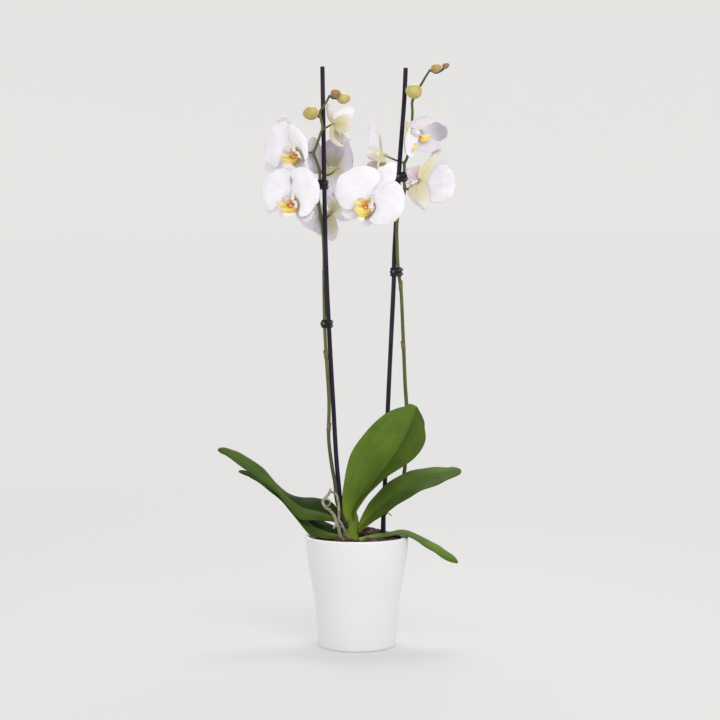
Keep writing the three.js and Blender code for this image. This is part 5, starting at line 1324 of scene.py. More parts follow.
# ---- materials --------------------------------------------------------------------------------------
class Mat:
    def __init__(self, name, rough=0.5, color=(0.8, 0.8, 0.8), **sockets):
        self.m = bpy.data.materials.new(name)
        self.m.use_nodes = True
        self.t = self.m.node_tree
        self.b = self.t.nodes["Principled BSDF"]
        self.b.inputs["Base Color"].default_value = (*color, 1)
        self.b.inputs["Roughness"].default_value = rough
        for k, v in sockets.items():
            self.b.inputs[k.replace("_", " ")].default_value = v

    def node(self, kind, **props):
        n = self.t.nodes.new(kind)
        for k, v in props.items():
            setattr(n, k, v)
        return n

    def put(self, sock, v):
        if isinstance(v, bpy.types.NodeSocket):
            self.t.links.new(v, sock)
        elif isinstance(v, (tuple, list)) and sock.type == "RGBA":
            sock.default_value = (*v[:3], 1)
        else:
            sock.default_value = v

    def uv(self):
        n = self.node("ShaderNodeUVMap", uv_map="Pattern")
        s = self.node("ShaderNodeSeparateXYZ")
        self.t.links.new(n.outputs[0], s.inputs[0])
        return n.outputs[0], s.outputs[0], s.outputs[1]

    def obj(self):
        return self.node("ShaderNodeTexCoord").outputs["Object"]

    def xyz(self, vec):
        s = self.node("ShaderNodeSeparateXYZ")
        self.t.links.new(vec, s.inputs[0])
        return s.outputs

    def attr(self, name):
        return self.node("ShaderNodeAttribute", attribute_name=name).outputs["Fac"]

    def math(self, op, a, b=0.0, c=0.0, clamp=False):
        n = self.node("ShaderNodeMath", operation=op, use_clamp=clamp)
        for s, v in zip(n.inputs, (a, b, c)):
            self.put(s, v)
        return n.outputs[0]

    def step(self, x, a, b, lo=0.0, hi=1.0):
        n = self.node("ShaderNodeMapRange", interpolation_type="SMOOTHSTEP")
        for s, v in zip(n.inputs, (x, a, b, lo, hi)):
            self.put(s, v)
        return n.outputs[0]

    def mix(self, f, a, b, how="MIX"):
        n = self.node("ShaderNodeMix", data_type="RGBA", blend_type=how)
        self.put(n.inputs[0], f)
        self.put(n.inputs[6], a)
        self.put(n.inputs[7], b)
        return n.outputs[2]

    def noise(self, vec, scale, detail=3.0, rough=0.5, dist=0.0):
        n = self.node("ShaderNodeTexNoise")
        self.put(n.inputs["Vector"], vec)
        n.inputs["Scale"].default_value = scale
        n.inputs["Detail"].default_value = detail
        n.inputs["Roughness"].default_value = rough
        n.inputs["Distortion"].default_value = dist
        return n.outputs[0]

    def voronoi(self, vec, scale, feature="F1", rand=1.0):
        n = self.node("ShaderNodeTexVoronoi", feature=feature)
        self.put(n.inputs["Vector"], vec)
        n.inputs["Scale"].default_value = scale
        n.inputs["Randomness"].default_value = rand
        return n.outputs["Distance"]

    def scaled(self, vec, s, add=(0, 0, 0)):
        n = self.node("ShaderNodeMapping")
        self.put(n.inputs["Vector"], vec)
        n.inputs["Scale"].default_value = s
        n.inputs["Location"].default_value = add
        return n.outputs[0]

    def bump(self, h, strength, dist):
        n = self.node("ShaderNodeBump")
        n.inputs["Strength"].default_value = strength
        n.inputs["Distance"].default_value = dist
        self.put(n.inputs["Height"], h)
        self.t.links.new(n.outputs[0], self.b.inputs["Normal"])

    def color(self, c):
        self.put(self.b.inputs["Base Color"], c)

    def rough(self, r):
        self.put(self.b.inputs["Roughness"], r)


def lines(M, v, count, width, jitter):
    # thin lines at constant v: 1 on a line
    x = M.math("ADD", M.math("MULTIPLY", v, count), jitter)
    d = M.math("ABSOLUTE", M.math("SUBTRACT", M.math("FRACT", x), 0.5))
    return M.step(d, 0.0, width, 1.0, 0.0)


def petal_material(name, front, sepal):
    M = Mat(name, 0.50, Specular_IOR_Level=0.3, Subsurface_Weight=0.30, Subsurface_Scale=0.004, Sheen_Weight=0.06, Sheen_Roughness=0.5)
    M.b.inputs["Subsurface Radius"].default_value = (1.0, 0.85, 0.9)
    uv, u, v = M.uv()
    tint = M.attr("tint")
    ob = M.obj()
    soft = M.noise(ob, 55, 3)
    fine = M.noise(ob, 900, 2)
    warp = M.math("MULTIPLY", M.math("SUBTRACT", M.noise(M.scaled(uv, (5, 3, 1)), 1.6, 2), 0.5), 1.6)
    veins = lines(M, v, 11.0 if sepal else 19.0, 0.16, warp)
    forks = lines(M, v, 23.0 if sepal else 41.0, 0.14, M.math("MULTIPLY", warp, -1.7))
    cells = M.step(M.voronoi(M.scaled(uv, (34, 20, 1)), 1.0, "DISTANCE_TO_EDGE"), 0.0, 0.09, 1.0, 0.0)
    away = M.step(u, 0.02, 0.9, 1.0, 0.0)
    net = M.math("MULTIPLY", M.math("MAXIMUM", veins, M.math("MULTIPLY", forks, 0.6)), M.step(u, 0.98, 0.5, 0.25, 1.0), clamp=True)
    white = (0.90, 0.885, 0.94) if front else (0.85, 0.82, 0.88)
    lilac = (0.83, 0.795, 0.87) if front else (0.74, 0.70, 0.78)
    c = M.mix(M.step(soft, 0.35, 0.7), white, lilac)
    mid = M.math("ABSOLUTE", M.math("SUBTRACT", v, 0.5))
    flush, blush = M.attr("flush"), M.attr("blush")
    c = M.mix(M.math("MULTIPLY", net, 0.17 if front else 0.42), c, (0.70, 0.63, 0.76) if front else (0.60, 0.51, 0.60))
    c = M.mix(M.math("MULTIPLY", blush, M.step(soft, 0.25, 0.7, 0.75, 1.0)), c, (0.62, 0.40, 0.44))
    c = M.mix(M.math("MULTIPLY", flush, M.step(fine, 0.2, 0.8, 0.85, 1.0)), c, (0.68, 0.66, 0.42) if front else (0.69, 0.66, 0.32))
    rib = M.math("MULTIPLY", M.step(mid, 0.0, 0.030, 1.0, 0.0), M.step(u, 0.05, 0.9, 0.8, 0.15))
    c = M.mix(M.math("MULTIPLY", M.math("MAXIMUM", rib, M.math("MULTIPLY", net, 0.4)), M.math("MINIMUM", flush, 0.85)), c, (0.40, 0.20, 0.13))
    # tint darkens towards grey-lilac: painted shade on tepals that lie behind others or turn from the light
    c = M.mix(tint, c, (0.36, 0.345, 0.38), "MULTIPLY")
    M.color(c)
    M.rough(M.step(fine, 0.2, 0.8, 0.42, 0.60))
    h = M.math("ADD", M.math("MULTIPLY", net, -0.3), M.math("ADD", M.math("MULTIPLY", cells, -0.15), M.math("MULTIPLY", fine, 0.25)))
    M.bump(h, 0.30, 0.00035)
    return M.m


def leaf_material(name, top):
    M = Mat(name, 0.4, Specular_IOR_Level=0.07, Subsurface_Weight=0.06, Subsurface_Scale=0.003)
    M.b.inputs["Subsurface Radius"].default_value = (0.5, 1.0, 0.2)
    uv, u, v = M.uv()
    ob = M.obj()
    broad = M.noise(ob, 22, 4, 0.55)
    fine = M.noise(ob, 420, 3)
    pores = M.noise(ob, 1900, 2)
    warp = M.math("MULTIPLY", M.math("SUBTRACT", M.noise(M.scaled(uv, (3, 2, 1)), 1.4, 2), 0.5), 1.2)
    ribs = M.math("SINE", M.math("ADD", M.math("MULTIPLY", v, 150.0), M.math("MULTIPLY", warp, 3.0)))
    streak = M.noise(M.scaled(uv, (2.2, 46, 1)), 1.0, 4, 0.6)
    mid = M.math("ABSOLUTE", M.math("SUBTRACT", v, 0.5))
    if top:
        a, b, cc = (0.080, 0.144, 0.019), (0.126, 0.204, 0.027), (0.052, 0.096, 0.014)
    else:
        a, b, cc = (0.150, 0.215, 0.055), (0.205, 0.270, 0.080), (0.115, 0.170, 0.050)
    c = M.mix(M.step(broad, 0.32, 0.68), a, b)
    c = M.mix(M.step(streak, 0.45, 0.72, 0.0, 0.55), c, cc)
    c = M.mix(M.step(fine, 0.55, 0.8, 0.0, 0.25), c, (0.16, 0.24, 0.05))
    line = M.math("MULTIPLY", M.step(mid, 0.0, 0.016, 1.0, 0.0), M.step(u, 0.0, 0.97, 0.75, 0.35))
    c = M.mix(line, c, (0.24, 0.33, 0.10) if top else (0.10, 0.15, 0.04))
    c = M.mix(M.math("MULTIPLY", M.step(mid, 0.03, 0.0, 0.0, 1.0), 0.15), c, (0.05, 0.10, 0.02))
    c = M.mix(M.step(mid, 0.482, 0.499, 0.0, 0.55), c, (0.06, 0.055, 0.02))
    c = M.mix(M.step(u, 0.0, 0.30, 0.75, 0.0), c, (0.27, 0.37, 0.035))
    tint = M.attr("tint")
    # tint darkens the green: painted shade on leaves and leaf halves that lie in shade
    c = M.mix(tint, c, (0.14, 0.165, 0.16), "MULTIPLY")
    M.color(c)
    M.rough(M.math("ADD", M.step(fine, 0.2, 0.8, 0.38, 0.50), M.math("MULTIPLY", M.step(broad, 0.3, 0.7), 0.08)))
    h = M.math("ADD", M.math("MULTIPLY", ribs, 0.10), M.math("ADD", M.math("MULTIPLY", streak, 0.7), M.math("MULTIPLY", pores, 0.35)))
    M.bump(h, 0.22, 0.0006)
    return M.m


def stem_material(name, dark=(0.030, 0.034, 0.012), light=(0.128, 0.150, 0.034)):
    M = Mat(name, 0.45, Specular_IOR_Level=0.28)
    uv, u, v = M.uv()
    ob = M.obj()
    tint = M.attr("tint")
    streak = M.noise(M.scaled(ob, (260, 260, 26)), 1.0, 4, 0.6)
    broad = M.noise(ob, 35, 3)
    specks = M.step(M.noise(ob, 1100, 2), 0.60, 0.70)
    c = M.mix(M.step(streak, 0.35, 0.68), light, (light[0] * 0.62, light[1] * 0.60, light[2] * 0.8))
    c = M.mix(M.step(broad, 0.42, 0.66, 0.0, 0.45), c, (0.105, 0.080, 0.040))
    c = M.mix(M.math("MULTIPLY", specks, 0.35), c, (0.22, 0.20, 0.11))
    c = M.mix(tint, c, dark)
    M.color(c)
    M.rough(M.step(streak, 0.3, 0.7, 0.34, 0.52))
    M.bump(M.math("ADD", streak, M.math("MULTIPLY", specks, 0.4)), 0.25, 0.0004)
    return M.m


def bract_material():
    M = Mat("bract", 0.6, Specular_IOR_Level=0.3)
    uv, u, v = M.uv()
    ob = M.obj()
    streak = M.noise(M.scaled(ob, (420, 420, 60)), 1.0, 3, 0.6)
    c = M.mix(M.step(streak, 0.35, 0.65), (0.20, 0.19, 0.075), (0.125, 0.105, 0.05))
    c = M.mix(M.step(u, 0.75, 1.0, 0.0, 0.7), c, (0.30, 0.20, 0.12))
    c = M.mix(M.step(u, 0.12, 0.0, 0.0, 0.8), c, (0.33, 0.27, 0.16))
    M.color(c)
    M.bump(streak, 0.3, 0.0004)
    return M.m


def bud_material():
    M = Mat("bud_skin", 0.45, Specular_IOR_Level=0.4, Subsurface_Weight=0.15, Subsurface_Scale=0.003, Sheen_Weight=0.05)
    uv, u, v = M.uv()
    ob = M.obj()
    tint = M.attr("tint")
    soft = M.noise(ob, 110, 3)
    warp = M.math("MULTIPLY", M.math("SUBTRACT", M.noise(M.scaled(uv, (4, 3, 1)), 1.5, 2), 0.5), 0.8)
    rib = lines(M, v, 15.0, 0.22, warp)
    c = M.mix(M.step(soft, 0.3, 0.7), (0.62, 0.54, 0.185), (0.48, 0.42, 0.13))
    c = M.mix(M.math("MULTIPLY", rib, 0.35), c, (0.36, 0.29, 0.08))
    blush = M.math("MULTIPLY", M.step(u, 0.48, 0.12), M.math("MAXIMUM", M.step(soft, 0.42, 0.66), M.math("MULTIPLY", rib, 0.9)))
    c = M.mix(M.math("MULTIPLY", blush, 0.9), c, (0.62, 0.27, 0.12))
    c = M.mix(M.step(u, 0.86, 1.0, 0.0, 0.6), c, (0.30, 0.30, 0.08))
    c = M.mix(tint, c, (0.32, 0.145, 0.065))
    M.color(c)
    M.rough(M.step(soft, 0.2, 0.8, 0.38, 0.5))
    M.bump(M.math("ADD", M.math("MULTIPLY", rib, -0.6), M.noise(ob, 1500, 2)), 0.3, 0.0004)
    return M.m


def lip_material():
    # tint runs 0 white, 0.5 yellow, 1 red-orange heart
    M = Mat("lip_skin", 0.42, Specular_IOR_Level=0.45, Subsurface_Weight=0.25, Subsurface_Scale=0.002, Coat_Weight=0.1, Coat_Roughness=0.3)
    uv, u, v = M.uv()
    ob = M.obj()
    tint = M.attr("tint")
    soft = M.noise(ob, 300, 3)
    z = M.math("ADD", tint, M.math("MULTIPLY", M.math("SUBTRACT", soft, 0.5), 0.35))
    c = M.mix(M.step(z, 0.10, 0.40), (0.86, 0.84, 0.84), (0.88, 0.70, 0.14))
    c = M.mix(M.step(z, 0.60, 0.98), c, (0.74, 0.20, 0.025))
    spots = M.step(M.voronoi(ob, 900), 0.20, 0.36, 1.0, 0.0)
    c = M.mix(M.math("MULTIPLY", spots, M.step(z, 0.42, 0.75, 0.0, 0.95)), c, (0.30, 0.015, 0.012))
    bars = lines(M, v, 6.0, 0.28, M.math("MULTIPLY", M.math("SUBTRACT", soft, 0.5), 1.5))
    c = M.mix(M.math("MULTIPLY", bars, M.step(z, 0.35, 0.62, 0.0, 0.8)), c, (0.42, 0.10, 0.03))
    M.color(c)
    M.rough(M.step(soft, 0.2, 0.8, 0.34, 0.5))
    M.bump(M.math("ADD", M.noise(ob, 1400, 2), M.math("MULTIPLY", spots, 0.4)), 0.25, 0.0004)
    return M.m


def lip_edge_and_shade_material():
    # dark olive-brown for the strip along the far lobe: partly the lobe's own edge colour, partly painted shade
    M = Mat("lip_edge_and_shade", 0.5, Specular_IOR_Level=0.3)
    ob = M.obj()
    soft = M.noise(ob, 320, 3)
    z = M.noise(ob, 900, 2)
    c = M.mix(M.step(soft, 0.35, 0.65), (0.26, 0.20, 0.10), (0.36, 0.25, 0.17))
    c = M.mix(M.step(z, 0.6, 0.75, 0.0, 0.5), c, (0.36, 0.16, 0.07))
    M.color(c)
    M.bump(z, 0.2, 0.0003)
    return M.m


def column_material():
    M = Mat("column_skin", 0.4, Specular_IOR_Level=0.4, Subsurface_Weight=0.25, Subsurface_Scale=0.002)
    ob = M.obj()
    uv, u, v = M.uv()
    soft = M.noise(ob, 260, 3)
    c = M.mix(M.step(soft, 0.35, 0.65), (0.80, 0.74, 0.76), (0.70, 0.60, 0.64))
    c = M.mix(M.step(u, 0.72, 0.86), c, (0.86, 0.83, 0.84))
    c = M.mix(M.step(u, 0.25, 0.0, 0.0, 0.7), c, (0.62, 0.60, 0.36))
    # tint turns it grey-brown: painted shade, used only on the hood over the lip
    c = M.mix(M.attr("tint"), c, M.mix(M.step(soft, 0.4, 0.6), (0.50, 0.41, 0.36), (0.40, 0.27, 0.20)))
    M.color(c)
    M.bump(M.noise(ob, 1600, 2), 0.2, 0.0004)
    return M.m


def root_material():
    M = Mat("root_skin", 0.62, Specular_IOR_Level=0.3, Sheen_Weight=0.15)
    ob = M.obj()
    uv, u, v = M.uv()
    tint = M.attr("tint")
    a = M.noise(ob, 160, 4, 0.6)
    b = M.noise(ob, 700, 3)
    c = M.mix(M.step(a, 0.35, 0.62), (0.36, 0.355, 0.27), (0.19, 0.195, 0.125))
    c = M.mix(M.step(b, 0.52, 0.7, 0.0, 0.7), c, (0.60, 0.58, 0.50))
    c = M.mix(M.step(a, 0.54, 0.68, 0.0, 0.8), c, (0.085, 0.075, 0.045))
    c = M.mix(tint, c, (0.36, 0.20, 0.16))
    M.color(c)
    M.rough(M.step(b, 0.2, 0.8, 0.5, 0.75))
    M.bump(M.math("ADD", a, M.math("MULTIPLY", b, 0.6)), 0.5, 0.0007)
    return M.m


def crown_material():
    M = Mat("crown_skin", 0.42, Specular_IOR_Level=0.4, Subsurface_Weight=0.08, Subsurface_Scale=0.003)
    ob = M.obj()
    z = M.xyz(ob)[2]
    streak = M.noise(M.scaled(ob, (500, 500, 45)), 1.0, 4, 0.6)
    c = M.mix(M.step(streak, 0.35, 0.68), (0.25, 0.37, 0.035), (0.16, 0.26, 0.025))
    c = M.mix(M.step(z, 0.136, 0.146, 0.6, 0.0), c, (0.34, 0.42, 0.06))
    c = M.mix(M.step(z, 0.140, 0.130, 0.0, 0.85), c, (0.15, 0.085, 0.035))
    M.color(c)
    M.bump(streak, 0.35, 0.0006)
    return M.m


def bark_material():
    M = Mat("bark_chip", 0.85, Specular_IOR_Level=0.25)
    ob = M.obj()
    tint = M.attr("tint")
    grain = M.noise(M.scaled(ob, (240, 240, 900)), 1.0, 5, 0.65)
    coarse = M.noise(ob, 140, 4, 0.6)
    c = M.mix(M.step(grain, 0.35, 0.68), (0.115, 0.050, 0.030), (0.040, 0.018, 0.013))
    c = M.mix(M.step(coarse, 0.52, 0.74, 0.0, 0.8), c, (0.19, 0.095, 0.062))
    c = M.mix(tint, c, (0.20, 0.16, 0.15))
    c = M.mix(M.step(M.noise(ob, 600, 2), 0.66, 0.78, 0.0, 0.5), c, (0.30, 0.27, 0.25))
    M.color(c)
    M.rough(M.step(coarse, 0.3, 0.7, 0.7, 0.95))
    M.bump(M.math("ADD", grain, coarse), 0.8, 0.0012)
    return M.m


def stake_material():
    M = Mat("stake_dyed", 0.45, Specular_IOR_Level=0.14)
    ob = M.obj()
    grain = M.noise(M.scaled(ob, (700, 700, 18)), 1.0, 5, 0.6)
    blot = M.noise(M.scaled(ob, (90, 90, 12)), 1.0, 3)
    c = M.mix(M.step(grain, 0.35, 0.68), (0.028, 0.018, 0.040), (0.010, 0.007, 0.014))
    c = M.mix(M.step(blot, 0.55, 0.75, 0.0, 0.5), c, (0.050, 0.036, 0.062))
    M.color(c)
    M.rough(M.step(grain, 0.3, 0.7, 0.32, 0.50))
    M.bump(grain, 0.3, 0.0005)
    return M.m


def glaze_material():
    M = Mat("pot_glaze", 0.28, Specular_IOR_Level=0.5)
    ob = M.obj()
    soft = M.noise(ob, 14, 3)
    pits = M.step(M.voronoi(ob, 60), 0.008, 0.016, 1.0, 0.0)
    c = M.mix(M.step(soft, 0.3, 0.7), (0.825, 0.835, 0.86), (0.812, 0.823, 0.85))
    c = M.mix(M.math("MULTIPLY", pits, 0.06), c, (0.66, 0.64, 0.62))
    M.color(c)
    return M.m


def foot_material():
    M = Mat("pot_bisque", 0.8, Specular_IOR_Level=0.3)
    ob = M.obj()
    g = M.noise(ob, 900, 4, 0.7)
    M.color(M.mix(M.step(g, 0.3, 0.7), (0.66, 0.63, 0.58), (0.54, 0.51, 0.46)))
    M.bump(g, 0.4, 0.0005)
    return M.m


def plastic_material(name, color, rough, spec=0.5):
    M = Mat(name, rough, Specular_IOR_Level=spec)
    ob = M.obj()
    g = M.noise(ob, 800, 3)
    b = M.noise(ob, 60, 2)
    M.color(M.mix(M.step(b, 0.3, 0.7), color, tuple(x * 0.8 + 0.004 for x in color)))
    M.rough(M.step(g, 0.3, 0.7, rough * 0.85, rough * 1.2))
    M.bump(g, 0.12, 0.0003)
    return M.m


PETAL_F = petal_material("petal_front", True, False)
PETAL_B = petal_material("petal_back", False, False)
SEPAL_F = petal_material("sepal_front", True, True)
SEPAL_B = petal_material("sepal_back", False, True)
LEAF_T = leaf_material("leaf_top", True)
LEAF_U = leaf_material("leaf_under", False)
STEM = stem_material("stem_skin")
STALK = stem_material("stalk_skin", (0.42, 0.42, 0.22), (0.105, 0.110, 0.030))
BRACT = bract_material()
BUD = bud_material()
LIP = lip_material()
LIP_EDGE_AND_SHADE = lip_edge_and_shade_material()
COLUMN = column_material()
ROOT = root_material()
CROWN_M = crown_material()
BARK = bark_material()
STAKE = stake_material()
GLAZE = glaze_material()
FOOT = foot_material()
GROW = plastic_material("grow_pot_plastic", (0.11, 0.115, 0.12), 0.45)
CLIP_M = plastic_material("clip_black", (0.007, 0.007, 0.009), 0.14, 0.22)
# lighter grey for the tabs and the boss's stud: painted highlight where black plastic shows glints
CLIP_HIGHLIGHT = plastic_material("clip_rib_highlight", (0.085, 0.082, 0.095), 0.12, 0.5)

# ---- pots -------------------------------------------------------------------------------------------
def fine_profile(pts):
    P = spline([(x, z, 0) for x, z in pts], 90)
    return [(p[0], p[1]) for p in P]


def build_pots():
    pot = Piece()
    outer = [(46.4, 0), (47.6, 0.12), (48.7, 0.8), (49.45, 1.7), (49.8, 2.6)] + fine_profile([(49.8, 2.6), (50.3, 8.0), (51.2, 19.9), (52.9, 41.6),
             (55.4, 64.7), (59.2, 86.4), (62.9, 108.2), (64.7, 123.6), (65.6, 134.5)])[1:]
    rim = [(65.72, 136.4), (65.7, 137.6), (65.4, 138.5), (64.9, 139.1), (64.2, 139.5), (63.5, 139.62), (62.8, 139.5), (62.1, 139.1), (61.6, 138.5), (61.3, 137.6), (61.1, 136.0)]
    inner = fine_profile([(61.0, 134.0), (60.2, 123.6), (58.4, 108.2), (54.7, 86.4), (50.9, 64.7), (48.4, 41.6), (46.7, 19.9), (45.6, 9.0)])
    inner += [(45.2, 7.4), (44.2, 6.3), (43.0, 6.0), (30, 6.0)]
    foot = [(0, 1.2), (40.5, 1.2), (41.6, 1.1), (42.4, 0.4), (43.2, 0.0)]
    prof = foot + outer + rim + inner + [(0, 6.0)]
    pot.lathe(prof, 160, 0)
    # the unglazed foot ring
    cut = []
    for k, f in enumerate(pot.f):
        z = max(np.vstack(pot.v)[i][2] for i in f) if k < 160 * 7 else 9
        cut.append(1 if z < 0.9 else 0)
    pot.m = cut
    pot.make("cover_pot_fine", [GLAZE, FOOT], "cover_pot")

    g = Piece()
    r0, z0, r1, z1 = 40.0, 6.3, 58.4, 134.5
    wall = lambda z: r0 + (r1 - r0) * (z - z0) / (z1 - z0)
    seg = 120
    out = [(0, z0)] + [(14, z0), (r0 - 1.0, z0), (r0 - 0.3, z0 + 0.3), (r0, z0 + 1)]
    for i in range(1, 40):
        z = z0 + 1 + (z1 - 5.5 - z0) * i / 40
        rib = 0.22 * (1 if (i // 3) % 2 else 0)
        out.append((wall(z) - rib, z))
    out += [(wall(z1 - 4.2), z1 - 4.2), (r1 + 0.7, z1 - 4.1), (r1 + 1.0, z1 - 3.6), (r1 + 1.0, z1 - 0.5), (r1 + 0.6, z1), (r1 - 0.6, z1), (r1 - 1.0, z1 - 0.5)]
    for i in range(12):
        z = z1 - 2 - (z1 - z0 - 4) * i / 12
        out.append((wall(z) - 1.0, z))
    out += [(r0 - 1.2, z0 + 1.3), (r0 - 2.2, z0 + 1.0), (14, z0 + 1.0), (0, z0 + 1.0)]
    g.lathe(out, seg, 0)
    ob = g.make("grow_pot_fine", [GROW], "grow_pot")
    cutters = Piece()
    for i in range(5):
        a = 2 * math.pi * i / 5
        c = A(26 * math.cos(a), 26 * math.sin(a), z0)
        cutters.tube([c + A(0, 0, -4), c, c + A(0, 0, 4)], 4.5, 24, 0)
    cm = bpy.data.meshes.new("drain_cutters")
    cm.from_pydata((np.vstack(cutters.v) * MM).tolist(), [], cutters.f)
    co = bpy.data.objects.new("drain_cutters", cm)
    bpy.context.scene.collection.objects.link(co)
    b = ob.modifiers.new("drain", "BOOLEAN")
    b.operation, b.object, b.solver = "DIFFERENCE", co, "EXACT"
    dg = bpy.context.evaluated_depsgraph_get()
    new = bpy.data.meshes.new_from_object(ob.evaluated_get(dg), depsgraph=dg)
    ob.modifiers.clear()
    ob.data = new
    bpy.data.objects.remove(co)


# ---- bark -------------------------------------------------------------------------------------------
def bark_top(x, y):
    r = math.hypot(x, y)
    z = float(np.interp(r, [0, 12, 32, 50, 57.5], [139.2, 139.2, 137.8, 135.6, 133.2]))
    z -= 6.0 * float(smooth(20, 4, x) * smooth(8, -6, y)) + 1.5 * float(smooth(-20, -34, x))
    q = 1 - ((x - 12) / 23) ** 2 - ((y - 33) / 16) ** 2
    if q > 0:
        z = max(z, 132.5 + 9.5 * math.sqrt(q))
    return z


def build_bark(leaf_points):
    rng = random.Random(7)
    b = Piece()
    # body below the chips
    prof = [(0, 7.8), (37.0, 7.8)] + [(38.3 + (57.1 - 38.3) * (z - 7.8) / 126.7 - 0.9, z) for z in np.linspace(9, 130.5, 14)]
    prof += [(r, 0) for r in (56.2, 53, 49, 45, 41, 37, 33, 29, 25, 21, 17, 13, 9, 5, 2)] + [(0, 136)]

    def bump(P):
        for i in range(P.shape[0]):
            for j in range(P.shape[1]):
                x, y, z = P[i, j]
                if i >= P.shape[0] - 15:
                    P[i, j, 2] = bark_top(x, y) - 4.0 + 1.2 * noise.noise(Vector((x * .12, y * .12, 3)))
        return P
    b.lathe(prof, 72, 0, bump)
    # chips
    tmpl = []
    for i in range(4):
        for j in range(4):
            for k in range(4):
                if i in (0, 3) or j in (0, 3) or k in (0, 3):
                    tmpl.append((i, j, k))
    num = {p: n for n, p in enumerate(tmpl)}
    faces = []
    for a in range(3):
        for side in (0, 3):
            for i in range(3):
                for j in range(3):
                    q = []
                    for di, dj in ((0, 0), (1, 0), (1, 1), (0, 1)):
                        p = [0, 0, 0]
                        p[a] = side
                        p[(a + 1) % 3] = i + di
                        p[(a + 2) % 3] = j + dj
                        q.append(num[tuple(p)])
                    faces.append(q if side == 3 else q[::-1])
    T = (A([list(p) for p in tmpl]) / 3 - 0.5) * 2
    ln = np.linalg.norm(T, axis=1, keepdims=True)
    T = T * 0.72 + (T / ln) * 0.28
    spots = []
    tries = 0
    while len(spots) < 560 and tries < 30000:
        tries += 1
        r = 55.2 * math.sqrt(rng.random())
        a = 2 * math.pi * rng.random()
        x, y = r * math.cos(a), r * math.sin(a)
        layer = 0 if len(spots) < 270 else 1
        if ((x - CROWN["x"]) / (CROWN["rx"] + 1)) ** 2 + ((y - CROWN["y"]) / (CROWN["ry"] + 1)) ** 2 < 1:
            continue
        near = 5.0 if layer else 4.2
        if any((x - s[0]) ** 2 + (y - s[1]) ** 2 < near ** 2 and s[2] == layer for s in spots):
            continue
        spots.append((x, y, layer))
    for x, y, layer in spots:
        size = A(rng.uniform(4.0, 8.0), rng.uniform(2.8, 5.2), rng.uniform(1.3, 2.8))
        if layer == 0:
            size = size * 1.05
        z = bark_top(x, y) + (-2.6 if layer == 0 else 0.1) + rng.uniform(-0.7, 0.9)
        # stay under leaves that lie close above
        if len(leaf_points):
            d = (leaf_points[:, 0] - x) ** 2 + (leaf_points[:, 1] - y) ** 2
            close = leaf_points[d < 42, 2]
            if len(close) and close.min() < z + 4.5:
                z = min(z, close.min() - 4.2)
                size = size * A(1, 1, 0.8)
        if z < bark_top(x, y) - 7:
            continue
        if math.hypot(x, y) + size[0] > 56.8:
            k = (56.8 - size[0]) / math.hypot(x, y)
            x, y = x * k, y * k
        yaw, tip, rl = rng.uniform(0, 6.283), rng.gauss(0, 0.32), rng.gauss(0, 0.32)
        P = T * size * (1 + 0.0)
        P = P + np.stack([wob(P, 0.33, rng.random() * 50) for _ in range(3)], -1) * 1.25
        P = P + np.stack([wob(P, 0.9, rng.random() * 50) for _ in range(3)], -1) * 0.45
        cy, sy = math.cos(yaw), math.sin(yaw)
        ct, st = math.cos(tip), math.sin(tip)
        cr, sr = math.cos(rl), math.sin(rl)
        R = A([[cy, -sy, 0], [sy, cy, 0], [0, 0, 1]]) @ A([[ct, 0, st], [0, 1, 0], [-st, 0, ct]]) @ A([[1, 0, 0], [0, cr, -sr], [0, sr, cr]])
        P = P @ R.T + A(x, y, z)
        base = b.verts(P, rng.choice([0, 0, 0, 0.1, 0.25, 0.55]))
        for q in faces:
            b.face([base + i for i in q], [(0, 0)] * 4, 0)
    ob = b.make("bark_chips", [BARK], "bark")
    return ob


# ---- stakes, stems, clips ---------------------------------------------------------------------------
def build_stakes():
    for side, pts, seed in (("left", STAKE_LEFT, 1), ("right", STAKE_RIGHT, 2)):
        p = Piece()
        line = spline(pts, 150)
        n = len(line)
        w = 2 * np.pi * np.arange(20) / 20
        R = []
        for i, q in enumerate(line):
            r = np.array([STAKE_RADIUS + 0.02 + 0.10 * noise.noise(Vector((math.cos(a) * 1.3 + seed, math.sin(a) * 1.3, q[2] * 0.012)))
                          + 0.05 * noise.noise(Vector((math.cos(a) * 4 + seed, math.sin(a) * 4, q[2] * 0.05))) for a in w])
            R.append(r)
        R = np.array(R)
        top = np.repeat(line[:1] , 3, 0) + unit(line[0] - line[1])[None] * A([[0.0], [-0.15], [-0.5]])
        line2 = np.vstack([top[0], top[1], top[2], line[1:]])
        R2 = np.vstack([R[:1] - 0.45, R[:1] - 0.18, R[:1], R[1:]])
        p.tube(line2, R2, 20, 0)
        p.make(f"stake_{side}_fine", [STAKE], f"stake_{side}")


NODES = {"left": [(-36.6, 274.6, 1), (-41.0, 366.5, -1), (-42.5, 478.0, 1)], "right": [(55.5, 457.0, 1), (60.0, 379.5, -1), (62.7, 285.0, 1), (60.0, 200.0, -1)]}


def near_line(line, z):
    return int(np.argmin(np.abs(line[:, 2] - z)))


def bract(p, c, T, out, r, length, mat, spread=0.5, wrapd=2.3):
    # a small sheath that hugs the stem and stands off at its tip
    T = unit(T)
    out = unit(out - T * np.dot(out, T))
    b = np.cross(T, out)
    nu, nv = 12, 11
    P = np.zeros((nu, nv, 3))
    for i in range(nu):
        u = math.sin(math.pi / 2 * i / nu)
        half = wrapd * (1 - u ** 1.6) ** 0.7 + 0.03
        lift = r + 0.32 + spread * u ** 2.2
        for j in range(nv):
            a = half * (-1 + 2 * j / (nv - 1))
            P[i, j] = c + T * (length * u) + (out * math.cos(a) + b * math.sin(a)) * lift
    tip = c + T * length + out * (r + 0.32 + spread)
    p.blade(P, tip, 0.5, (mat, mat), u=np.sin(np.pi / 2 * np.arange(nu + 1) / nu))


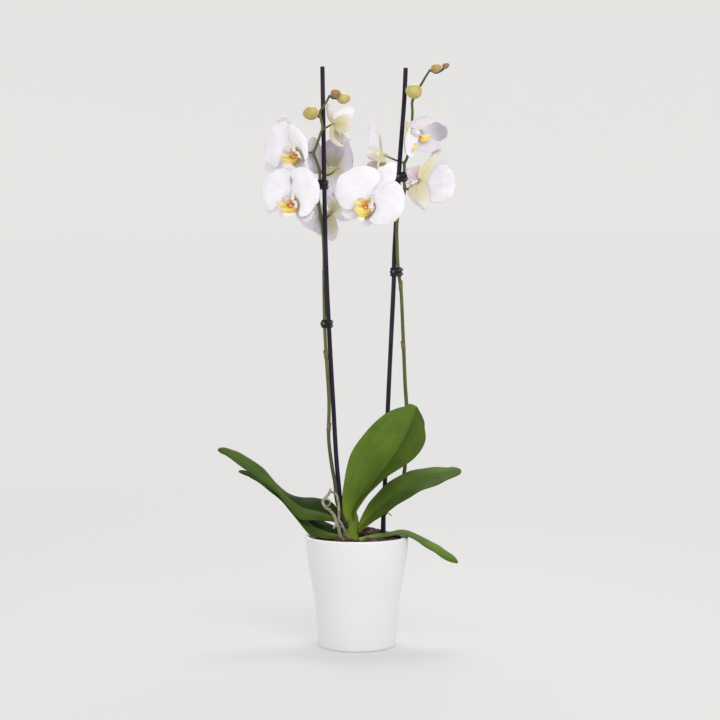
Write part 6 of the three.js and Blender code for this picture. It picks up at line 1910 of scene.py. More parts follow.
def build_spikes():
    ped_starts = {"left": [], "right": []}
    for f in FLOWERS:
        ped_starts["left" if f["name"].startswith("l") else "right"].append((A(f["ped"][0]), A(f["ped"][1])))
    for k, d in BUDS.items():
        ped_starts["left" if k in "abc" else "right"].append((A(d["ped"][0]), A(d["ped"][1])))
    for side, pts in (("left", SPIKE_LEFT), ("right", SPIKE_RIGHT)):
        p = Piece()
        line = spline(pts, 260)
        P, r = line[:, :3], line[:, 3].copy()
        s = np.concatenate([[0], np.cumsum(np.linalg.norm(np.diff(P, axis=0), axis=1))])
        rings = []
        for x, z, o in NODES[side]:
            i = near_line(P, z)
            rings.append((i, o))
            r = r + 0.42 * np.exp(-((s - s[i]) / 1.5) ** 2) + 0.12 * np.exp(-((s - s[i]) / 6) ** 2)
        for a, b in ped_starts[side]:
            i = int(np.argmin(np.linalg.norm(P - a, axis=1)))
            r = r + 0.35 * np.exp(-((s - s[i]) / 2.2) ** 2)
        r = r * (1 + 0.02 * np.array([noise.noise(Vector((v * 0.05, 3, 1))) for v in s]))
        low = 0.62 if side == "left" else 0.35
        z = P[:, 2]
        tint = np.clip(low * smooth(300, 235, z) + 0.25 * smooth(190, 160, z), 0, 1) if side == "left" else 0.25 * smooth(330, 200, z)
        tint = np.clip(tint + 0.5 * smooth(690, 720, z) * (1 if side == "right" else 0.5), 0, 1)
        p.tube(P, r, 16, 0, tint=tint)
        T = unit(np.gradient(P, axis=0))
        for i, o in rings:
            bract(p, P[i] - T[i] * 1.0, T[i], A(0.8 * o, -0.5, 0), r[i] - 0.35, 10.5, 1, 0.9)
        for a, b in ped_starts[side]:
            i = int(np.argmin(np.linalg.norm(P - a, axis=1)))
            d = b - a
            bract(p, P[i] - T[i] * 1.6, unit(T[i] * 0.8 + unit(d) * 0.6), d, r[i] - 0.5, 5.2, 1, 1.2, 1.5)
        p.make(f"spike_{side}_fine", [STEM, BRACT], f"spike_{side}")


def build_clips():
    lines_of = {"left": (spline(STAKE_LEFT, 400), spline([q[:3] for q in SPIKE_LEFT], 400)),
                "right": (spline(STAKE_RIGHT, 400), spline([q[:3] for q in SPIKE_RIGHT], 400))}
    for name, c in CLIPS.items():
        side = "left" if c["side"] == "l" else "right"
        st, sp = lines_of[side]
        a, b = st[near_line(st, c["z"])], sp[near_line(sp, c["z"])]
        d = b[:2] - a[:2]
        L = float(np.linalg.norm(d))
        ex = A(d[0] / L, d[1] / L, 0)
        ey = A(-ex[1], ex[0], 0)
        mid = (a + b) / 2
        mid[2] = c["z"]
        h = c["h"]
        p = Piece()
        # a closed band round both rods: outline offset, with rounded top and bottom edges
        nseg = 48

        def outline(off_a, off_b, zz, rib=0.0):
            pts = []
            half = nseg // 2
            for i in range(half):
                t = math.pi / 2 + math.pi * i / (half - 1)
                rr = off_a + rib * (0.5 + 0.5 * math.cos(9 * t))
                pts.append(mid + ex * (-L / 2 + rr * math.cos(t)) + ey * (rr * math.sin(t)) + A(0, 0, zz))
            for i in range(half):
                t = -math.pi / 2 + math.pi * i / (half - 1)
                rr = off_b + rib * (0.5 + 0.5 * math.cos(9 * t))
                pts.append(mid + ex * (L / 2 + rr * math.cos(t)) + ey * (rr * math.sin(t)) + A(0, 0, zz))
            return np.array(pts)
        oa, ob_, ia, ib = 4.9, 4.3, 3.15, 2.75
        rows = []
        for inset, zz in [(0.9, -h / 2), (0.35, -h / 2 + 0.08), (0.06, -h / 2 + 0.45), (0, -h / 2 + 1.0), (0.35, -h / 2 + 1.4), (0.35, -1.6), (0, -1.2), (0, 1.2), (0.35, 1.6),
                          (0.35, h / 2 - 1.4), (0, h / 2 - 1.0), (0.06, h / 2 - 0.45), (0.35, h / 2 - 0.08), (0.9, h / 2)]:
            rows.append(outline(oa - inset, ob_ - inset, zz, 0.28 if 0.3 < inset < 0.36 and abs(zz) < h / 2 - 0.5 else 0.0))
        for inset, zz in [(0, h / 2), (0, 0), (0, -h / 2)]:
            rows.append(outline(ia, ib, zz))
        rows.append(rows[0])
        G = np.array(rows[:-1])
        base = p.verts(G)
        idx = np.arange(G.shape[0] * nseg).reshape(G.shape[0], nseg) + base
        idx = np.vstack([idx, idx[:1]])
        U = np.repeat(np.linspace(0, 1, idx.shape[0])[:, None], nseg, 1)
        V = np.repeat((np.arange(nseg) / nseg)[None], idx.shape[0], 0)
        p.sheet(idx, U, V, 0, wrap=True)
        # the round boss on the outer side and two ribbed finger tabs; the tabs and the stud on the boss take the
        # lighter grey, a painted highlight
        bx = ex if ex[0] < 0 else -ex
        centre = mid + bx * (L / 2 + 1.2) + A(0, -2.2, 0)
        p.ball(centre, (4.3, 4.3, 4.1), 0, nu=14, nv=24)
        fx = -bx
        for zz in (-h * 0.24, h * 0.24):
            o = mid + fx * (L / 2 + 0.6) + A(0, -0.8, zz)
            n = 9
            pl = [o + fx * (t * 4.6) + A(0, -1.3 * t, 0) for t in np.linspace(0, 1, n)]
            rad = [1.9 + 0.35 * (k % 2) for k in range(n)]
            p.tube(pl, rad, 14, 1, ref=(0, 0, 1), squash=0.9)
        p.tube([centre + A(0, -3.4, 0), centre + A(0, -4.6, 0), centre + A(0, -4.9, 0)], [1.9, 1.8, 1.4], 18, 1, ref=(0, 0, 1))
        p.make(f"clip_{name}_fine", [CLIP_M, CLIP_HIGHLIGHT], f"clip_{name}")


# ---- leaves -----------------------------------------------------------------------------------------
LEAF_UP = {"a": (-0.5, -1, 0.3), "b": (-0.35, -0.4, 1), "c": (0, -0.2, 1), "d": (0, -0.1, 1), "e": (0, -0.1, 1)}
# painted shade for each leaf, one amount for each of its two halves
LEAF_PAINTED_SHADE = {"a": (0.0, 0.46), "b": (0.30, 0.58), "c": (0.0, 0.22), "d": (0.97, 0.60), "e": (1.0, 0.55)}


def leaf_grid(l, key, nu=52, nv=25, nc=9):
    rows = A(l["rows"])
    n = len(rows)
    x = np.linspace(0, n - 1, nu)
    a, m, b = (at_param(rows[:, k], x) for k in range(3))
    tip = A(l["tip"])
    ca, cm, cb = [], [], []
    s0 = [math.sin(math.pi / 2 * i / nc) for i in range(1, nc)]
    for s in s0:
        q = lerp(m[-1], tip, s)
        k = math.sqrt(1 - s * s)
        ca.append(q + (a[-1] - m[-1]) * k)
        cm.append(q)
        cb.append(q + (b[-1] - m[-1]) * k)
    a, m, b = np.vstack([a, ca]), np.vstack([m, cm]), np.vstack([b, cb])
    v = np.sin(np.linspace(-1, 1, nv) * math.pi / 2 * 0.86) / math.sin(math.pi / 2 * 0.86)
    P = np.zeros((len(a), nv, 3))
    for j, w in enumerate(v):
        P[:, j] = m + (a - m) * (-w) if w < 0 else m + (b - m) * w
    # each half bulges a little, and the midrib stays in a groove
    n_ = unit(np.cross(np.gradient(P, axis=0), np.gradient(P, axis=1)))
    up = unit(A(LEAF_UP[key]))
    sign = np.sign(np.mean(n_[:, nv // 2] @ up)) or 1.0
    half = 0.5 * (np.linalg.norm(a - m, axis=1) + np.linalg.norm(b - m, axis=1))
    bulge = np.clip(half * 0.085, 0, 2.0)[:, None] * (1 - (2 * np.abs(v)[None] - 1) ** 2)
    groove = -0.35 * np.exp(-(v[None] / 0.06) ** 2) * np.ones((len(a), 1))
    uu = np.concatenate([np.linspace(0, 1, nu) * 0.94, 0.94 + 0.06 * A(s0)])
    wave = 0.55 * np.array([[noise.noise(Vector((u * 5.0, w * 1.3, ord(key)))) for w in v] for u in uu]) * smooth(0.03, 0.25, uu)[:, None]
    edge = 0.45 * np.sin(uu * 31 + ord(key))[:, None] * (np.abs(v)[None] ** 6) * smooth(0.1, 0.3, uu)[:, None] * smooth(1.0, 0.85, uu)[:, None]
    P = P + n_ * sign * (bulge + groove)[..., None] + n_ * (wave + edge)[..., None]
    return P, tip, uu, v, sign


def build_leaves():
    under = []
    for key, l in LEAVES.items():
        P, tip, uu, v, sign = leaf_grid(l, key)
        p = Piece()
        mats = (0, 1) if sign > 0 else (1, 0)
        thick = 2.5 * (1 - 0.35 * np.abs(v)[None] ** 1.5) * np.ones((len(P), 1))
        thick = thick + 0.5 * np.exp(-(v[None] / 0.08) ** 2)
        axis = 0 if key in "ab" else 1
        order = 1 if (P[:, 0, axis] - P[:, -1, axis]).mean() * (1 if axis == 0 else -1) < 0 else -1
        # painted shade: one half of each leaf darker than the other; leaf d takes an even middle amount towards its tip
        lo, hi = LEAF_PAINTED_SHADE[key]
        tone = lo + (hi - lo) * smooth(-0.12, 0.12, v * order)[None] * np.ones((len(P), 1))
        if key == "d":
            tone = lerp(np.full_like(tone, 0.50), tone, smooth(0.58, 0.42, uu)[:, None])
        p.blade(P, tip, thick, mats, u=np.append(uu, 1.0), v=v, tint=tone, soft=0.95)
        p.make(f"leaf_{key}_fine", [LEAF_T, LEAF_U], f"leaf_{key}")
        under.append(P[::2, ::3].reshape(-1, 3))
    return np.vstack(under)


# ---- crown and roots --------------------------------------------------------------------------------
def build_crown():
    p = Piece()
    n, seg = 26, 40
    z0, z1 = CROWN["z0"], CROWN["z1"]
    rings = []
    for i in range(n):
        t = i / (n - 1)
        z = lerp(z0, z1, t)
        k = float(np.interp(t, [0, 0.1, 0.3, 0.62, 0.85, 0.95, 1.0], [0.75, 0.95, 1.0, 1.0, 0.88, 0.7, 0.35]))
        ring = []
        for j in range(seg):
            a = 2 * math.pi * j / seg
            fold = 0.06 * math.sin(2 * a + t * 2.0) + 0.035 * abs(math.sin(a * 3 + t * 3)) + 0.03 * noise.noise(Vector((math.cos(a) * 2, math.sin(a) * 2, z * 0.09)))
            ring.append((CROWN["x"] + CROWN["rx"] * k * (1 + fold) * math.cos(a), CROWN["y"] + CROWN["ry"] * k * (1 + fold) * math.sin(a), z))
        rings.append(ring)
    R = A(rings)
    base = p.verts(R)
    idx = np.arange(n * seg).reshape(n, seg) + base
    U = np.repeat(np.linspace(0, 1, n)[:, None], seg, 1)
    V = np.repeat((np.arange(seg) / seg)[None], n, 0)
    p.sheet(idx, U, V, 0, wrap=True)
    c0, c1 = p.verts([(CROWN["x"], CROWN["y"], z0)]), p.verts([(CROWN["x"], CROWN["y"], z1 + 0.4)])
    for j in range(seg):
        k = (j + 1) % seg
        p.face([idx[0, k], idx[0, j], c0], [(0, 0)] * 3, 0)
        p.face([idx[-1, j], idx[-1, k], c1], [(1, 0)] * 3, 0)
    P, u, v = row_grid(SHEATH["rows"], SHEATH["tip"], 22, 15)
    P = P + A(0, -1, 0) * (0.35 * np.cos(v * 9)[None] * smooth(0.0, 0.4, u)[:, None] * smooth(1.0, 0.6, u)[:, None])[..., None]
    p.blade(P, A(SHEATH["tip"]), 1.6, (2, 2), u=np.append(u, 1) * 0.5, v=v)
    # a dry root end that hooks out beside the right stake
    sr = spline(STAKE_RIGHT, 400)
    q = sr[near_line(sr, 166.0)]
    hook = [q + A(2.0, 5.0, -26), q + A(2.2, 5.0, -12), q + A(2.6, 4.0, -3.5), q + A(6.0, 2.5, 0.2), q + A(10.4, 1.5, -3.6)]
    p.tube(spline(hook, 30), np.linspace(1.0, 0.55, 31), 10, 3, tint=0.8)
    seed = 0
    for key, r in ROOTS.items():
        seed += 3
        n = 90 if len(r["pts"]) > 6 else 26
        more = {"b": [[-31.2, -19.0, 197.0], [-34.0, -22.0, 196.9]], "c": [[-36.6, -23.0, 179.9], [-39.4, -22.5, 180.8]]}.get(key, [])
        line = spline(r["pts"] + more, n)
        wig = np.stack([np.array([noise.noise(Vector((i * 0.16, k * 5 + seed, 0.5))) for i in range(n + 1)]) for k in range(3)], 1)
        line = line + wig * 0.55 * np.sin(np.linspace(0, math.pi, n + 1))[:, None]
        t = np.linspace(0, 1, n + 1)
        rad = 0.88 * (r["r0"] + (r["r1"] - r["r0"]) * t)[:, None] * np.ones((1, 14))
        for i in range(n + 1):
            for j in range(14):
                a = 2 * math.pi * j / 14
                rad[i, j] *= 0.97 + 0.14 * noise.noise(Vector((math.cos(a) * 1.2 + seed, math.sin(a) * 1.2, i * 0.13)))
        cap = np.clip(np.sqrt(np.clip((1 - t) * (n / 3.0), 0.02, 1)), 0.15, 1)[:, None]
        p.tube(line, rad * cap, 14, 1, tint=np.clip(smooth(0.86, 1.0, t), 0, 1) * (0.9 if key == "d" else 0.35))
    p.make("crown_and_roots", [CROWN_M, ROOT, LEAF_T, STEM], "crown")


# ---- buds -------------------------------------------------------------------------------------------
BUD_TINT = {"a": 0.12, "b": 0.85, "c": 0.0, "d": 0.0, "e": 0.45, "f": 0.9}


def build_buds():
    for key, d in BUDS.items():
        p = Piece()
        a = math.radians(d["ang"])
        X = A(math.cos(a), 0, math.sin(a))
        Y = A(0, 1, 0)
        Z = np.cross(X, Y)
        l, r = d["l"], d["r"]

        def shape(q):
            x, y, z = q[..., 0], q[..., 1], q[..., 2]
            w = np.sqrt(y * y + z * z)
            ang = np.arctan2(z, y)
            k = 1 + 0.035 * np.cos(3 * ang + 0.6) - 0.045 * np.exp(-(np.sin(1.5 * ang + 0.9) / 0.16) ** 2) * np.clip(w, 0, 1)
            taper = 1 - 0.10 * x
            point = x + 0.05 * np.clip(x, 0, 1) ** 6
            return np.stack([point, y * k * taper, z * k * taper], -1)
        p.ball(d["c"], (l, r, r), 0, basis=[X, Y, Z], nu=30, nv=54, tint=BUD_TINT[key], shape=shape)
        line = spline(d["ped"] + [list(A(d["c"]) - X * l * 0.82)] if key != "f" else d["ped"], 24)
        rr = np.interp(np.linspace(0, 1, 25), [0, 0.6, 1], [1.15, 1.25, 1.9])
        p.tube(line, rr, 12, 1, tint=0.25)
        p.make(f"bud_{key}_fine", [BUD, STEM], f"bud_{key}")


# ---- flowers ----------------------------------------------------------------------------------------
def basis(f):
    az, el, roll = (math.radians(f[k]) for k in ("az", "el", "roll"))
    F = A(math.sin(az) * math.cos(el), -math.cos(az) * math.cos(el), math.sin(el))
    R0 = unit(np.cross(A(0, 0, 1), F))
    U0 = np.cross(F, R0)
    return F, R0 * math.cos(roll) + U0 * math.sin(roll), U0 * math.cos(roll) - R0 * math.sin(roll)


def tepal(f, t, nu, nv, seed, petal):
    rows = A(t["rows"])
    c = A(f["c"])
    if np.linalg.norm(rows[0][1] - c) > 6.0 and f["name"] in ("r2", "r3", "r4", "l4") and t.get("claw", True):
        near = c + (rows[0] - rows[0][1]) * 0.35
        rows = np.concatenate([near[None], rows], 0)
    P, u, v = row_grid(rows, t["tip"], nu, nv)
    nrm = unit(np.cross(np.gradient(P, axis=0), np.gradient(P, axis=1)))
    side = np.sign(np.mean(nrm[2:-2, :, 1])) or 1.0
    toward = nrm * -side
    half = 0.5 * np.linalg.norm(P[:, 0] - P[:, -1], axis=1)
    W = float(half.max())
    k = min(1.0, W / (24.0 if petal else 17.0)) ** 1.3
    uu, vv = np.meshgrid(u, v, indexing="ij")
    grow = smooth(0.08, 0.45, uu)
    inner = 1.0 if t["see"] == "f" else -1.0
    groove = -0.30 * np.exp(-(vv * W / 1.5) ** 2) * smooth(0.0, 0.15, uu) * smooth(1.0, 0.75, uu) * inner
    radial = np.arctan2(vv * half[:, None], uu * 42.0 * W / 24.0 + 5)
    edge = np.maximum(np.abs(vv) ** 4, smooth(0.82, 1.0, uu))
    folds = 0.42 * np.sin(radial * 17 + seed * 1.7) * smooth(0.10, 0.6, uu) * (0.35 + 0.65 * np.abs(vv))
    folds = folds + 0.05 * np.sin(radial * 43 + seed) * smooth(0.25, 0.8, uu)
    ruffle = 0.55 * np.sin(radial * 9 + seed * 2.3) * edge * grow
    broad = 0.8 * np.array([[noise.noise(Vector((a * 2.0, b * 1.5, seed * 3.1))) for b in v] for a in u]) * grow
    P = P + toward * ((groove + k * (folds + ruffle + broad))[..., None])
    tone = np.zeros(uu.shape + (3,))
    # painted shade, from base to tip, on tepals that lie behind others or turn from the light
    s0, s1 = t.get("painted_shade", (0, 0))
    tone[..., 0] = s0 + (s1 - s0) * smooth(0.0, 0.8, uu)
    if petal or t["see"] == "f":
        spread = 1 - smooth(0.25, 0.95, np.abs(vv))
    else:
        spread = 1 - 0.55 * smooth(0.35, 1.0, np.abs(vv))
    a, r = t.get("fl", (0, 1))
    tone[..., 1] = a * (1 - smooth(0.15 * r, r, uu)) * (spread if r < 0.9 else 1 - 0.35 * smooth(0.4, 1.0, np.abs(vv)))
    a, r = t.get("bl", (0, 1))
    tone[..., 2] = a * (1 - smooth(0.5 * r, 1.1 * r, uu))
    return P, u, v, tone, side


def add_tepal(p, f, t, nu, nv, seed, petal, thick):
    P, u, v, tone, side = tepal(f, t, nu, nv, seed, petal)
    # blade's first side lies along the surface normal
    first_to_viewer = side < 0
    inner_first = first_to_viewer == (t["see"] == "f")
    p.blade(P, A(t["tip"]), thick, (0, 1) if inner_first else (1, 0), u=np.append(u, 1), v=v, tint=tone)


def local(f, B):
    F, R, U = B
    return lambda q: A(f["c"]) + (np.asarray(q, float)[..., 0:1] * R + np.asarray(q, float)[..., 1:2] * U + np.asarray(q, float)[..., 2:3] * F) * f["k"]


def bar(p, d, nu, nv, thick, tone, seed, mat=0):
    # one lobe of a lip from its rows: tone is (base, tip, lift at the edges)
    P, u, v = row_grid(d["rows"], d["tip"], nu, nv, 6)
    uu, vv = np.meshgrid(u, v, indexing="ij")
    nrm = unit(np.cross(np.gradient(P, axis=0), np.gradient(P, axis=1)))
    P = P + nrm * (0.22 * np.sin(uu * 13 + seed + vv * 3) * (0.3 + np.abs(vv)) + 0.18 * np.array([[noise.noise(Vector((a * 5, b * 3, seed))) for b in v] for a in u]))[..., None]
    g = np.clip(tone[0] + (tone[1] - tone[0]) * smooth(0.0, 0.62, uu) + tone[2] * np.abs(vv) ** 2, 0, 1)
    p.blade(P, A(d["tip"]), thick, (mat, mat), u=np.append(u, 1), v=v, tint=g)


def build_lip_parts(f, B, d):
    # a lip that faces the viewer: heart, side lobes, lower lobe, column, where given a grey-brown hood of painted shade
    # over its hollow, and a dark strip along the far lobe that is partly its olive-brown edge and partly painted shade
    F, R, U = B
    p = Piece()
    V = A(0, -1, 0)
    X, Z = A(1, 0, 0), A(0, 0, 1)
    r = d["heart"]["r"]
    h = A(d["heart"]["c"])
    r = [r[0] * 0.72, r[1] * 0.80]
    warm = 0.12 if f["name"] == "r4" else 1.0
    p.ball(h, (r[0], r[1], 2.6), 0, basis=[X, Z, V], nu=14, nv=22, tint=0.92 * warm)
    for k, (dx, dz) in enumerate(((-0.45, 0.35), (0.42, 0.25), (0.0, -0.5))):
        p.ball(h + A(dx * r[0], -1.3, dz * r[1]), (r[0] * 0.48, r[1] * 0.46, 2.4), 0, basis=[X, Z, V], nu=10, nv=14, tint=(0.8, 0.95, 0.7)[k] * warm)
    # stem of the lip, back to the flower's middle
    p.tube(spline([A(f["c"]) + F * 0.4, lerp(A(f["c"]), h, 0.5), h], 8), 2.2, 14, 0, tint=0.75 * warm)
    # the hood: a cup over the lip's hollow, grey-brown as painted shade
    if "hood" in d:
        rr = d["hood"]["r"]
        p.ball(A(d["hood"]["c"]) - V * 0.8, (rr[0] * 1.0, rr[1] * 0.95, 2.4), 1, basis=[X, Z, V], nu=16, nv=24, tint=0.30,
               shape=lambda q: q + np.stack([0 * q[..., 0], 0.10 * (q[..., 0] ** 2) * -1.0, 0 * q[..., 0]], -1))
    hot, cool = {"r3": (0.60, 0.40), "r4": (0.75, 0.35)}.get(f["name"], (0.80, 0.38))
    bar(p, d["barA"], 16, 11, 1.0, (hot, cool, -0.12), 1.0, 1 if f["name"] == "r4" else 0)
    bar(p, d["barB"], 16, 11, 1.0, (hot, cool, -0.12), 2.0, 1 if f["name"] == "r4" else 0)
    if f["name"] in ("l1", "l2", "r1"):
        ra, rb = A(d["barA"]["rows"]), A(d["barB"]["rows"])
        rows = [[ra[i][2] + V * 0.4, (ra[i][2] + rb[i][0]) / 2 + V * 0.2, rb[i][0] + V * 0.4] for i in range(3)]
        bar(p, dict(rows=rows, tip=(A(d["barA"]["tip"]) + A(d["barB"]["tip"])) / 2 + A(6.5, 1.5, 0)), 14, 9, 0.9, (0.95, 0.62, -0.3), 4.0)
    if "white" in d:
        bar(p, d["white"], 10, 11, 1.0, (0.42, 0.0, 0.05), 3.0)
    c = d["column"]
    line = spline(c["pts"], 14)
    t = np.linspace(0, 1, 15)
    base = A(f["c"]) + F * 0.3
    line = np.vstack([base, line])
    rad = np.append([0.8], np.interp(t, [0, 0.25, 0.7, 0.92, 1], [0.8, 1.0, 1.1, 0.95, 0.5])) * c["r"]
    p.tube(line, rad, 16, 1, ref=(0, -1, 0))
    e = d["edge"]
    q = np.hstack([A(e["pts"]), A(e["r"])[:, None]])
    q = spline(q, 26)
    # a curled strip, broad in depth, dark olive-brown: partly the far lobe's edge colour and partly painted shade
    p.tube(q[:, :3], q[:, 3] * 0.72, 12, 2, ref=(0, -1, 0), squash=2.2)
    p.make(f"{f['name']}_lip_fine", [LIP, COLUMN, LIP_EDGE_AND_SHADE], f"{f['name']}_lip")


PALE_LIPS = ("r2", "r4", "l4")


def build_lip(f, B):
    F, R, U = B
    k = f["k"]
    L0 = local(f, B)
    off = F * (4.5 if f["name"] in ("l3a", "l3b") else 0.0)
    L = lambda q: L0(q) + off
    p = Piece()
    if off.any():
        p.tube([A(f["c"]) - F, A(f["c"]) + off + F * 3], 2.0, 14, 1)
    ton = (lambda g: g * 0.22) if f["name"] in PALE_LIPS else (lambda g: g)
    # column: waisted, with a hooded end and its cap
    line = spline(A([(0, 0.2, 0.6), (0, 0.35, 2.4), (0, 0.2, 4.6), (0, -0.2, 6.8), (0, -0.75, 8.6), (0, -1.15, 9.5)]), 22)
    t = np.linspace(0, 1, 23)
    rad = np.interp(t, [0, 0.1, 0.3, 0.55, 0.78, 0.92, 1.0], [2.1, 1.9, 2.15, 2.45, 2.65, 2.2, 0.9]) * k
    p.tube(L(line), rad, 20, 1, ref=tuple(U), squash=0.92)
    p.ball(L((0, -1.1, 9.1)), (1.75 * k, 1.5 * k, 1.35 * k), 1, basis=[R, U, F], nu=10, nv=16)
    for m in (-1, 1):   # wings beside the stigma
        p.ball(L((m * 1.9, -1.1, 6.6)), (0.7 * k, 1.1 * k, 1.9 * k), 1, basis=[R, U, F], nu=8, nv=12)
    # root and callus
    p.ball(L((0, -2.5, 3.9)), (2.3 * k, 1.7 * k, 2.4 * k), 0, basis=[R, U, F], nu=10, nv=16, tint=ton(0.75))
    for m in (-1, 1):
        p.ball(L((m * 1.15, -3.3, 6.5)), (1.15 * k, 1.5 * k, 1.5 * k), 0, basis=[R, U, F], nu=10, nv=14, tint=ton(0.85))
    # middle lobe: narrow claw, broad wings, tapered end
    mid = patch([
        [(-1.6, -2.4, 3.6), (0, -3.2, 3.2), (1.6, -2.4, 3.6)],
        [(-2.0, -4.6, 5.0), (0, -5.6, 5.2), (2.0, -4.6, 5.0)],
        [(-3.0, -7.0, 6.4), (0, -7.8, 7.2), (3.0, -7.0, 6.4)],
        [(-6.4, -9.6, 6.6), (0, -10.2, 8.8), (6.4, -9.6, 6.6)],
        [(-7.6, -12.0, 7.2), (0, -12.6, 9.8), (7.6, -12.0, 7.2)],
        [(-5.4, -14.8, 8.2), (0, -15.2, 10.0), (5.4, -14.8, 8.2)],
        [(-3.2, -17.8, 8.8), (0, -18.2, 9.8), (3.2, -17.8, 8.8)],
        [(-1.5, -20.0, 8.8), (0, -20.2, 9.2), (1.5, -20.0, 8.8)]], 26, 14)
    vv = np.linspace(-1, 1, mid.shape[1])
    uu = np.linspace(0, 1, mid.shape[0])
    mid = mid + A(0, 0, 1) * (0.25 * np.sin(uu * 22)[:, None] * np.abs(vv)[None] ** 3)[..., None]
    g = np.clip(0.95 - 0.62 * smooth(0.10, 0.55, uu)[:, None] - 0.55 * smooth(0.52, 0.80, uu)[:, None] * (1 - 0.75 * np.abs(vv)[None] ** 2), 0, 1) * np.ones((1, len(vv)))
    p.blade(L(mid), L((0, -21.0, 8.6)), 1.3 * k, (0, 0), u=np.linspace(0, 1, len(uu) + 1), v=vv, tint=ton(g))
    for m in (-1, 1):   # two tendrils at its end
        q = spline(A([(m * 0.5, -20.2, 8.9), (m * 1.3, -21.6, 9.6), (m * 2.8, -22.0, 10.8), (m * 3.9, -21.0, 11.9), (m * 3.7, -19.6, 12.3)]), 18)
        p.tube(L(q), np.linspace(0.55, 0.16, 19) * k, 8, 0, tint=0.05, ref=tuple(F))
        side = patch([
            [(m * 1.2, -4.4, 3.6), (m * 1.6, -2.6, 4.4), (m * 1.4, -1.4, 5.0)],
            [(m * 3.2, -5.6, 4.6), (m * 4.0, -3.2, 5.2), (m * 3.4, -1.2, 5.4)],
            [(m * 5.6, -6.4, 6.0), (m * 6.4, -3.2, 6.4), (m * 5.6, -0.6, 6.2)],
            [(m * 7.8, -6.4, 7.6), (m * 8.5, -2.7, 7.9), (m * 7.3, 0.4, 7.2)],
            [(m * 9.3, -5.2, 9.5), (m * 9.8, -2.0, 9.6), (m * 8.4, 1.2, 8.6)],
            [(m * 9.5, -3.2, 11.2), (m * 9.5, -1.2, 11.4), (m * 8.6, 0.9, 10.8)]], 18, 12)
        sv = np.linspace(-1, 1, side.shape[1])
        su = np.linspace(0, 1, side.shape[0])
        sg = np.clip(0.88 - 0.42 * smooth(0.15, 0.55, su)[:, None] - 0.30 * smooth(0.8, 1.0, su)[:, None] * np.abs(sv)[None], 0, 1) * np.ones((1, len(sv)))
        p.blade(L(side), L((m * 8.7, -0.2, 12.3)), 1.1 * k, (0, 0), u=np.linspace(0, 1, len(su) + 1), v=sv, tint=ton(sg))
    p.make(f"{f['name']}_lip_fine", [LIP, COLUMN], f"{f['name']}_lip")


def build_flowers():
    seed = 0
    for f in FLOWERS:
        B = basis(f)
        F, R, U = B
        k = f["k"]
        T = TEPALS[f["name"]]
        back = A(f["c"]) - F * 2.4 * k
        p = Piece()
        for key in ("dorsal", "latl", "latr"):
            seed += 1
            add_tepal(p, f, T[key], 30, 21, seed * 1.37, False, 1.0)
        # knob and stalk
        p.ball(back, (3.0 * k, 2.7 * k, 2.7 * k), 1, basis=[F, R, U], nu=12, nv=20, tint=0.35)
        p.tint[-2][:, 1] = p.tint[-1][:, 1] = 1.0
        line = spline(f["ped"] + [list(back)], 46)
        t = np.linspace(0, 1, 47)
        rr = np.interp(t, [0, 0.06, 0.3, 0.8, 1], [1.5, 1.2, 1.15, 1.45, 2.2])
        ribs = rr[:, None] * (1 + 0.05 * np.cos(6 * 2 * np.pi * np.arange(18) / 18)[None])
        p.tube(line, ribs, 18, 2, tint=0.9 * smooth(0.35, 1.0, t))
        p.make(f"{f['name']}_sepals_fine", [SEPAL_F, SEPAL_B, STALK], f"{f['name']}_sepals")
        # left and right are the flower's own, so a flower seen from behind has them the other way round
        sides = ("right", "left") if f["name"] in ("l3a", "l3b") else ("left", "right")
        for key, side in zip(("petl", "petr"), sides):
            seed += 1
            q = Piece()
            add_tepal(q, f, T[key], 40, 35, seed * 1.37, True, 0.85)
            q.make(f"{f['name']}_petal_{side}_fine", [PETAL_F, PETAL_B], f"{f['name']}_petal_{side}")
        if f["name"] in LIPS:
            build_lip_parts(f, B, LIPS[f["name"]])
        else:
            build_lip(f, B)


build_pots()
build_stakes()
build_spikes()
build_clips()
LEAF_POINTS = build_leaves()
build_crown()
build_bark(LEAF_POINTS[(np.hypot(LEAF_POINTS[:, 0], LEAF_POINTS[:, 1]) < 64) & (LEAF_POINTS[:, 2] < 170)])
build_buds()
build_flowers()

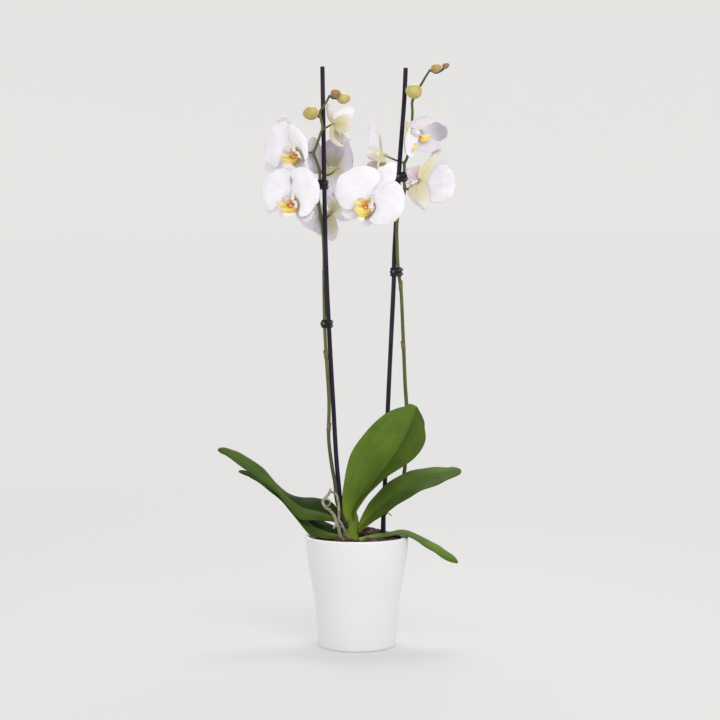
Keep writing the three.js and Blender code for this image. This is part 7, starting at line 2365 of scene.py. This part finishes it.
# ---- floor, light, camera ---------------------------------------------------------------------------
def build_stage():
    # a wide paper bowl: flat floor that curves up into a wall all round
    prof = [(0.25, 0.0), (0.8, 0.0), (1.6, 0.0), (2.3, 0.0)]
    for i in range(1, 17):
        a = math.pi / 2 * i / 16
        prof.append((2.3 + 1.1 * math.sin(a), 1.1 - 1.1 * math.cos(a)))
    prof += [(3.4, 2.4), (3.4, 3.8)]
    seg = 96
    verts, faces = [(0, 0, 0)], []
    for r, z in prof:
        verts += [(r * math.cos(2 * math.pi * k / seg), r * math.sin(2 * math.pi * k / seg), z) for k in range(seg)]
    for k in range(seg):
        faces.append((0, 1 + k, 1 + (k + 1) % seg))
    for i in range(len(prof) - 1):
        for k in range(seg):
            a, b = 1 + i * seg + k, 1 + i * seg + (k + 1) % seg
            faces.append((a, a + seg, b + seg, b))
    me = bpy.data.meshes.new("bowl")
    me.from_pydata(verts, [], faces)
    me.polygons.foreach_set("use_smooth", [True] * len(faces))
    ob = bpy.data.objects.new("bowl", me)
    bpy.context.scene.collection.objects.link(ob)
    M = Mat("paper_bowl", 0.9, (0.345, 0.343, 0.338), Specular_IOR_Level=0.0)
    M.b.inputs["Emission Color"].default_value = (0.783, 0.775, 0.762, 1)
    ob_co = M.obj()
    x, y, z = M.xyz(ob_co)
    r = M.math("SQRT", M.math("ADD", M.math("MULTIPLY", x, x), M.math("MULTIPLY", y, y)))
    # the paper glows a little more where it turns up, so that the floor runs into the wall with no line
    lift = M.math("MULTIPLY", M.step(r, 0.7, 2.7, 0.0, 0.135), M.step(z, 0.10, 0.85, 1.0, 0.0))
    M.put(M.b.inputs["Emission Strength"], M.math("ADD", M.step(z, 0.0, 1.0, 0.482, 0.665), lift))
    me.materials.append(M.m)
    return ob


def area(name, loc, target, size, power, color=(1, 1, 1)):
    d = bpy.data.lights.new(name, "AREA")
    d.shape, d.size, d.size_y, d.energy, d.color = "RECTANGLE", size[0], size[1], power, color
    ob = bpy.data.objects.new(name, d)
    bpy.context.scene.collection.objects.link(ob)
    ob.location = loc
    ob.rotation_euler = (Vector(target) - Vector(loc)).to_track_quat("-Z", "Y").to_euler()
    return ob


def build_light():
    w = bpy.data.worlds.new("studio")
    bpy.context.scene.world = w
    w.use_nodes = True
    w.node_tree.nodes["Background"].inputs[0].default_value = (0.93, 0.95, 1.0, 1)
    w.node_tree.nodes["Background"].inputs[1].default_value = 0.45
    area("key", (0.75, -2.0, 2.0), (0, 0, 0.40), (1.3, 1.3), 29, (1.0, 0.99, 0.98))
    area("fill", (-1.6, -1.6, 1.1), (0, 0, 0.4), (1.2, 1.6), 3, (0.96, 0.97, 1.0))
    area("top", (0.1, 0.8, 2.2), (0, 0, 0.1), (1.0, 0.8), 25)


def build_camera():
    c = bpy.data.cameras.new("camera")
    c.sensor_fit, c.sensor_width = "HORIZONTAL", 36.0
    c.lens = 1355.5 / 720 * 36
    c.clip_start, c.clip_end = 0.05, 50
    ob = bpy.data.objects.new("camera", c)
    bpy.context.scene.collection.objects.link(ob)
    ob.location = (0.00384, -1.735, 0.3642)
    ob.rotation_euler = (math.pi / 2, 0, 0)
    bpy.context.scene.camera = ob


build_stage()
build_light()
build_camera()
bpy.context.scene.view_settings.view_transform = "Standard"
